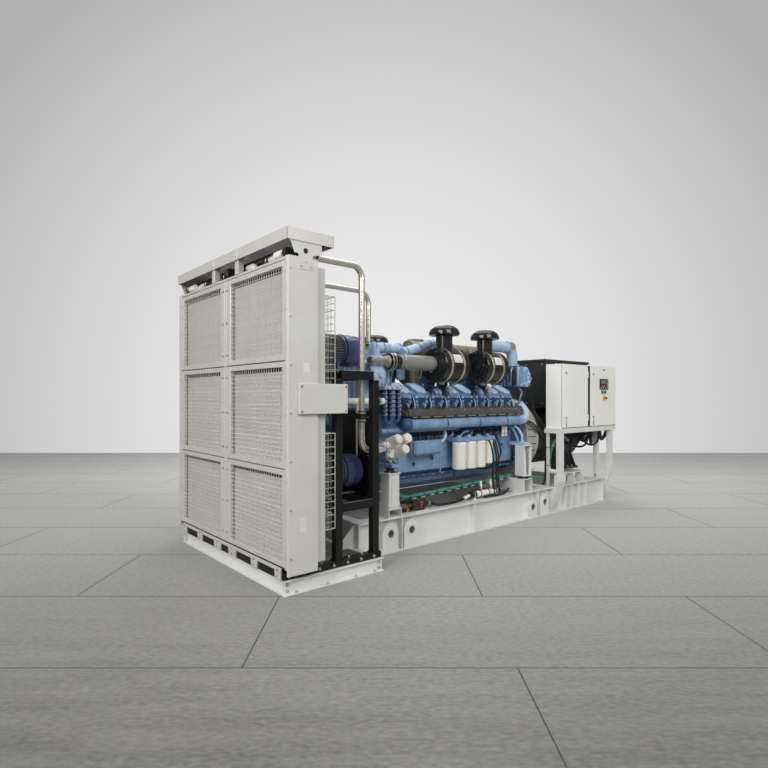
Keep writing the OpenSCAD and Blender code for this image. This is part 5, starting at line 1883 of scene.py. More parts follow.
@dataclass
class CoolantManifolds:
    """Large coolant pipe under each trunk, in bolted lengths, with its front casting.

    Attributes:
        y: Distance of the pipe from the middle.
        z: Its height above the crankshaft.
        radius: Its radius.
        front_end: Front end of the lower, thinner pipe.
    """

    y: float = 620.0
    z: float = 265.0
    radius: float = 65.0
    front_end: float = -20.0

    def build(self) -> None:
        """Build the pipe, its joints and branches, and the tubes in front of the bank."""
        s, bank = Shape(engine_frame()), Bank()
        y, z, r = -self.y, self.z, self.radius
        end = 2480
        s.tube([(300, y, z), (end - 110, y, z)], r - 3, Finish.ENGINE_BLUE, 32)
        # The rear elbow takes the lit copy of the blue: painted highlight.
        elbow = flowing([(end - 150, y, z), (end - 60, y, z + 4), (end, y, z + 30),
                         (end + 12, y + 14, z + 120), (end - 10, y + 100, z + 232)], 6)
        s.tube(elbow, r - 7, Finish.ENGINE_LIGHT, 28)
        s.ring((end - 152, y, z), REAR, 40, r + 1, 16, Finish.ENGINE_LIGHT, 32)
        for x in (905, 1490, 2030):
            # Near-black ring between each pair of flanges: painted shade in the joint.
            s.ring((x - 8, y, z), REAR, 40, r - 1, 16, Finish.SEAL_FOAM, 36)
            for dx in (-20, 9):
                s.ring((x + dx, y, z), REAR, 40, r + 1, 11, Finish.ENGINE_BLUE, 36)
        s.lathe([(20, -60), (44, -56), (58, -40), (r + 6, -24), (r + 11, -12), (r + 11, 40), (r + 4, 50),
                 (r - 4, 58)], (290, y, z), REAR, Finish.ENGINE_DEEP, 36)
        s.tube([(self.front_end, y + 60, z - 60), (1200, y + 60, z - 60)], 28, Finish.ENGINE_BLUE, 20)
        for i in range(bank.count):
            x = bank.place(i)
            s.hose([(x, -452, 250), (x, -520, 240), (x, y + 30, 240)], 4, 30, Finish.ENGINE_BLUE, 16)
            s.ring((x, -468, 247), NEAR, 20, 44, 12, Finish.ENGINE_BLUE, 20)
        for x in (60, 200, 1180):
            s.ring((x, y + 60, z - 60), REAR, 24, 36, 14, Finish.ENGINE_BLUE, 24)
            s.bolt_circle((x, y + 60, z - 60), FRONT, 32, 6, 10)
        for k in range(14):
            x = 470 + 140 * k
            s.hose([(x, -455, 190), (x + 10, -500, 160), (x - 20, -520, 120), (x + 20, -470, 96)], 4, 8,
                   (Finish.CONDUIT, Finish.ENGINE_BLUE, Finish.RUBBER)[k % 3], 8)
        s.tube([(380, -500, 168), (2300, -500, 168)], 14, Finish.ENGINE_DEEP, 12)
        s.tube([(380, -480, 128), (2300, -480, 128)], 9, Finish.RUBBER, 10)
        s.tube([(1200, -520, 140), (2300, -520, 140)], 7, Finish.CONDUIT, 8)
        s.mirrored()
        s.make("manifold_runs", stands_for="coolant_manifolds")
        self.front_tubes()

    def front_tubes(self) -> None:
        """Two U-bent tubes a side below a bolted flange, with banjo fittings along them."""
        s = Shape(engine_frame())
        y = -600
        for x0, x1, foot in ((12, 102, 290), (127, 209, 305)):
            s.tube(bent([(x0, y, 650), (x0, y, foot), (x1, y, foot), (x1, y, 650)], 38, 10), 20,
                   Finish.ENGINE_DEEP, 20)
            for z in range(370, 650, 46):
                for x in (x0, x1):
                    s.ring((x, y, z), UP, 16, 27, 10, Finish.ENGINE_BLUE, 16)
                    s.bolt((x, y - 24, z + 20), NEAR, 13)
        s.block((-12, -638, 648), (232, -422, 688), Finish.ENGINE_LIGHT, 8)
        for x in (10, 80, 150, 215):
            s.bolt((x, -626, 688), UP, 20)
            s.bolt((x, -638, 668), NEAR, 16)
        s.rod((-15, y, 525), (6, y, 525), 28, Finish.PLATED)
        for k in range(3):
            z = 420 + 70 * k
            s.block((-6, -575, z), (225, -545, z + 26), Finish.ENGINE_DEEP, 6)
        # Near-black plate behind the U-tubes: painted shade.
        s.block((10, -572, 330), (210, -556, 648), Finish.SEAL_FOAM, 3)
        s.mirrored()
        s.make("u_tubes", stands_for="front_tubes")


@dataclass
class AirIntake:
    """Two strapped canisters a side with mushroom rain caps, the intake duct and turbocharger.

    Attributes:
        y: Distance of the canisters' axis from the middle.
        z: Height of that axis above the crankshaft.
        radius: Radius of a canister.
        length: Length of a canister.
        starts: Front ends of the canisters.
        duct_at: Place across and height of the duct's axis.
    """

    y: float = 630.0
    z: float = 934.0
    radius: float = 204.0
    length: float = 404.0
    starts: tuple[float, float] = (718.0, 1452.0)
    duct_at: tuple[float, float] = (-600.0, 950.0)

    def build(self) -> None:
        """Build the near side and mirror it."""
        s = Shape(engine_frame())
        for k, x in enumerate(self.starts):
            self.canister(s, x, k)
            self.cap(s, x + 170)
            self.straps(s, x)
            self.cradle(s, x)
        s.mirrored()
        s.make("canisters", stands_for="air_filters")
        self.duct()
        self.turbo()

    def canister(self, s: Shape, x: float, k: int) -> None:
        """Spun steel body with rolled rims and a pressed front face of rings.

        Args:
            s: Shape that takes it.
            x: Front end of the canister.
            k: 0 for the first canister of a side, 1 for the second.
        """
        r, n = self.radius, self.length
        at = (x, -self.y, self.z)
        body = [(r - 40, 4), (r - 16, 0), (r - 6, 2), (r - 1, 10), (r - 2, 22), (r - 6, 26), (r - 6, n - 26),
                (r - 2, n - 22), (r - 1, n - 10), (r - 6, n - 2), (r - 22, n), (40, n - 6)]
        face = [(6, 34), (26, 32), (30, 22), (52, 20), (58, 30), (78, 32), (84, 16), (112, 14), (120, 26),
                (142, 24), (150, 8)] if k else [(6, 6), (100, 6), (108, 16), (124, 16), (132, 6), (150, 6)]
        s.lathe(face + body, at, REAR, Finish.FILTER_BLACK, 64)
        if k:
            s.bolt_circle((x + 6, -self.y, self.z), FRONT, 174, 8, 13)
            s.lathe([(24, 0), (24, 8), (14, 14)], (x + 34, -self.y, self.z), FRONT, Finish.RUBBER, 24)
        else:
            s.lathe([(9, 0), (9, 10)], (x + 2, -self.y - 40, self.z + 150), FRONT, Finish.BRASS, 12)

    def cap(self, s: Shape, x: float) -> None:
        """Neck and mushroom cap: domed top, deep brim with a rolled edge and a shadowed throat.

        Args:
            s: Shape that takes them.
            x: Place of the neck's axis.
        """
        foot = self.z + self.radius - 26
        s.lathe([(97, 0), (97, 1270 - foot), (104, 1276 - foot), (104, 1290 - foot)], (x, -self.y, foot), UP,
                Finish.FILTER_BLACK, 48)
        s.ring((x, -self.y, foot + 30), UP, 96, 101, 16, Finish.FILTER_BLACK, 48)
        dome = [(100, 1296), (150, 1288), (172, 1284), (180, 1290), (180, 1314), (176, 1328), (171, 1331),
                (169, 1340), (160, 1355), (145, 1369), (128, 1379), (121, 1380), (116, 1386), (90, 1394),
                (50, 1399), (1, 1400)]
        s.lathe([(r, z - 1280) for r, z in dome], (x, -self.y, 1280), UP, Finish.FILTER_BLACK, 64)

    def straps(self, s: Shape, x: float) -> None:
        """Two band straps with a bolted joint at the bottom, and the blank plate between them.

        Args:
            s: Shape that takes them.
            x: Front end of the canister.
        """
        r = self.radius - 5
        for at in (x + 92, x + 292):
            s.ring((at, -self.y, self.z), REAR, r - 2, r + 4, 30, Finish.STRAP_STEEL, 64)
            s.ring((at + 6, -self.y, self.z), REAR, r + 2, r + 6, 4, Finish.STRAP_STEEL, 64)
            s.block((at - 4, -self.y - 46, self.z - r - 22), (at + 34, -self.y - 14, self.z - r + 6),
                    Finish.STRAP_STEEL, 3)
            s.bolt((at + 15, -self.y - 46, self.z - r - 12), NEAR, 20)
            s.rod((at + 15, -self.y - 62, self.z - r - 12), (at + 15, -self.y + 10, self.z - r - 12), 5,
                  Finish.PLATED)
        a0, steps = math.radians(8), 8
        arc = [a0 + math.radians(30) * i / steps for i in range(steps + 1)]
        points = [(x + 138 + 140 * e, -self.y - (r + 0.6) * math.cos(a), self.z + (r + 0.6) * math.sin(a))
                  for e in (0, 1) for a in arc]
        n = steps + 1
        s.add(points, [(i, i + 1, n + i + 1, n + i) for i in range(steps)], Finish.LABEL_BLANK)

    def cradle(self, s: Shape, x: float) -> None:
        """Plate brackets and saddle under a canister, with dark hoses in the gap below.

        Args:
            s: Shape that takes them.
            x: Front end of the canister.
        """
        for at in (x + 90, x + 300):
            s.prism([(-400, 470), (-480, 520), (-560, 742), (-480, 770), (-400, 860), (-380, 800)], at - 5,
                    at + 9, "x", Finish.ENGINE_DEEP)
            s.block((at - 8, -560, 712), (at + 12, -440, 742), Finish.RUBBER, 4)
        for k in range(4):
            at = x + 60 + 90 * k
            s.hose([(at, -420, 640), (at + 20, -500, 690), (at - 10, -560, 660), (at + 14, -590, 590)], 4,
                   (9, 13, 7, 11)[k],
                   (Finish.RUBBER, Finish.ENGINE_BLUE, Finish.CONDUIT, Finish.STRAP_STEEL)[k], 8)

    def duct(self) -> None:
        """Grey duct with its black mouth and clamp bands, and the short bare neck it slips over."""
        s = Shape(engine_frame())
        (y, z), start, end = self.duct_at, 46, self.starts[0]
        run = end - start
        s.lathe([(70, 0), (82, 4), (90, 12), (92, 40), (90, 66), (84, 76), (80, 96), (78, 150)],
                (start, y, z), REAR, Finish.FILTER_BLACK, 48)
        s.lathe([(76, 150), (80, 210), (85, 250), (85, run - 60), (89, run - 50), (89, run - 20),
                 (85, run - 10), (85, run)], (start, y, z), REAR, Finish.DUCT_GREY, 48)
        for x in (start + 16, start + 52, start + 196, end - 34):
            s.ring((x, y, z), REAR, 80, 92 if x < 200 else 89, 12, Finish.STRAP_STEEL, 48)
            s.block((x, y - 22, z - 102), (x + 12, y + 2, z - 86), Finish.STRAP_STEEL, 2)
            s.rod((x + 6, y - 36, z - 95), (x + 6, y + 12, z - 95), 4, Finish.PLATED, 8)
        s.lathe([(36, 0), (46, 8), (46, 34), (40, 40), (40, 66), (52, 80), (66, 100)], (-54, y, z), REAR,
                Finish.CAST_SILVER, 40)
        s.ring((-16, y, z), REAR, 44, 54, 14, Finish.STRAP_STEEL, 40)
        s.mirrored()
        s.make("intake_run", stands_for="intake_ducts")

    def turbo(self) -> None:
        """Bare cast bearing housing, and the painted volute with its pipe to the cooler."""
        s = Shape(engine_frame())
        y, z = self.duct_at
        s.lathe([(30, 0), (48, 4), (58, 16), (58, 34), (50, 42), (46, 96), (56, 108), (56, 148), (40, 150)],
                (-200, y, z), REAR, Finish.CAST_SILVER, 40)
        s.bolt_circle((-196, y, z), FRONT, 42, 6, 13)
        s.lathe([(30, 0), (62, 6), (88, 22), (94, 60), (94, 118), (84, 150), (70, 172), (60, 205)],
                (-70, -628, 800), FAR, Finish.ENGINE_LIGHT, 40)
        s.lathe([(20, 0), (34, 4), (34, 16), (24, 20), (24, 26)], (-70, -626, 800), NEAR,
                Finish.ENGINE_LIGHT, 24)
        s.bolt_circle((-70, -612, 800), NEAR, 76, 8, 15, Finish.ENGINE_LIGHT, 0.5)
        s.hose([(-120, -598, 890), (-120, -540, 892), (-120, -480, 890), (-120, -424, 880)], 6, 68,
               Finish.ENGINE_LIGHT, 28)
        s.ring((-120, -560, 890), FAR, 50, 72, 16, Finish.ENGINE_BLUE, 32)
        s.mirrored()
        s.make("turbo_castings", stands_for="turbochargers")


@dataclass
class ChargeAir:
    """Charge air cooler with its castings, and the tubes that cross to both banks."""

    def build(self) -> None:
        """Build the cooler, the air tubes, the exhaust and the rear covers."""
        self.cooler()
        self.tubes()
        self.exhaust()
        self.rear()

    def cooler(self) -> None:
        """Cast cooler box with ribs, flange and cover screws."""
        s = Shape(engine_frame())
        # The cooler takes the lit copy of the blue: painted light on the top of the engine's front.
        s.block((-148, -418, 422), (0, 418, 968), Finish.ENGINE_LIGHT, 26)
        s.block((-2, -418, 520), (250, 418, 966), Finish.ENGINE_LIGHT, 18)
        s.block((-60, -436, 880), (250, 436, 905), Finish.ENGINE_LIGHT, 6)
        for y in range(-360, 361, 90):
            s.block((-157, y - 9, 450), (-144, y + 9, 940), Finish.ENGINE_LIGHT, 4)
            for z in (944, 446):
                s.bolt((-149, y + 45, z), FRONT, 18)
        for side in (-1, 1):
            for x in range(-40, 240, 66):
                s.bolt((x, side * 427, 905), UP, 20)
                y0, y1 = sorted((side * 416, side * 430))
                s.block((x + 22, y0, 540), (x + 36, y1, 878), Finish.ENGINE_BLUE, 4)
            s.hose([(60, side * 430, 620), (110, side * 452, 640), (180, side * 440, 720),
                    (240, side * 400, 700)], 5, 14, Finish.ENGINE_BLUE, 10)
            s.hose([(-20, side * 432, 560), (60, side * 462, 540), (170, side * 452, 560),
                    (245, side * 420, 520)], 5, 10, Finish.RUBBER, 10)
        s.make("cooler_casting", stands_for="charge_air_cooler")

    def tubes(self) -> None:
        """Air tubes with beaded ends and flanges over the banks, and the pipe's landing."""
        s = Shape(engine_frame())
        s.block((160, -150, 966), (330, 150, 1098), Finish.ENGINE_LIGHT, 20)
        s.lathe([(70, 0), (70, 14), (44, 18), (42, 40)], (244, -30, 1094), UP, Finish.ENGINE_LIGHT, 32)
        half = Shape(s.origin)
        half.lathe([(50, 0), (58, 8), (58, 40), (52, 52), (50, 90), (57, 104), (58, 150), (55, 164),
                    (58, 180), (58, 232), (50, 246), (50, 280), (57, 292), (58, 330), (54, 350), (56, 390),
                    (50, 430)], (160, -200, 1140), REAR, Finish.ENGINE_LIGHT, 32)
        half.lathe([(20, -14), (50, -8), (58, 0)], (160, -200, 1140), REAR, Finish.ENGINE_LIGHT, 32)
        for x in (176, 300, 560):
            half.ring((x, -200, 1140), REAR, 50, 64, 16, Finish.ENGINE_BLUE, 32)
        half.block((160, -258, 968), (238, -142, 1140), Finish.ENGINE_LIGHT, 14)
        low, high = Vector((540, -300, 1088)), Vector((1020, -300, 1222))
        along = (high - low).normalized()
        half.hose([low, low.lerp(high, 0.33), low.lerp(high, 0.7), high, (1052, -300, 1190),
                   (1054, -300, 1100), (1050, -300, 800)], 6, 56, Finish.ENGINE_LIGHT, 32)
        half.lathe([(20, -8), (50, -2), (56, 4)], low, along, Finish.ENGINE_LIGHT, 32)
        for part in (0.08, 0.5, 0.86):
            half.ring(low.lerp(high, part), along, 48, 61, 18, Finish.ENGINE_BLUE, 32)
        half.rod((570, -190, 1110), (570, -300, 1110), 44, Finish.ENGINE_LIGHT, 28, 4)
        half.block((994, -328, 792), (1056, -272, 830), Finish.ENGINE_BLUE, 8)
        half.mirrored()
        s.join(half)
        s.make("air_tubes", stands_for="charge_air_pipes")

    def exhaust(self) -> None:
        """Lagged exhaust pipe on the centre line: tan sheet sections with bands, on risers."""
        s = Shape(engine_frame())
        z = 1180
        s.tube([(902, 0, z), (2250, 0, z)], 96, Finish.HEAT_SHIELD, 40)
        for x in range(910, 2250, 268):
            s.ring((x, 0, z), REAR, 90, 100, 22, Finish.HEAT_SHIELD, 40)
            s.ring((x + 5, 0, z), REAR, 96, 102, 10, Finish.STRAP_STEEL, 40)
        s.lathe([(30, 0), (80, 1), (95, 8)], (901, 0, z), REAR, Finish.HEAT_SHIELD, 40)
        for i in range(1, 4):
            x = Bank().place(2 * i + 0.5)
            s.rod((x, 0, 442), (x, 0, z - 60), 60, Finish.HEAT_SHIELD, 28, 3)
            s.ring((x, 0, 700), UP, 50, 78, 18, Finish.CAST_SILVER, 28)
        s.make("exhaust_run", stands_for="exhaust_pipe")

    def rear(self) -> None:
        """Rear elbow with its silver sleeve, and the faceted cover under it with bosses."""
        s = Shape(engine_frame())
        x, y = 2400, -450
        s.tube(bent([(x - 500, y, 1240), (x + 30, y, 1240), (x + 30, y, 985)], 120, 16), 73,
               Finish.ENGINE_LIGHT, 36)
        s.ring((x - 96, y, 1240), REAR, 60, 79, 84, Finish.STRAP_STEEL, 36)
        for dx in (-100, -8):
            s.ring((x + dx, y, 1240), REAR, 60, 84, 14, Finish.ENGINE_BLUE, 36)
        s.ring((x + 30, y, 985), UP, 60, 98, 20, Finish.ENGINE_LIGHT, 36)
        s.bolt_circle((x + 30, y, 1005), UP, 88, 8, 18, ahead=0.5)
        # Cover body in the shaded copy and its outward face in the lit copy of the blue: painted shade and light.
        outline = [(x - 78, 702), (x + 176, 702), (x + 226, 762), (x + 226, 898), (x + 148, 984),
                   (x - 78, 984)]
        s.prism(outline, -600, -352, "y", Finish.ENGINE_DEEP)
        inset = [(x - 70, 712), (x + 172, 712), (x + 214, 768), (x + 214, 894), (x + 142, 974), (x - 70, 974)]
        s.prism(inset, -618, -598, "y", Finish.ENGINE_LIGHT)
        s.prism([(x - 50, 740), (x + 60, 724), (x + 150, 774), (x + 120, 880), (x + 20, 956), (x - 50, 926)],
                -628, -616, "y", Finish.ENGINE_BLUE)
        for px in range(int(x) - 60, int(x) + 180, 48):
            s.block((px, -604, 984), (px + 16, -360, 990), Finish.ENGINE_BLUE, 2)
        for py in range(-580, -350, 52):
            s.block((x - 86, py, 716), (x - 77, py + 22, 970), Finish.ENGINE_BLUE, 3)
        s.hose([(x - 90, -590, 960), (x - 110, -600, 880), (x - 100, -590, 790), (x - 84, -560, 720)], 5, 11,
               Finish.RUBBER, 10)
        s.hose([(x - 88, -540, 970), (x - 120, -545, 900), (x - 112, -540, 820), (x - 84, -500, 740)], 5, 8,
               Finish.STRAP_STEEL, 10)
        for a, b, wide in (((x - 60, 720), (x + 210, 790), 16), ((x - 20, 960), (x + 200, 860), 14),
                           ((x + 60, 720), (x + 60, 970), 12)):
            s.rod((a[0], -622, a[1]), (b[0], -622, b[1]), wide * 0.7, Finish.ENGINE_LIGHT, 10)
        for px, pz in ((x - 50, 730), (x + 60, 726), (x + 170, 740), (x + 210, 820), (x + 140, 930),
                       (x, 960)):
            s.lathe([(22, 0), (22, 10), (14, 12), (14, 20)], (px, -620, pz), NEAR, Finish.ENGINE_BLUE, 16)
        s.prism([(x - 74, 702), (x - 6, 702), (x - 6, 560), (x - 74, 470)], -470, -385, "y",
                Finish.ENGINE_DEEP)
        for k in range(3):
            s.hose([(x + 30 + 40 * k, -560, 702), (x + 40 + 40 * k, -600, 640), (x + 20 + 30 * k, -590, 560),
                    (x + 20, -560, 470)], 5, 12 - 2 * k,
                   (Finish.ENGINE_BLUE, Finish.RUBBER, Finish.CONDUIT)[k], 10)
        s.mirrored()
        s.make("rear_covers", stands_for="rear_elbow")


@dataclass
class Filters:
    """White spin-on oil filters, the cream coolant filters in front and the controller.

    Attributes:
        half: Half width of the crankcase that they hang on.
    """

    half: float = 450.0

    def build(self) -> None:
        """Build the filter rows, the controller and the loose lines near them."""
        self.spin_ons()
        self.front()
        self.controller()
        self.lines()

    def can(self, s: Shape, base: Point, along: Point, radius: float, length: float) -> None:
        """Deep-drawn canister: rounded closed end at the base, a rolled seam at the other end.

        Args:
            s: Shape that takes it.
            base: Middle of the closed end.
            along: Direction from there to the seam.
            radius: Its radius.
            length: Its length.
        """
        r, n = radius, length
        s.lathe([(6, 2), (r * 0.45, 0), (r * 0.8, 4), (r * 0.95, 14), (r, 30), (r, n - 34), (r + 2, n - 28),
                 (r + 2, n - 16), (r - 3, n - 10), (r - 3, n)], base, along, Finish.FILTER_WHITE, 40)

    def spin_ons(self) -> None:
        """Three large filters and a smaller one under their blue header."""
        s = Shape(engine_frame())
        for x in (1190, 1370, 1550):
            self.can(s, (x, -598, -302), UP, 86, 336)
        self.can(s, (1722, -600, -268), UP, 62, 300)
        s.block((1104, -668, 34), (1794, -self.half, 78), Finish.ENGINE_BLUE, 10)
        for x in range(1130, 1790, 60):
            s.bolt((x, -640, 78), UP, 20, Finish.ENGINE_BLUE)
        for x in (1190, 1370, 1550, 1722):
            s.lathe([(60, 0), (60, 8), (34, 12), (30, 30)], (x, -590, 78), UP, Finish.ENGINE_BLUE, 28)
        s.hose([(1240, -560, 90), (1290, -580, 140), (1400, -560, 150), (1480, -500, 120)], 5, 12,
               Finish.ENGINE_BLUE, 10)
        s.make("oil_filters", stands_for="spin_on_filters")

    def front(self) -> None:
        """Cream branch pipe with its block, and three canisters that point out and up."""
        s = Shape(engine_frame())
        y, z = -640, 62
        s.rod((-58, y, z), (248, y, z), 39, Finish.FILTER_WHITE, 32, 6)
        for x in (-40, 120):
            s.ring((x, y, z), REAR, 34, 44, 14, Finish.STRAP_STEEL if x < 0 else Finish.FILTER_WHITE, 32)
        s.block((152, y + 2, z - 40), (243, -self.half, z + 26), Finish.FILTER_WHITE, 12)
        s.mirrored()
        s.block((22, y + 1, -84), (248, y + 68, z), Finish.FILTER_WHITE, 14)
        lean = Vector((0, -math.sin(math.radians(70)), math.cos(math.radians(70))))
        for x, foot in ((58, 76), (195, 79), (159, -37)):
            tip = Vector((x, -600, foot)) + lean * 190
            self.can(s, tip, -lean, 54, 186)
            s.lathe([(20, 0), (20, 3)], tip + lean * 0.5, lean, Finish.FILTER_WHITE, 24)
        for x, at in ((36, -10), (234, 30), (36, -66), (234, -66)):
            s.bolt((x, y, at), NEAR, 16)
        s.make("coolant_filters", stands_for="front_filters")

    def controller(self) -> None:
        """Rounded controller box with a flange, cable glands and the bent tube at its rear."""
        s = Shape(engine_frame())
        s.block((460, -598, -88), (902, -self.half - 14, 78), Finish.ENGINE_BLUE, 22)
        s.block((451, -540, -90), (911, -516, 80), Finish.ENGINE_BLUE, 8)
        for x in (474, 888):
            for z in (-70, 60):
                s.bolt((x, -540, z), NEAR, 16, Finish.ENGINE_LIGHT)
        for x in range(500, 880, 62):
            s.lathe([(17, 0), (17, 14), (13, 16), (12, 26)], (x, -556, 78), UP, Finish.RUBBER, 16)
            s.hose([(x, -556, 100), (x + 8, -550, 126), (x + 24, -520, 150), (x + 30, -480, 170)], 4, 8,
                   Finish.CONDUIT, 8)
        s.hose([(905, -560, 40), (950, -566, 70), (985, -560, 120), (1010, -520, 176)], 6, 20,
               Finish.ENGINE_LIGHT, 14)
        s.make("controller_box", stands_for="engine_controller")

    def lines(self) -> None:
        """Wiring and hoses that run down the rear of the engine to the skid, held at both ends."""
        s = Shape(engine_frame())
        skid = -690
        for k, (x, y, r, kind) in enumerate(((1660, -640, 13, Finish.CONDUIT),
                                             (1780, -600, 11, Finish.CONDUIT),
                                             (1850, -575, 9, Finish.RUBBER))):
            s.hose([(x - 60, y + 20, 120), (x + 30, y - 10, 20), (x + 90, y - 20, -180),
                    (x + 130, y + 10, -420), (x + 150, y, skid + 10)], 6, r, kind, 10)
        s.hose([(1790, -560, 160), (1900, -590, 60), (1990, -600, -130), (1900, -600, -270),
                (1760, -570, -330), (1700, -480, -340)], 6, 12, Finish.CONDUIT, 10)
        for x in (2080, 2140):
            s.rod((x, -560, 60), (x, -560, 190), 20, Finish.FILTER_WHITE, 16)
            s.ring((x, -560, 90), UP, 18, 24, 14, Finish.STRAP_STEEL, 20)
        s.hose([(2240, -500, 180), (2290, -560, 150), (2330, -600, 40), (2336, -620, -28)], 6, 16,
               Finish.ENGINE_BLUE, 12)
        for k in range(9):
            x = 1100 + 118 * k
            s.hose([(x, -470, 60), (x + 20, -520, 100), (x + 50, -530, 140), (x + 46, -480, 190)], 4, 11,
                   (Finish.ENGINE_BLUE, Finish.RUBBER, Finish.ENGINE_DEEP)[k % 3], 8)
        s.make("engine_lines")


# ---------------------------------------------------------------- skid


@dataclass
class Skid:
    """Welds, lug rims and bolts of the main skid, the engine's beams and the radiator's skid.

    Attributes:
        web: Outer face of a main beam's web.
        flange: Thickness of its flanges.
        lugs: Places of the lifting lugs along the skid, and the heights of their holes.
        stiffeners: Places of the web stiffeners along the skid.
    """

    web: float = 654.0
    flange: float = 13.0
    lugs: tuple[tuple[float, float], ...] = ((422, 200), (722, 200), (2953, 150), (3235, 185))
    stiffeners: tuple[float, ...] = (6, 585, 1767, 3095, 3783, 3934, 4133, 4335, 4845)

    def build(self) -> None:
        """Build the parts of both skids."""
        self.welds()
        self.lug_rims()
        self.beam_caps()
        self.radiator_skid()

    def welds(self) -> None:
        """Fillet welds along the webs and round every stiffener."""
        low, high = corners("skid_beams")
        s = Shape(frame_at("skid_beams"))
        length, y, z0, z1 = high.x - low.x, -self.web, self.flange, high.z - self.flange
        for z in (z0 + 1, z1 - 1):
            s.rod((4, y, z), (length - 4, y, z), 5.5, Finish.SKID_PAINT, 8)
        for x in self.stiffeners:
            for side in (-7, 7):
                s.rod((x + side, y - 1, z0 + 4), (x + side, y - 1, z1 - 4), 5, Finish.SKID_PAINT, 8)
                s.rod((x + side, y - 4, z0), (x + side, y - 74, z0), 4, Finish.SKID_PAINT, 8)
                s.rod((x + side, y - 4, z1), (x + side, y - 74, z1), 4, Finish.SKID_PAINT, 8)
        s.mirrored()
        for k in range(12):
            x = 240 + 252 * k
            for y in (-596, 596):
                s.bolt((x, y, 17), UP, 18)
        s.make("skid_welds")

    def lug_rims(self) -> None:
        """Cheek plates, a machined bore and a round weld on each lifting lug."""
        s = Shape(frame_at("lifting_lugs", x=self.reach() - self.lugs[0][0]))
        for x, z in self.lugs:
            y = -self.web - 75
            s.ring((x, y + 1, z), NEAR, 38, 66, 7, Finish.SKID_PAINT, 40)
            s.ring((x, y - 6, z), NEAR, 37, 43, 2, Finish.CAST_SILVER, 40)
            s.lathe([(38.5, 0), (38.5, 74), (36.5, 74), (36.5, 0)], (x, y, z), FAR, Finish.CAST_SILVER, 32,
                    closed=True)
            for side in (-1, 1):
                s.rod((x + side * 108, y + 3, self.flange + 2), (x + side * 108, -self.web, self.flange + 2),
                      5, Finish.SKID_PAINT, 8)
        s.mirrored()
        s.make("lug_rims")

    def reach(self) -> float:
        """Radius of a lug, which puts the first one's centre that far behind its node's end."""
        low, high = corners("lifting_lugs")
        return (high.x - low.x - (self.lugs[-1][0] - self.lugs[0][0])) / 2

    def beam_caps(self) -> None:
        """Weld lines and bolts of the two hollow beams under the engine."""
        half = corners("engine_beams")[1].y
        s = Shape(frame_at("engine_beams"))
        for x, top in ((90, 450), (90 + 2364, 536)):
            for side in (-90, 90):
                s.rod((x + side, -half + 4, 361), (x + side, half - 4, 361), 5, Finish.SKID_PAINT, 8)
            for y in (-half + 26, half - 26):
                for side in (-66, 66):
                    s.bolt((x + side, y, top), UP, 22)
        s.make("beam_welds")

    def radiator_skid(self) -> None:
        """Weld lines, splice bolts and anchor bolts of the radiator's skid."""
        low, high = corners("radiator_skid_sides")
        s = Shape(radiator_frame())
        y, length = -high.y, high.x - low.x
        web = y + 29
        for z in (10, 110):
            s.rod((6, web, z), (length - 6, web, z), 4, Finish.SKID_PAINT, 8)
        for x in (120, 430, 740, 960):
            s.bolt((x, y + 14, 10), UP, 20)
        for z in (34, 86):
            s.bolt((length - 40, web - 1, z), NEAR, 20)
            s.bolt((40, web - 1, z), NEAR, 20)
        s.mirrored()
        s.make("radiator_skid_welds")


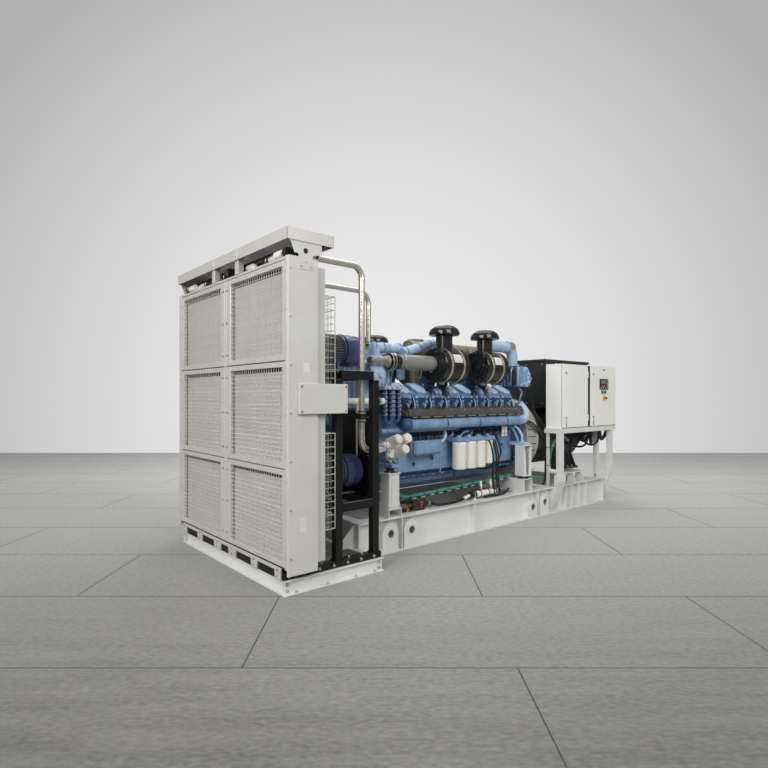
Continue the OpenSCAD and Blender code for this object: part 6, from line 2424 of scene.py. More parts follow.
@dataclass
class EngineFeet:
    """Front posts and rear channels on rubber, with the engine's blue arms on top.

    Attributes:
        y: Distance of the feet from the middle.
        front: Place of the front post along the engine.
        rear: Place of the rear channel.
        arm: Height of the front arm's underside.
        seat: Height of the rear arm's underside.
    """

    y: float = 650.0
    front: float = 38.0
    rear: float = 2402.0
    arm: float = -175.0
    seat: float = -70.0

    def build(self) -> None:
        """Build the near side and mirror it."""
        s = Shape(engine_frame())
        self.front_post(s)
        self.rear_channel(s)
        self.arms(s)
        s.mirrored()
        s.make("feet_and_arms", stands_for="engine_feet", angle=28)

    def front_post(self, s: Shape) -> None:
        """Folded post with a flared foot, stiffening rib, head plate and rubber cone.

        Args:
            s: Shape that takes it.
        """
        x, y, foot, top = self.front, -self.y, -600.0, self.arm - 50
        outline = [(x - 80, foot), (x + 80, foot), (x + 80, foot + 30), (x + 70, foot + 90), (x + 70, top),
                   (x - 70, top), (x - 70, foot + 90), (x - 80, foot + 30)]
        s.prism(outline, y - 68, y + 70, "y", Finish.SKID_PAINT)
        s.prism([(x - 50, foot + 20), (x + 50, foot + 20), (x + 34, top - 40), (x - 34, top - 40)], y - 76,
                y - 66, "y", Finish.SKID_PAINT)
        s.block((x - 84, y - 76, foot), (x + 84, y + 76, foot + 14), Finish.SKID_PAINT, 2)
        s.block((x - 88, y - 80, top - 12), (x + 88, y + 80, top), Finish.SKID_PAINT, 2)
        for dx in (-66, 66):
            for dy in (-62, 62):
                s.bolt((x + dx, y + dy, foot + 14), UP, 22)
            s.bolt((x + dx * 0.9, y - 58, top), UP, 20)
        s.lathe([(60, 0), (60, 8), (44, 14), (40, 30), (52, 42), (56, 50)], (x, y, top), UP,
                Finish.RUBBER, 32)
        s.ring((x, y, top + 1), UP, 42, 59, 6, Finish.CAST_SILVER, 32)

    def rear_channel(self, s: Shape) -> None:
        """Channel open to the outside, with two sloping gussets in it, on a rubber disc.

        Args:
            s: Shape that takes it.
        """
        x, y, foot, top = self.rear, -self.y, -514.0, self.seat
        s.lathe([(75, 0), (75, 10), (58, 16), (58, 24), (70, 30), (70, 34)], (x, y, foot), UP,
                Finish.RUBBER, 32)
        s.block((x - 84, y - 75, foot + 34), (x + 84, y + 70, foot + 46), Finish.SKID_PAINT, 2)
        s.block((x - 84, y - 75, top - 12), (x + 84, y + 70, top), Finish.SKID_PAINT, 2)
        for side in (-1, 1):
            a, b = sorted((x + side * 73, x + side * 84))
            s.block((a, y - 75, foot + 40), (b, y + 70, top - 6), Finish.SKID_PAINT, 2)
            s.prism([(x + side * 73, foot + 46), (x + side * 26, foot + 46), (x + side * 50, top - 60),
                     (x + side * 73, top - 30)][::side], y - 72, y - 62, "y", Finish.SKID_PAINT)
        s.block((x - 76, y + 52, foot + 40), (x + 76, y + 62, top - 6), Finish.SKID_PAINT, 2)
        for dx in (-40, 0, 40):
            s.bolt((x + dx, y - 40, top - 12), DOWN, 18, Finish.RUBBER)
        for dx in (-62, 62):
            s.bolt((x + dx, y - 58, foot + 46), UP, 18)

    def arms(self, s: Shape) -> None:
        """Blue arms bolted to the crankcase in front and to the flywheel housing behind.

        Args:
            s: Shape that takes them.
        """
        y = -self.y
        s.block((0, y - 75, self.arm), (118, -446, self.arm + 40), Finish.ENGINE_BLUE, 6)
        rib = [(y - 60, self.arm + 40), (-446, self.arm + 40), (-446, self.arm + 190)]
        for x in (16, 84):
            s.prism(rib, x, x + 18, "x", Finish.ENGINE_BLUE)
        s.bolt((self.front, y, self.arm + 40), UP, 46)
        s.rod((self.front, y, self.arm + 60), (self.front, y, self.arm + 84), 13, Finish.PLATED, 12)
        x, z = self.rear, self.seat
        # Rear seat in the lit copy of the blue: painted light.
        s.block((x - 80, y - 75, z), (x + 80, -476, z + 26), Finish.ENGINE_LIGHT, 5)
        s.block((x - 62, y - 54, z + 24), (x + 62, -476, z + 40), Finish.ENGINE_LIGHT, 7)
        s.block((x - 80, -478, z), (x - 2, -450, z + 40), Finish.ENGINE_BLUE, 5)
        for dx in (-48, 48):
            for dy in (-44, 44):
                s.bolt((x + dx, y + dy, z + 38), UP, 24, Finish.ENGINE_LIGHT)
        s.hose([(x - 30, y, z + 40), (x - 34, y - 6, z + 120), (x - 60, y + 30, z + 210),
                (x - 110, y + 70, z + 260)], 6, 16, Finish.ENGINE_LIGHT, 14)


@dataclass
class SkidAuxiliaries:
    """Jacket water heater, priming pump and the slotted rail of the drain hose on the near beam.

    Attributes:
        deck: Height of the main beams' top.
        heater: Front and rear end of the heater.
        pump: Front and rear end of the pump.
    """

    deck: float = 360.0
    heater: tuple[float, float] = (-641.0, -91.0)
    pump: tuple[float, float] = (-1661.0, -1411.0)

    def build(self) -> None:
        """Build the rail, the heater and the pump with their lines."""
        s = Shape()
        self.rail(s)
        self.heater_parts(s)
        self.pump_parts(s)
        s.make("skid_fittings", stands_for="skid_auxiliaries")
        self.lines()

    def rail(self, s: Shape) -> None:
        """Perforated strip that follows the hose, with straps round the hose.

        Args:
            s: Shape that takes them.
        """
        low, high = corners("skid_auxiliaries")
        x0, x1, rise = low.x + 20, high.x - 30, 86.0
        z0 = low.z + 90
        count = 30
        step = (x1 - x0) / count
        for k in range(count):
            x = x0 + step * k
            za, zb = z0 + rise * k / count, z0 + rise * (k + 1) / count
            # Every other segment is black: painted shade for the rail's slots.
            s.prism([(x + 6, za), (x + step - 6, zb), (x + step - 6, zb + 6), (x + 6, za + 6)], -512, -474,
                    "y", Finish.SKID_PAINT if k % 2 else Finish.STAND_BLACK)
            if k % 3 == 1:
                mid = (za + zb) / 2 + 30
                s.ring((x + step / 2, -493, mid), (1, 0, rise / (x1 - x0)), 20, 24, 10, Finish.RUBBER, 20)
        s.block((x0 - 30, -513, z0 - 8), (x0 + 10, -473, z0 + 4), Finish.SKID_PAINT, 2)
        s.block((x1 - 6, -513, z0 + rise - 8), (x1 + 24, -473, z0 + rise + 6), Finish.SKID_PAINT, 2)

    def heater_parts(self, s: Shape) -> None:
        """Silver heater barrel with black end caps, straps, cradle legs and hose tails.

        Args:
            s: Shape that takes them.
        """
        x0, x1 = self.heater
        y, z = -610, self.deck + 62
        s.lathe([(30, 0), (40, 6), (42, 30), (42, 92), (36, 98)], (x0, y, z), REAR, Finish.RUBBER, 32)
        s.lathe([(36, 0), (38, 6), (38, x1 - x0 - 190), (34, x1 - x0 - 180)], (x0 + 96, y, z), REAR,
                Finish.FILTER_WHITE, 32)
        s.lathe([(30, 0), (36, 8), (36, 60), (22, 76), (18, 84)], (x1 - 86, y, z), REAR, Finish.RUBBER, 32)
        for x in (x0 + 170, x0 + 330, x0 + 420):
            s.ring((x, y, z), REAR, 36, 42, 14, Finish.RUBBER, 32)
        for x in (-600, -160):
            s.prism([(y - 48, self.deck), (y + 38, self.deck), (y + 26, z - 30), (y - 26, z - 30)], x, x + 30,
                    "x", Finish.SKID_PAINT)
            s.ring((x + 8, y, z), REAR, 38, 43, 14, Finish.STRAP_STEEL, 32)
        for x in (x0 + 210, x1 - 150):
            s.rod((x, y, z + 30), (x, y, z + 74), 17, Finish.STRAP_STEEL, 20)
            s.rod((x, y, z + 72), (x, y + 8, z + 150), 15, Finish.FILTER_WHITE, 20)
            s.ring((x, y, z + 84), UP, 14, 19, 10, Finish.STRAP_STEEL, 20)

    def pump_parts(self, s: Shape) -> None:
        """Black pump and motor with its red ring, brass union and cast foot.

        Args:
            s: Shape that takes them.
        """
        x0, x1 = self.pump
        y, z = -640, self.deck + 70
        s.block((x0 + 21, y - 58, self.deck), (x1 - 19, y + 58, self.deck + 10), Finish.SKID_PAINT, 2)
        s.block((x0 + 60, y - 34, self.deck + 8), (x1 - 70, y + 34, z - 38), Finish.RUBBER, 5)
        s.lathe([(24, 0), (46, 4), (54, 16), (54, 96), (48, 104)], (x0, y, z), REAR, Finish.PANEL_BLACK, 36)
        s.ring((x0 + 104, y, z), REAR, 30, 53, 22, Finish.RED, 36)
        s.lathe([(48, 0), (53, 8), (53, 70), (40, 84), (24, 90), (22, 120)], (x0 + 126, y, z), REAR,
                Finish.PANEL_BLACK, 36)
        for k in range(9):
            turn = Matrix.Translation((0, y, z)) @ Matrix.Rotation(2 * math.pi * k / 9, 4, "X")
            s.block((x0 + 20, -3, 44), (x0 + 94, 3, 53.5), Finish.PANEL_BLACK, 1, turn)
        s.block((x0 + 30, y + 20, z + 10), (x0 + 96, y + 58, z + 50), Finish.PANEL_BLACK, 5)
        s.lathe([(16, 0), (19, 4), (19, 22), (14, 26), (14, 40)], (x0 + 2, y, z + 6), FRONT, Finish.BRASS, 8)

    def lines(self) -> None:
        """Hoses and leads between the pump, the heater and the engine, tied to the beam."""
        s = Shape()
        x0, x1 = self.pump
        h0, h1 = self.heater
        z = self.deck
        s.hose([(x1 - 4, -640, z + 70), (x1 + 60, -640, z + 62), (x1 + 190, -636, z + 22),
                (x1 + 420, -630, z + 16), (h0 - 170, -624, z + 30), (h0 - 60, -614, z + 56),
                (h0 + 4, -610, z + 62)], 6, 13, Finish.CONDUIT, 12)
        s.ring((x1 + 10, -640, z + 70), (1, 0, -0.1), 12, 21, 26, Finish.STRAP_STEEL, 20)
        s.rod((h0 - 130, -620, z + 38), (h0 - 20, -612, z + 60), 20, Finish.FILTER_WHITE, 20)
        s.hose([(x0 + 40, -600, z + 100), (x0 - 20, -580, z + 120), (x0 - 60, -540, z + 90),
                (x0 - 90, -520, z + 60)], 6, 12, Finish.CONDUIT, 10)
        s.hose([(h0 + 240, -640, z + 24), (h0 + 420, -654, z + 16), (h1 - 20, -650, z + 18),
                (h1 + 110, -640, z + 30), (h1 + 220, -610, z + 60)], 6, 14, Finish.CONDUIT, 12)
        s.hose([(h0 + 60, -600, z + 108), (h0 + 160, -600, z + 112), (h0 + 300, -590, z + 104),
                (h1 - 60, -600, z + 84)], 6, 7, Finish.CONDUIT, 8)
        for k, x in enumerate((x0 - 80, x0 - 30)):
            s.lathe([(26, 0), (30, 4), (30, 34), (20, 42)], (x, -590 - 26 * k, z), UP,
                    Finish.BRASS if k else Finish.RUBBER, 20)
            s.rod((x, -590 - 26 * k, z + 40), (x, -590 - 26 * k, z + 96), 11, Finish.BRASS, 12)
            s.lathe([(24, 0), (26, 4), (26, 12)], (x, -590 - 26 * k, z + 94), UP, Finish.RUBBER, 20)
        s.make("auxiliary_lines")


# ---------------------------------------------------------------- alternator


@dataclass
class Alternator:
    """Louvred coupling guard, the black alternator and its terminal box.

    Attributes:
        axis: Height of its shaft above the floor.
        radius: Radius of the stator frame.
        length: Length of the stator frame.
        louvres: How many rows of slots the guard has on a side.
    """

    axis: float = 1050.0
    radius: float = 450.0
    length: float = 1050.0
    louvres: int = 13

    def build(self) -> None:
        """Build the guard, the alternator and the box."""
        self.guard()
        self.frame()
        self.box()

    def origin(self) -> Vector:
        """Origin on the shaft's axis at the stator's front face, in metres."""
        return frame_at("alternator", height=self.axis)

    def guard(self) -> None:
        """Guard of rolled sheet: pressed louvres on both sides, end rings and a seam."""
        low, high = corners("coupling_guard")
        radius, width = high.y, high.x - low.x
        s = Shape(frame_at("coupling_guard", height=self.axis))
        s.lathe([(radius - 60, 0), (radius - 2, 2), (radius - 2, 26), (radius - 12, 30),
                 (radius - 12, width - 30), (radius - 2, width - 26), (radius - 2, width - 2),
                 (radius - 60, width)], (0, 0, 0), REAR, Finish.GUARD_GREY, 72)
        for side in (-1, 1):
            for k in range(self.louvres):
                a = math.radians(-62 + 124 * k / (self.louvres - 1))
                turn = Matrix.Rotation(side * a, 4, "X")
                y0, y1 = sorted((side * (radius - 14), side * (radius - 2)))
                s.block((44, y0, -13), (width - 44, y1, 13), Finish.GUARD_GREY, 4, turn)
                # Near-black strip in each louvre's opening: painted shade.
                y0, y1 = sorted((side * (radius - 16), side * (radius - 8)))
                s.block((40, y0, 13), (width - 40, y1, 24), Finish.SEAL_FOAM, 1, turn)
        s.bolt_circle((0, 0, 0), FRONT, radius - 30, 12, 20, ahead=0.5)
        s.block((10, -22, radius - 14), (width - 10, 22, radius - 2), Finish.GUARD_GREY, 2)
        s.make("louvred_guard", stands_for="coupling_guard")

    def frame(self) -> None:
        """Stator frame with welded ribs, feet, end bell, cable chamber and the gland plate."""
        s = Shape(self.origin())
        r, n = self.radius, self.length
        s.lathe([(150, 0), (r - 40, 4), (r - 6, 10), (r - 2, 30), (r - 2, 52), (r - 14, 58), (r - 14, n - 60),
                 (r - 2, n - 54), (r - 2, n - 8), (r - 30, n)], (0, 0, 0), REAR, Finish.ALTERNATOR_BLACK, 72)
        for x in (180, 330, 480, 640, 800, 940):
            s.ring((x, 0, 0), REAR, r - 20, r - 3, 10, Finish.ALTERNATOR_BLACK, 72)
        s.bolt_circle((6, 0, 0), FRONT, r - 60, 16, 22, Finish.ALTERNATOR_BLACK, 0.5)
        foot, z = -510.0, -150.0
        half = Shape(s.origin)
        for x0, x1 in ((580, 600), (n - 20, n)):
            half.prism([(-380, foot + 30), (-450, foot + 30), (-450, z), (-424, z + 10), (-380, z)], x0, x1,
                       "x", Finish.ALTERNATOR_BLACK)
        half.block((590, -444, foot + 28), (n - 8, -384, z + 4), Finish.ALTERNATOR_BLACK, 4)
        half.block((580, -560, foot), (n, -380, foot + 30), Finish.ALTERNATOR_BLACK, 4)
        for x in (640, 760, 880, 1000):
            half.prism([(-550, foot + 28), (-448, foot + 28), (-448, z - 60)], x - 5, x + 5, "x",
                       Finish.ALTERNATOR_BLACK)
            half.bolt((x + 40, -520, foot + 30), UP, 30)
        half.mirrored()
        s.join(half)
        tail = corners("alternator", s.origin)[1].x
        outline = [(n, -286), (n + 45, -286), (tail, 50), (tail, 430), (n, 430)]
        s.prism(outline, -449, 449, "y", Finish.ALTERNATOR_BLACK)
        for y in (-449, 441):
            s.prism([(n + 20, -240), (n + 50, -240), (tail - 24, 70), (tail - 24, 400), (n + 20, 400)], y - 1,
                    y + 9, "y", Finish.ALTERNATOR_BLACK)
        for side in (-1, 1):
            for x, at in ((n + 36, -210), (n + 36, 90), (n + 36, 370), (tail - 40, 90), (tail - 40, 370),
                          (n + 230, -20)):
                s.bolt((x, side * 450, at), (0, side, 0), 18)
        self.glands(s)
        s.make("stator_and_chamber", stands_for="alternator")

    def glands(self, s: Shape) -> None:
        """Gland plate under the chamber, with the rows of cable glands.

        Args:
            s: Shape that takes them.
        """
        low, high = corners("cable_loop_b", s.origin)
        x = (low.x + high.x) / 2
        s.block((x - 32, -450, -50), (x + 32, -398, 60), Finish.ALTERNATOR_BLACK, 4)
        s.lathe([(19, 0), (19, 12), (16, 16), (16, 24)], (x, -430, -48), DOWN, Finish.BRASS, 6)
        for k in range(6):
            at = self.length - 330 + 62 * k
            s.lathe([(17, 0), (17, 10), (14, 13), (14, 24)], (at, -452, 60), NEAR, Finish.BRASS, 6)

    def box(self) -> None:
        """Terminal box with folded seams, cover panels, screws and the overhanging lid."""
        s = Shape(self.origin())
        low, high = corners("terminal_box", s.origin)
        x0, x1 = low.x + 20, high.x - 20
        z0, z1 = 430.0, high.z
        s.prism([(-449, z0), (-449, z1 - 12), (449, z1 - 12), (449, z0), (230, z0 - 40), (-230, z0 - 40)], x0,
                x1, "x", Finish.ALTERNATOR_BLACK)
        s.block((x0 - 18, -468, z1 - 13), (x1 + 18, 468, z1), Finish.ALTERNATOR_BLACK, 3)
        s.block((x0 - 20, -470, z1 - 34), (x1 + 20, 470, z1 - 13), Finish.ALTERNATOR_BLACK, 3)
        s.block((x0 - 7, -430, z0 + 30), (x0 + 2, 430, z1 - 52), Finish.ALTERNATOR_BLACK, 4)
        for y in (-410, -140, 140, 410):
            for z in (z0 + 52, z1 - 74):
                s.bolt((x0 - 7, y, z), FRONT, 16)
        for side in (-1, 1):
            for k in range(2):
                a = x0 + 26 + (x1 - x0) * k / 2
                b = x0 - 26 + (x1 - x0) * (k + 1) / 2
                y0, y1 = sorted((side * 448, side * 456))
                s.block((a, y0, z0 + 30), (b, y1, z1 - 52), Finish.ALTERNATOR_BLACK, 4)
                for x in (a + 22, (a + b) / 2, b - 22):
                    for z in (z0 + 52, z1 - 74):
                        s.bolt((x, side * 456, z), (0, side, 0), 15)
        for x in (x0 + 60, x1 - 60):
            for y in (-400, 400):
                s.bolt((x, y, z1), UP, 20)
        s.make("terminal_housing", stands_for="terminal_box")


# ---------------------------------------------------------------- cabinets


@dataclass
class Cabinets:
    """Power and control cabinets with their doors, locks, keys and hinges, on welded legs.

    Attributes:
        sheet: Thickness of the cabinets' sheet.
        door: Thickness of a door.
        knuckle: Height of one hinge knuckle.
    """

    sheet: float = 4.0
    door: float = 18.0
    knuckle: float = 30.0

    def build(self) -> None:
        """Build both cabinets, the panel's instruments, the frame's fittings and the leads."""
        for name in ("power", "control"):
            self.shell(name)
            self.door_leaf(name)
        self.instruments()
        self.frame_fittings()
        self.leads()

    def shell(self, name: str) -> None:
        """Folded shell with a rain lip, seams, screws and a mounting plate behind the door.

        Args:
            name: Which cabinet, power or control.
        """
        node = f"{name}_cabinet"
        front = corners(f"{node}_door")[0]
        low, high = corners(node)
        x0, x1 = front.x, self.right(name)
        y0, y1 = front.y + self.door + 8, high.y
        z0, z1 = low.z, high.z
        s = Shape()
        t = self.sheet
        for a, b in (((x0, y0, z0), (x0 + t, y1, z1)), ((x1 - t, y0, z0), (x1, y1, z1)),
                     ((x0 + 1, y1 - t, z0 + 1), (x1 - 1, y1, z1 - 1)),
                     ((x0 + 1, y0, z1 - t), (x1 - 1, y1 - 1, z1)),
                     ((x0 + 1, y0, z0), (x1 - 1, y1 - 1, z0 + t))):
            s.block(a, b, Finish.CABINET_COAT, 1.4)
        # Near-black strips round the door opening: painted shade in the gap.
        for a, b in ((x0 + 3, x0 + 9), (x1 - 9, x1 - 3)):
            s.block((a, y0 - 5, z0 + 3), (b, y0 + 1, z1 - 3), Finish.SEAL_FOAM, 0.5)
        for a, b in ((z0 + 3, z0 + 9), (z1 - 9, z1 - 3)):
            s.block((x0 + 3, y0 - 5, a), (x1 - 3, y0 + 1, b), Finish.SEAL_FOAM, 0.5)
        for a, b in ((x0 + t, x0 + t + 14), (x1 - t - 14, x1 - t)):
            s.block((a - 1, y0 + 1, z0 + t), (b + 1, y0 + 5, z1 - t), Finish.CABINET_COAT, 1)
        for a, b in ((z0 + t, z0 + t + 14), (z1 - t - 14, z1 - t)):
            s.block((x0 + t, y0 + 1.2, a - 1), (x1 - t, y0 + 5.2, b + 1), Finish.CABINET_COAT, 1)
        s.block((x0 + 40, y1 - 30, z0 + 40), (x1 - 40, y1 - 26, z1 - 40), Finish.PLATED, 1)
        for x in (x0 + 60, x1 - 60):
            for z in (z0 + 60, z1 - 60):
                s.bolt((x, y1 - 30, z), NEAR, 16)
        for x in (x0 + 60, x1 - 60):
            s.bolt((x, (y0 + y1) / 2, z1), UP, 18)
        for k in (0, 1):
            for z in self.hinges(z0, z1):
                at = z + k * (2 * self.knuckle + 2)
                top = at + self.knuckle - 1
                s.rod((x1 + 12, front.y + 14, at), (x1 + 12, front.y + 14, top), 7, Finish.CABINET_COAT, 16)
                s.block((x1 - 1, y0, at), (x1 + 14, front.y + 60, top), Finish.CABINET_COAT, 1)
        s.make(f"{name}_shell", stands_for=node)

    def right(self, name: str) -> float:
        """Right-hand side of a cabinet, clear of its hinges."""
        return corners(f"{name}_cabinet_door")[1].x - 19.0

    def hinges(self, low: float, high: float) -> tuple[float, float]:
        """Heights of the two hinges of a door."""
        return (low + 90, high - 90 - 3 * self.knuckle)

    def door_leaf(self, name: str) -> None:
        """Folded door with a return edge, a foam seal, painted shade in the gaps under and beside it, quarter-turn
        locks, a key and its tag.

        Args:
            name: Which cabinet, power or control.
        """
        node = f"{name}_cabinet_door"
        low, high = corners(node)
        x0, x1, z0, z1 = low.x, self.right(name), low.z, high.z
        y = low.y + 8
        s = Shape()
        foot = z0 + 9
        s.block((x0 + 1, y, foot), (x1 - 1, y + 3, z1 - 1), Finish.CABINET_COAT, 1.4)
        for a, b in (((x0 + 1, foot), (x0 + 4, z1 - 1)), ((x1 - 4, foot), (x1 - 1, z1 - 1)),
                     ((x0 + 1, foot), (x1 - 1, foot + 3)), ((x0 + 1, z1 - 4), (x1 - 1, z1 - 1))):
            s.block((a[0], y + 1, a[1]), (b[0], y + self.door - 7, b[1]), Finish.CABINET_COAT, 1.2)
        # Near-black strips under and beside the leaf: painted shadow in the door's gap.
        s.block((x0 + 3, y + 6, z0 + 1), (x1 - 3, y + self.door - 1, foot + 1), Finish.SEAL_FOAM, 0.5)
        s.block((x0 + 3, y + 6, foot), (x0 + 9, y + self.door - 1, z1 - 3), Finish.SEAL_FOAM, 0.5)
        for a, b in (((x0 + 8, z0 + 8), (x0 + 22, z1 - 8)), ((x1 - 22, z0 + 8), (x1 - 8, z1 - 8)),
                     ((x0 + 8, z0 + 8), (x1 - 8, z0 + 22)), ((x0 + 8, z1 - 22), (x1 - 8, z1 - 8))):
            s.block((a[0], y + 2, a[1]), (b[0], y + self.door + 1, b[1]), Finish.SEAL_FOAM, 1)
        s.block((x0 + 4, y + self.door - 3, z0 + 4), (x1 - 4, y + self.door - 1, z1 - 4),
                Finish.GUARD_GREY, 0.5)
        for z in (z0 + 147, z1 - 127):
            at = (x0 + 90, y, z)
            s.lathe([(18, 0), (18, 2), (14, 4), (14, 7), (11, 8)], at, NEAR, Finish.PLATED, 28)
            s.block((x0 + 88, y - 9, z - 8), (x0 + 92, y - 6, z + 8), Finish.STAND_BLACK, 0.5)
        z = z0 + 147
        s.rod((x0 + 90, y - 6, z - 2), (x0 + 90, y - 8, z - 44), 3, Finish.PLATED, 8)
        s.lathe([(13, -2), (16, -2), (16, 2), (13, 2)], (x0 + 90, y - 5, z - 52), FAR, Finish.PLATED, 20,
                closed=True)
        s.rod((x0 + 90, y - 5, z - 66), (x0 + 90, y - 5, z - 130), 4, Finish.STAND_BLACK, 8)
        for z in self.hinges(z0, z1):
            s.rod((x1 + 12, low.y + 14, z + self.knuckle + 1), (x1 + 12, low.y + 14, z + 2 * self.knuckle), 7,
                  Finish.CABINET_COAT, 16)
            s.block((x1 - 3, y + 1, z + self.knuckle + 1), (x1 + 12, y + 6, z + 2 * self.knuckle),
                    Finish.CABINET_COAT, 1)
        s.make(f"{name}_door_leaf", f"{name}_door", node)

    def instruments(self) -> None:
        """Controller with its screen and keys, the fuse strip, stop button and sounder."""
        door, top = corners("control_cabinet_door")[0], corners("control_panel")[1].z
        s = Shape(Vector((self.right("control"), door.y + 8, door.z)) * MM)
        s.block((-501, -14, 556), (-255, 0, 717), Finish.PANEL_BLACK, 5)
        s.block((-489, -15.5, 634), (-330, -12, 705), Finish.STAND_BLACK, 1)
        s.block((-478, -16.5, 644), (-342, -15, 696), Finish.SCREEN, 0.5)
        for i in range(5):
            s.block((-486 + 32 * i, -17, 602), (-464 + 32 * i, -13, 618), Finish.LABEL_BLANK if i % 2
                    else Finish.RUBBER, 1)
            s.block((-486 + 32 * i, -17, 572), (-464 + 32 * i, -13, 588), Finish.RUBBER if i % 2
                    else Finish.LABEL_BLANK, 1)
        for i in range(4):
            s.lathe([(5, 0), (5, 1.5), (2, 3)], (-312, -14, 590 + 34 * i), NEAR,
                    (Finish.RED, Finish.YELLOW, Finish.LABEL_BLANK, Finish.RED)[i], 12)
            s.block((-300, -15.5, 584 + 34 * i), (-268, -13, 596 + 34 * i), Finish.LABEL_BLANK, 0.4)
        s.block((-455, -8, 487), (-316, 0, 548), Finish.GUARD_GREY, 3)
        for i in range(3):
            s.lathe([(15, 0), (15, 6), (10, 9)], (-430 + 45 * i, -8, 517), NEAR,
                    (Finish.STAND_BLACK, Finish.PLATED, Finish.STAND_BLACK)[i], 20)
        s.lathe([(42, 0), (42, 3)], (-361, 0, 426), NEAR, Finish.YELLOW, 32)
        s.block((-391, -9, 396), (-331, -2, 456), Finish.YELLOW, 4)
        s.lathe([(12, 0), (12, 20), (20, 24), (20, 34), (15, 39), (1, 41)], (-361, -8, 426), NEAR,
                Finish.RED, 28)
        s.lathe([(15, 0), (15, 3), (12, 7), (1, 8)], (-371, 0, top - door.z - 15), NEAR,
                Finish.STAND_BLACK, 24)
        s.make("panel_instruments", "control_door", "control_panel")

    def frame_fittings(self) -> None:
        """Bolts and cable ties on the legs and the rails, and the painted shade in the gap between the cabinets."""
        s = Shape()
        low, high = corners("cabinet_rails")
        for x in (low.x + 90, (low.x + high.x) / 2 - 40, high.x - 90):
            for y in (low.y, high.y - 70):
                s.bolt((x, y + 35, low.z), DOWN, 20)
        beam = corners("skid_beams")[1].y
        low, high = corners("cabinet_posts")
        for x in (low.x + 92, high.x - 90):
            for z in (120, 230, 330):
                s.bolt((x, -beam, z), NEAR, 20)
        for z in (640, 900):
            s.block((low.x + 66, -616, z), (low.x + 110, -574, z + 8), Finish.RUBBER, 1)
        gap, top = corners("control_cabinet")
        # Near-black strip in the gap between the cabinets: painted shade.
        s.block((gap.x - 22, -816, gap.z + 4), (gap.x - 2, -560, top.z - 4), Finish.SEAL_FOAM, 1)
        s.make("frame_bolts")

    def leads(self) -> None:
        """Black leads from the engine down the inner leg, and the bundle under the cabinets."""
        s = Shape()
        leg = corners("cabinet_posts")[0].x + 88
        for k, (y, r) in enumerate(((-560, 11), (-572, 9), (-548, 8))):
            s.hose([(470 + 20 * k, -600, 1320 - 26 * k), (600, -606 + 8 * k, 1290 - 22 * k),
                    (800, -600 + 10 * k, 1200 - 24 * k), (leg - 60, y, 1050 - 20 * k), (leg - 8, y, 900),
                    (leg - 6, y - 4, 640), (leg - 20, y, 440), (leg - 60, y + 20, 376)], 6, r,
                   Finish.CONDUIT, 10)
        s.lathe([(12, 0), (14, 4), (14, 22), (12, 26)], (690, -602, 1262), (0.9, 0, -0.42), Finish.YELLOW, 16)
        s.hose([(540, -560, 1900), (600, -580, 1760), (680, -590, 1600), (770, -570, 1420),
                (leg - 40, -560, 1180), (leg - 20, -560, 1000)], 6, 10, Finish.CONDUIT, 10)
        for k in range(5):
            x = 2060 + 46 * k
            s.hose([(x, -660, 1180), (x + 6, -650 + 6 * k, 1060), (x + 20, -600, 950 + 12 * k),
                    (x + 40, -520, 940 + 10 * k), (x + 60, -456, 1010 + 16 * k)], 6, 12,
                   Finish.CONDUIT, 10)
        s.lathe([(17, 0), (20, 4), (20, 34), (17, 38)], (2100, -604, 958), (0.2, 0.9, -0.1),
                Finish.YELLOW, 16)
        for route in ([(2096, -690, 1182), (2098, -690, 1070), (2124, -668, 950), (2176, -640, 912),
                       (2236, -610, 948), (2270, -560, 1020), (2296, -500, 1064), (2306, -452, 1070)],
                      [(2336, -690, 1182), (2352, -690, 1084), (2408, -672, 984), (2476, -664, 962),
                       (2540, -672, 1010), (2556, -690, 1090), (2558, -690, 1182)]):
            s.hose(route, 7, 27, Finish.RIBBED_CONDUIT, 20)
        s.hose([(2410, -590, 640), (2404, -600, 520), (2390, -604, 420), (2372, -600, 366)], 5, 9,
               Finish.CONDUIT, 10)
        s.make("loose_leads")


ASSEMBLIES: tuple[type, ...] = (
    LooseCords, RadiatorFront, RadiatorCasing, FanBank, MotorStand, CoolantPipes, Crankcase,
    CylinderHeads, FuelTrunk, CoolantManifolds, AirIntake, ChargeAir, Filters, Skid, EngineFeet,
    SkidAuxiliaries, Alternator, Cabinets,
)


# ---------------------------------------------------------------- dressing the CAD nodes


CAD_FINISHES: dict[Finish, tuple[str, ...]] = {
    Finish.SKID_PAINT: (
        "skid_beams", "skid_cross_members", "lifting_lugs", "engine_beams", "radiator_skid_sides",
        "radiator_skid_ends", "alternator_feet", "cabinet_posts", "cabinet_rails",
    ),
    Finish.TRAY_STEEL: ("drip_tray",),
    Finish.CASING_COAT: ("fan_shroud",),
}


def dress_cad_nodes(nodes: dict[str, bpy.types.Object]) -> None:
    """Give every CAD node that stays in view its finish.

    Args:
        nodes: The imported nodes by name.
    """
    for finish, names in CAD_FINISHES.items():
        for name in names:
            mesh = nodes[name].data
            mesh.materials.clear()
            mesh.materials.append(finish.material())
            mesh.shade_smooth()
            mesh.set_sharp_from_angle(angle=math.radians(30))


# ---------------------------------------------------------------- studio


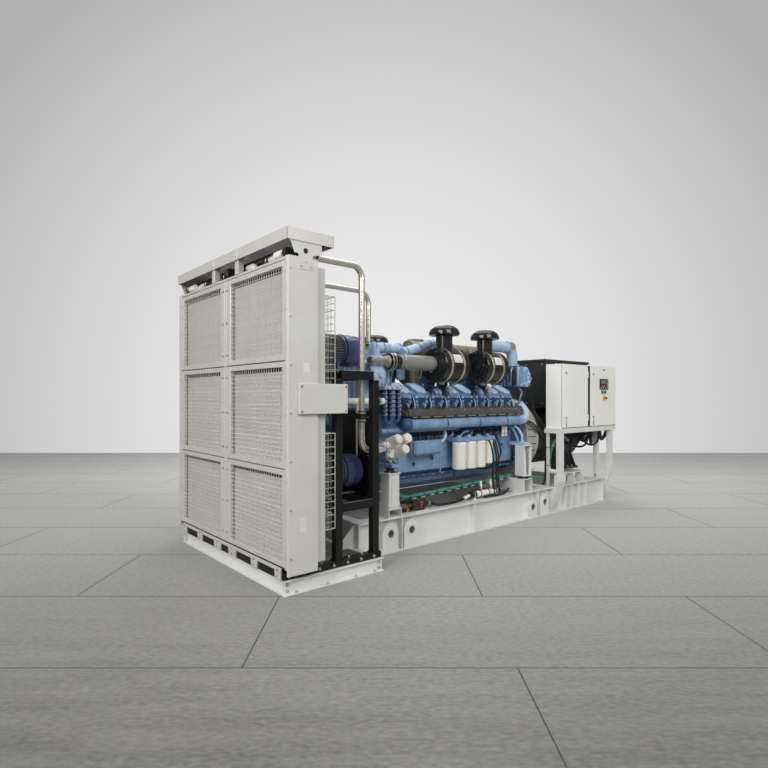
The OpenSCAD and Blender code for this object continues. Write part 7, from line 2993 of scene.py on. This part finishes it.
@dataclass
class Studio:
    """Pale floor and backdrop, soft lamps and the camera.

    Attributes:
        camera_at: Place of the camera, in metres.
        heading: Turn of the camera from +Y towards +X, in degrees.
        lens: Focal length for a 36 mm wide sensor.
        lift: How far the frame is shifted up.
        wall_at: How far off the floor meets the wall, in metres.
        backdrop_colour: Colour behind everything, away from the lit part of the wall.
        lit_colour: Colour of the wall where its own lamp shines on it.
        lit_from: Cosine of the angle off the heading at which that light has died out.
        light_colour: Colour of the even light all round.
    """

    camera_at: Point = (-5.763, -4.988, 1.62)
    heading: float = 40.51
    lens: float = 25.55
    lift: float = 0.017
    wall_at: float = 15.8
    backdrop_colour: str = "B2B2B2"
    lit_colour: str = "ECECEC"
    lit_from: float = 0.735
    light_colour: str = "C8CACC"

    def build(self) -> None:
        """Set up the whole studio."""
        self.camera()
        self.world()
        self.floor()
        for name, at, size, watts in (
            ("front_lamp", (-10.0, -3.0, 5.5), 5.0, 620),
            ("side_lamp", (-2.5, -9.0, 6.5), 5.0, 500),
            ("top_lamp", (0.5, 0.5, 9.0), 7.0, 330),
            ("far_lamp", (4.0, 8.0, 6.0), 6.0, 200),
        ):
            self.lamp(name, at, size, watts)
        bpy.context.scene.view_settings.view_transform = "Standard"

    def camera(self) -> None:
        """Place a level camera at eye height off the radiator's corner."""
        data = bpy.data.cameras.new("camera")
        data.lens, data.sensor_width, data.shift_y = self.lens, 36.0, self.lift
        data.clip_end = 200.0
        camera = bpy.data.objects.new("camera", data)
        camera.location = self.camera_at
        camera.rotation_euler = (math.radians(90), 0, -math.radians(self.heading))
        bpy.context.scene.collection.objects.link(camera)
        bpy.context.scene.camera = camera

    def world(self) -> None:
        """Even grey light, and behind the set a wall with a soft pool of light that dies out all round."""
        r = Recipe(bpy.data.worlds.new("studio"))
        turn = math.radians(self.heading)
        ahead = {0: r.place.node.outputs["Generated"], 1: (math.sin(turn), math.cos(turn), 0.0)}
        near = r.add("ShaderNodeVectorMath", ahead, operation="DOT_PRODUCT").outputs["Value"]
        share = r.add("ShaderNodeMapRange", {"Value": near, "From Min": self.lit_from}).outputs["Result"]
        wall = r.blend(share, linear(self.backdrop_colour), linear(self.lit_colour))
        light = r.add("ShaderNodeBackground", {"Color": linear(self.light_colour), "Strength": 0.5})
        seen = r.add("ShaderNodeBackground", {"Color": wall})
        path = r.add("ShaderNodeLightPath").outputs
        rays = {0: path["Is Camera Ray"], 1: path["Is Transmission Ray"]}
        direct = r.add("ShaderNodeMath", rays, operation="MAXIMUM").outputs[0]
        both = r.add("ShaderNodeMixShader", {0: direct, 1: light.outputs[0], 2: seen.outputs[0]})
        r.add("ShaderNodeOutputWorld", {0: both.outputs[0]})
        bpy.context.scene.world = r.owner

    def floor(self) -> None:
        """Level concrete floor that runs from behind the camera to the wall."""
        near, reach = -30.0, 45.0
        mesh = bpy.data.meshes.new("floor")
        mesh.from_pydata([(-reach, near, 0), (reach, near, 0), (reach, self.wall_at, 0),
                          (-reach, self.wall_at, 0)], [], [(0, 1, 2, 3)])
        mesh.materials.append(WornConcrete().mix("floor_concrete"))
        floor = bpy.data.objects.new("floor", mesh)
        floor.location = (self.camera_at[0], self.camera_at[1], 0)
        floor.rotation_euler = (0, 0, -math.radians(self.heading))
        bpy.context.scene.collection.objects.link(floor)

    def lamp(self, name: str, at: Point, size: float, watts: float) -> None:
        """Hang one large soft lamp that faces the set.

        Args:
            name: Name of the lamp.
            at: Its place, in metres.
            size: Its width, in metres.
            watts: Its power.
        """
        data = bpy.data.lights.new(name, "AREA")
        data.size, data.energy = size, watts
        lamp = bpy.data.objects.new(name, data)
        lamp.location = at
        lamp.rotation_euler = (Vector((0, 0, 1.2)) - Vector(at)).to_track_quat("-Z", "Y").to_euler()
        bpy.context.scene.collection.objects.link(lamp)


def main() -> None:
    """Build the studio, the cords and every sub-assembly, in order."""
    logging.basicConfig(level=logging.INFO, format="%(message)s")
    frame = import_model()
    Studio().build()
    dress_cad_nodes(frame["nodes"])
    for assembly in ASSEMBLIES:
        assembly().build()
        LOG.info("%s done", assembly.__name__)


if __name__ == "__main__":
    main()
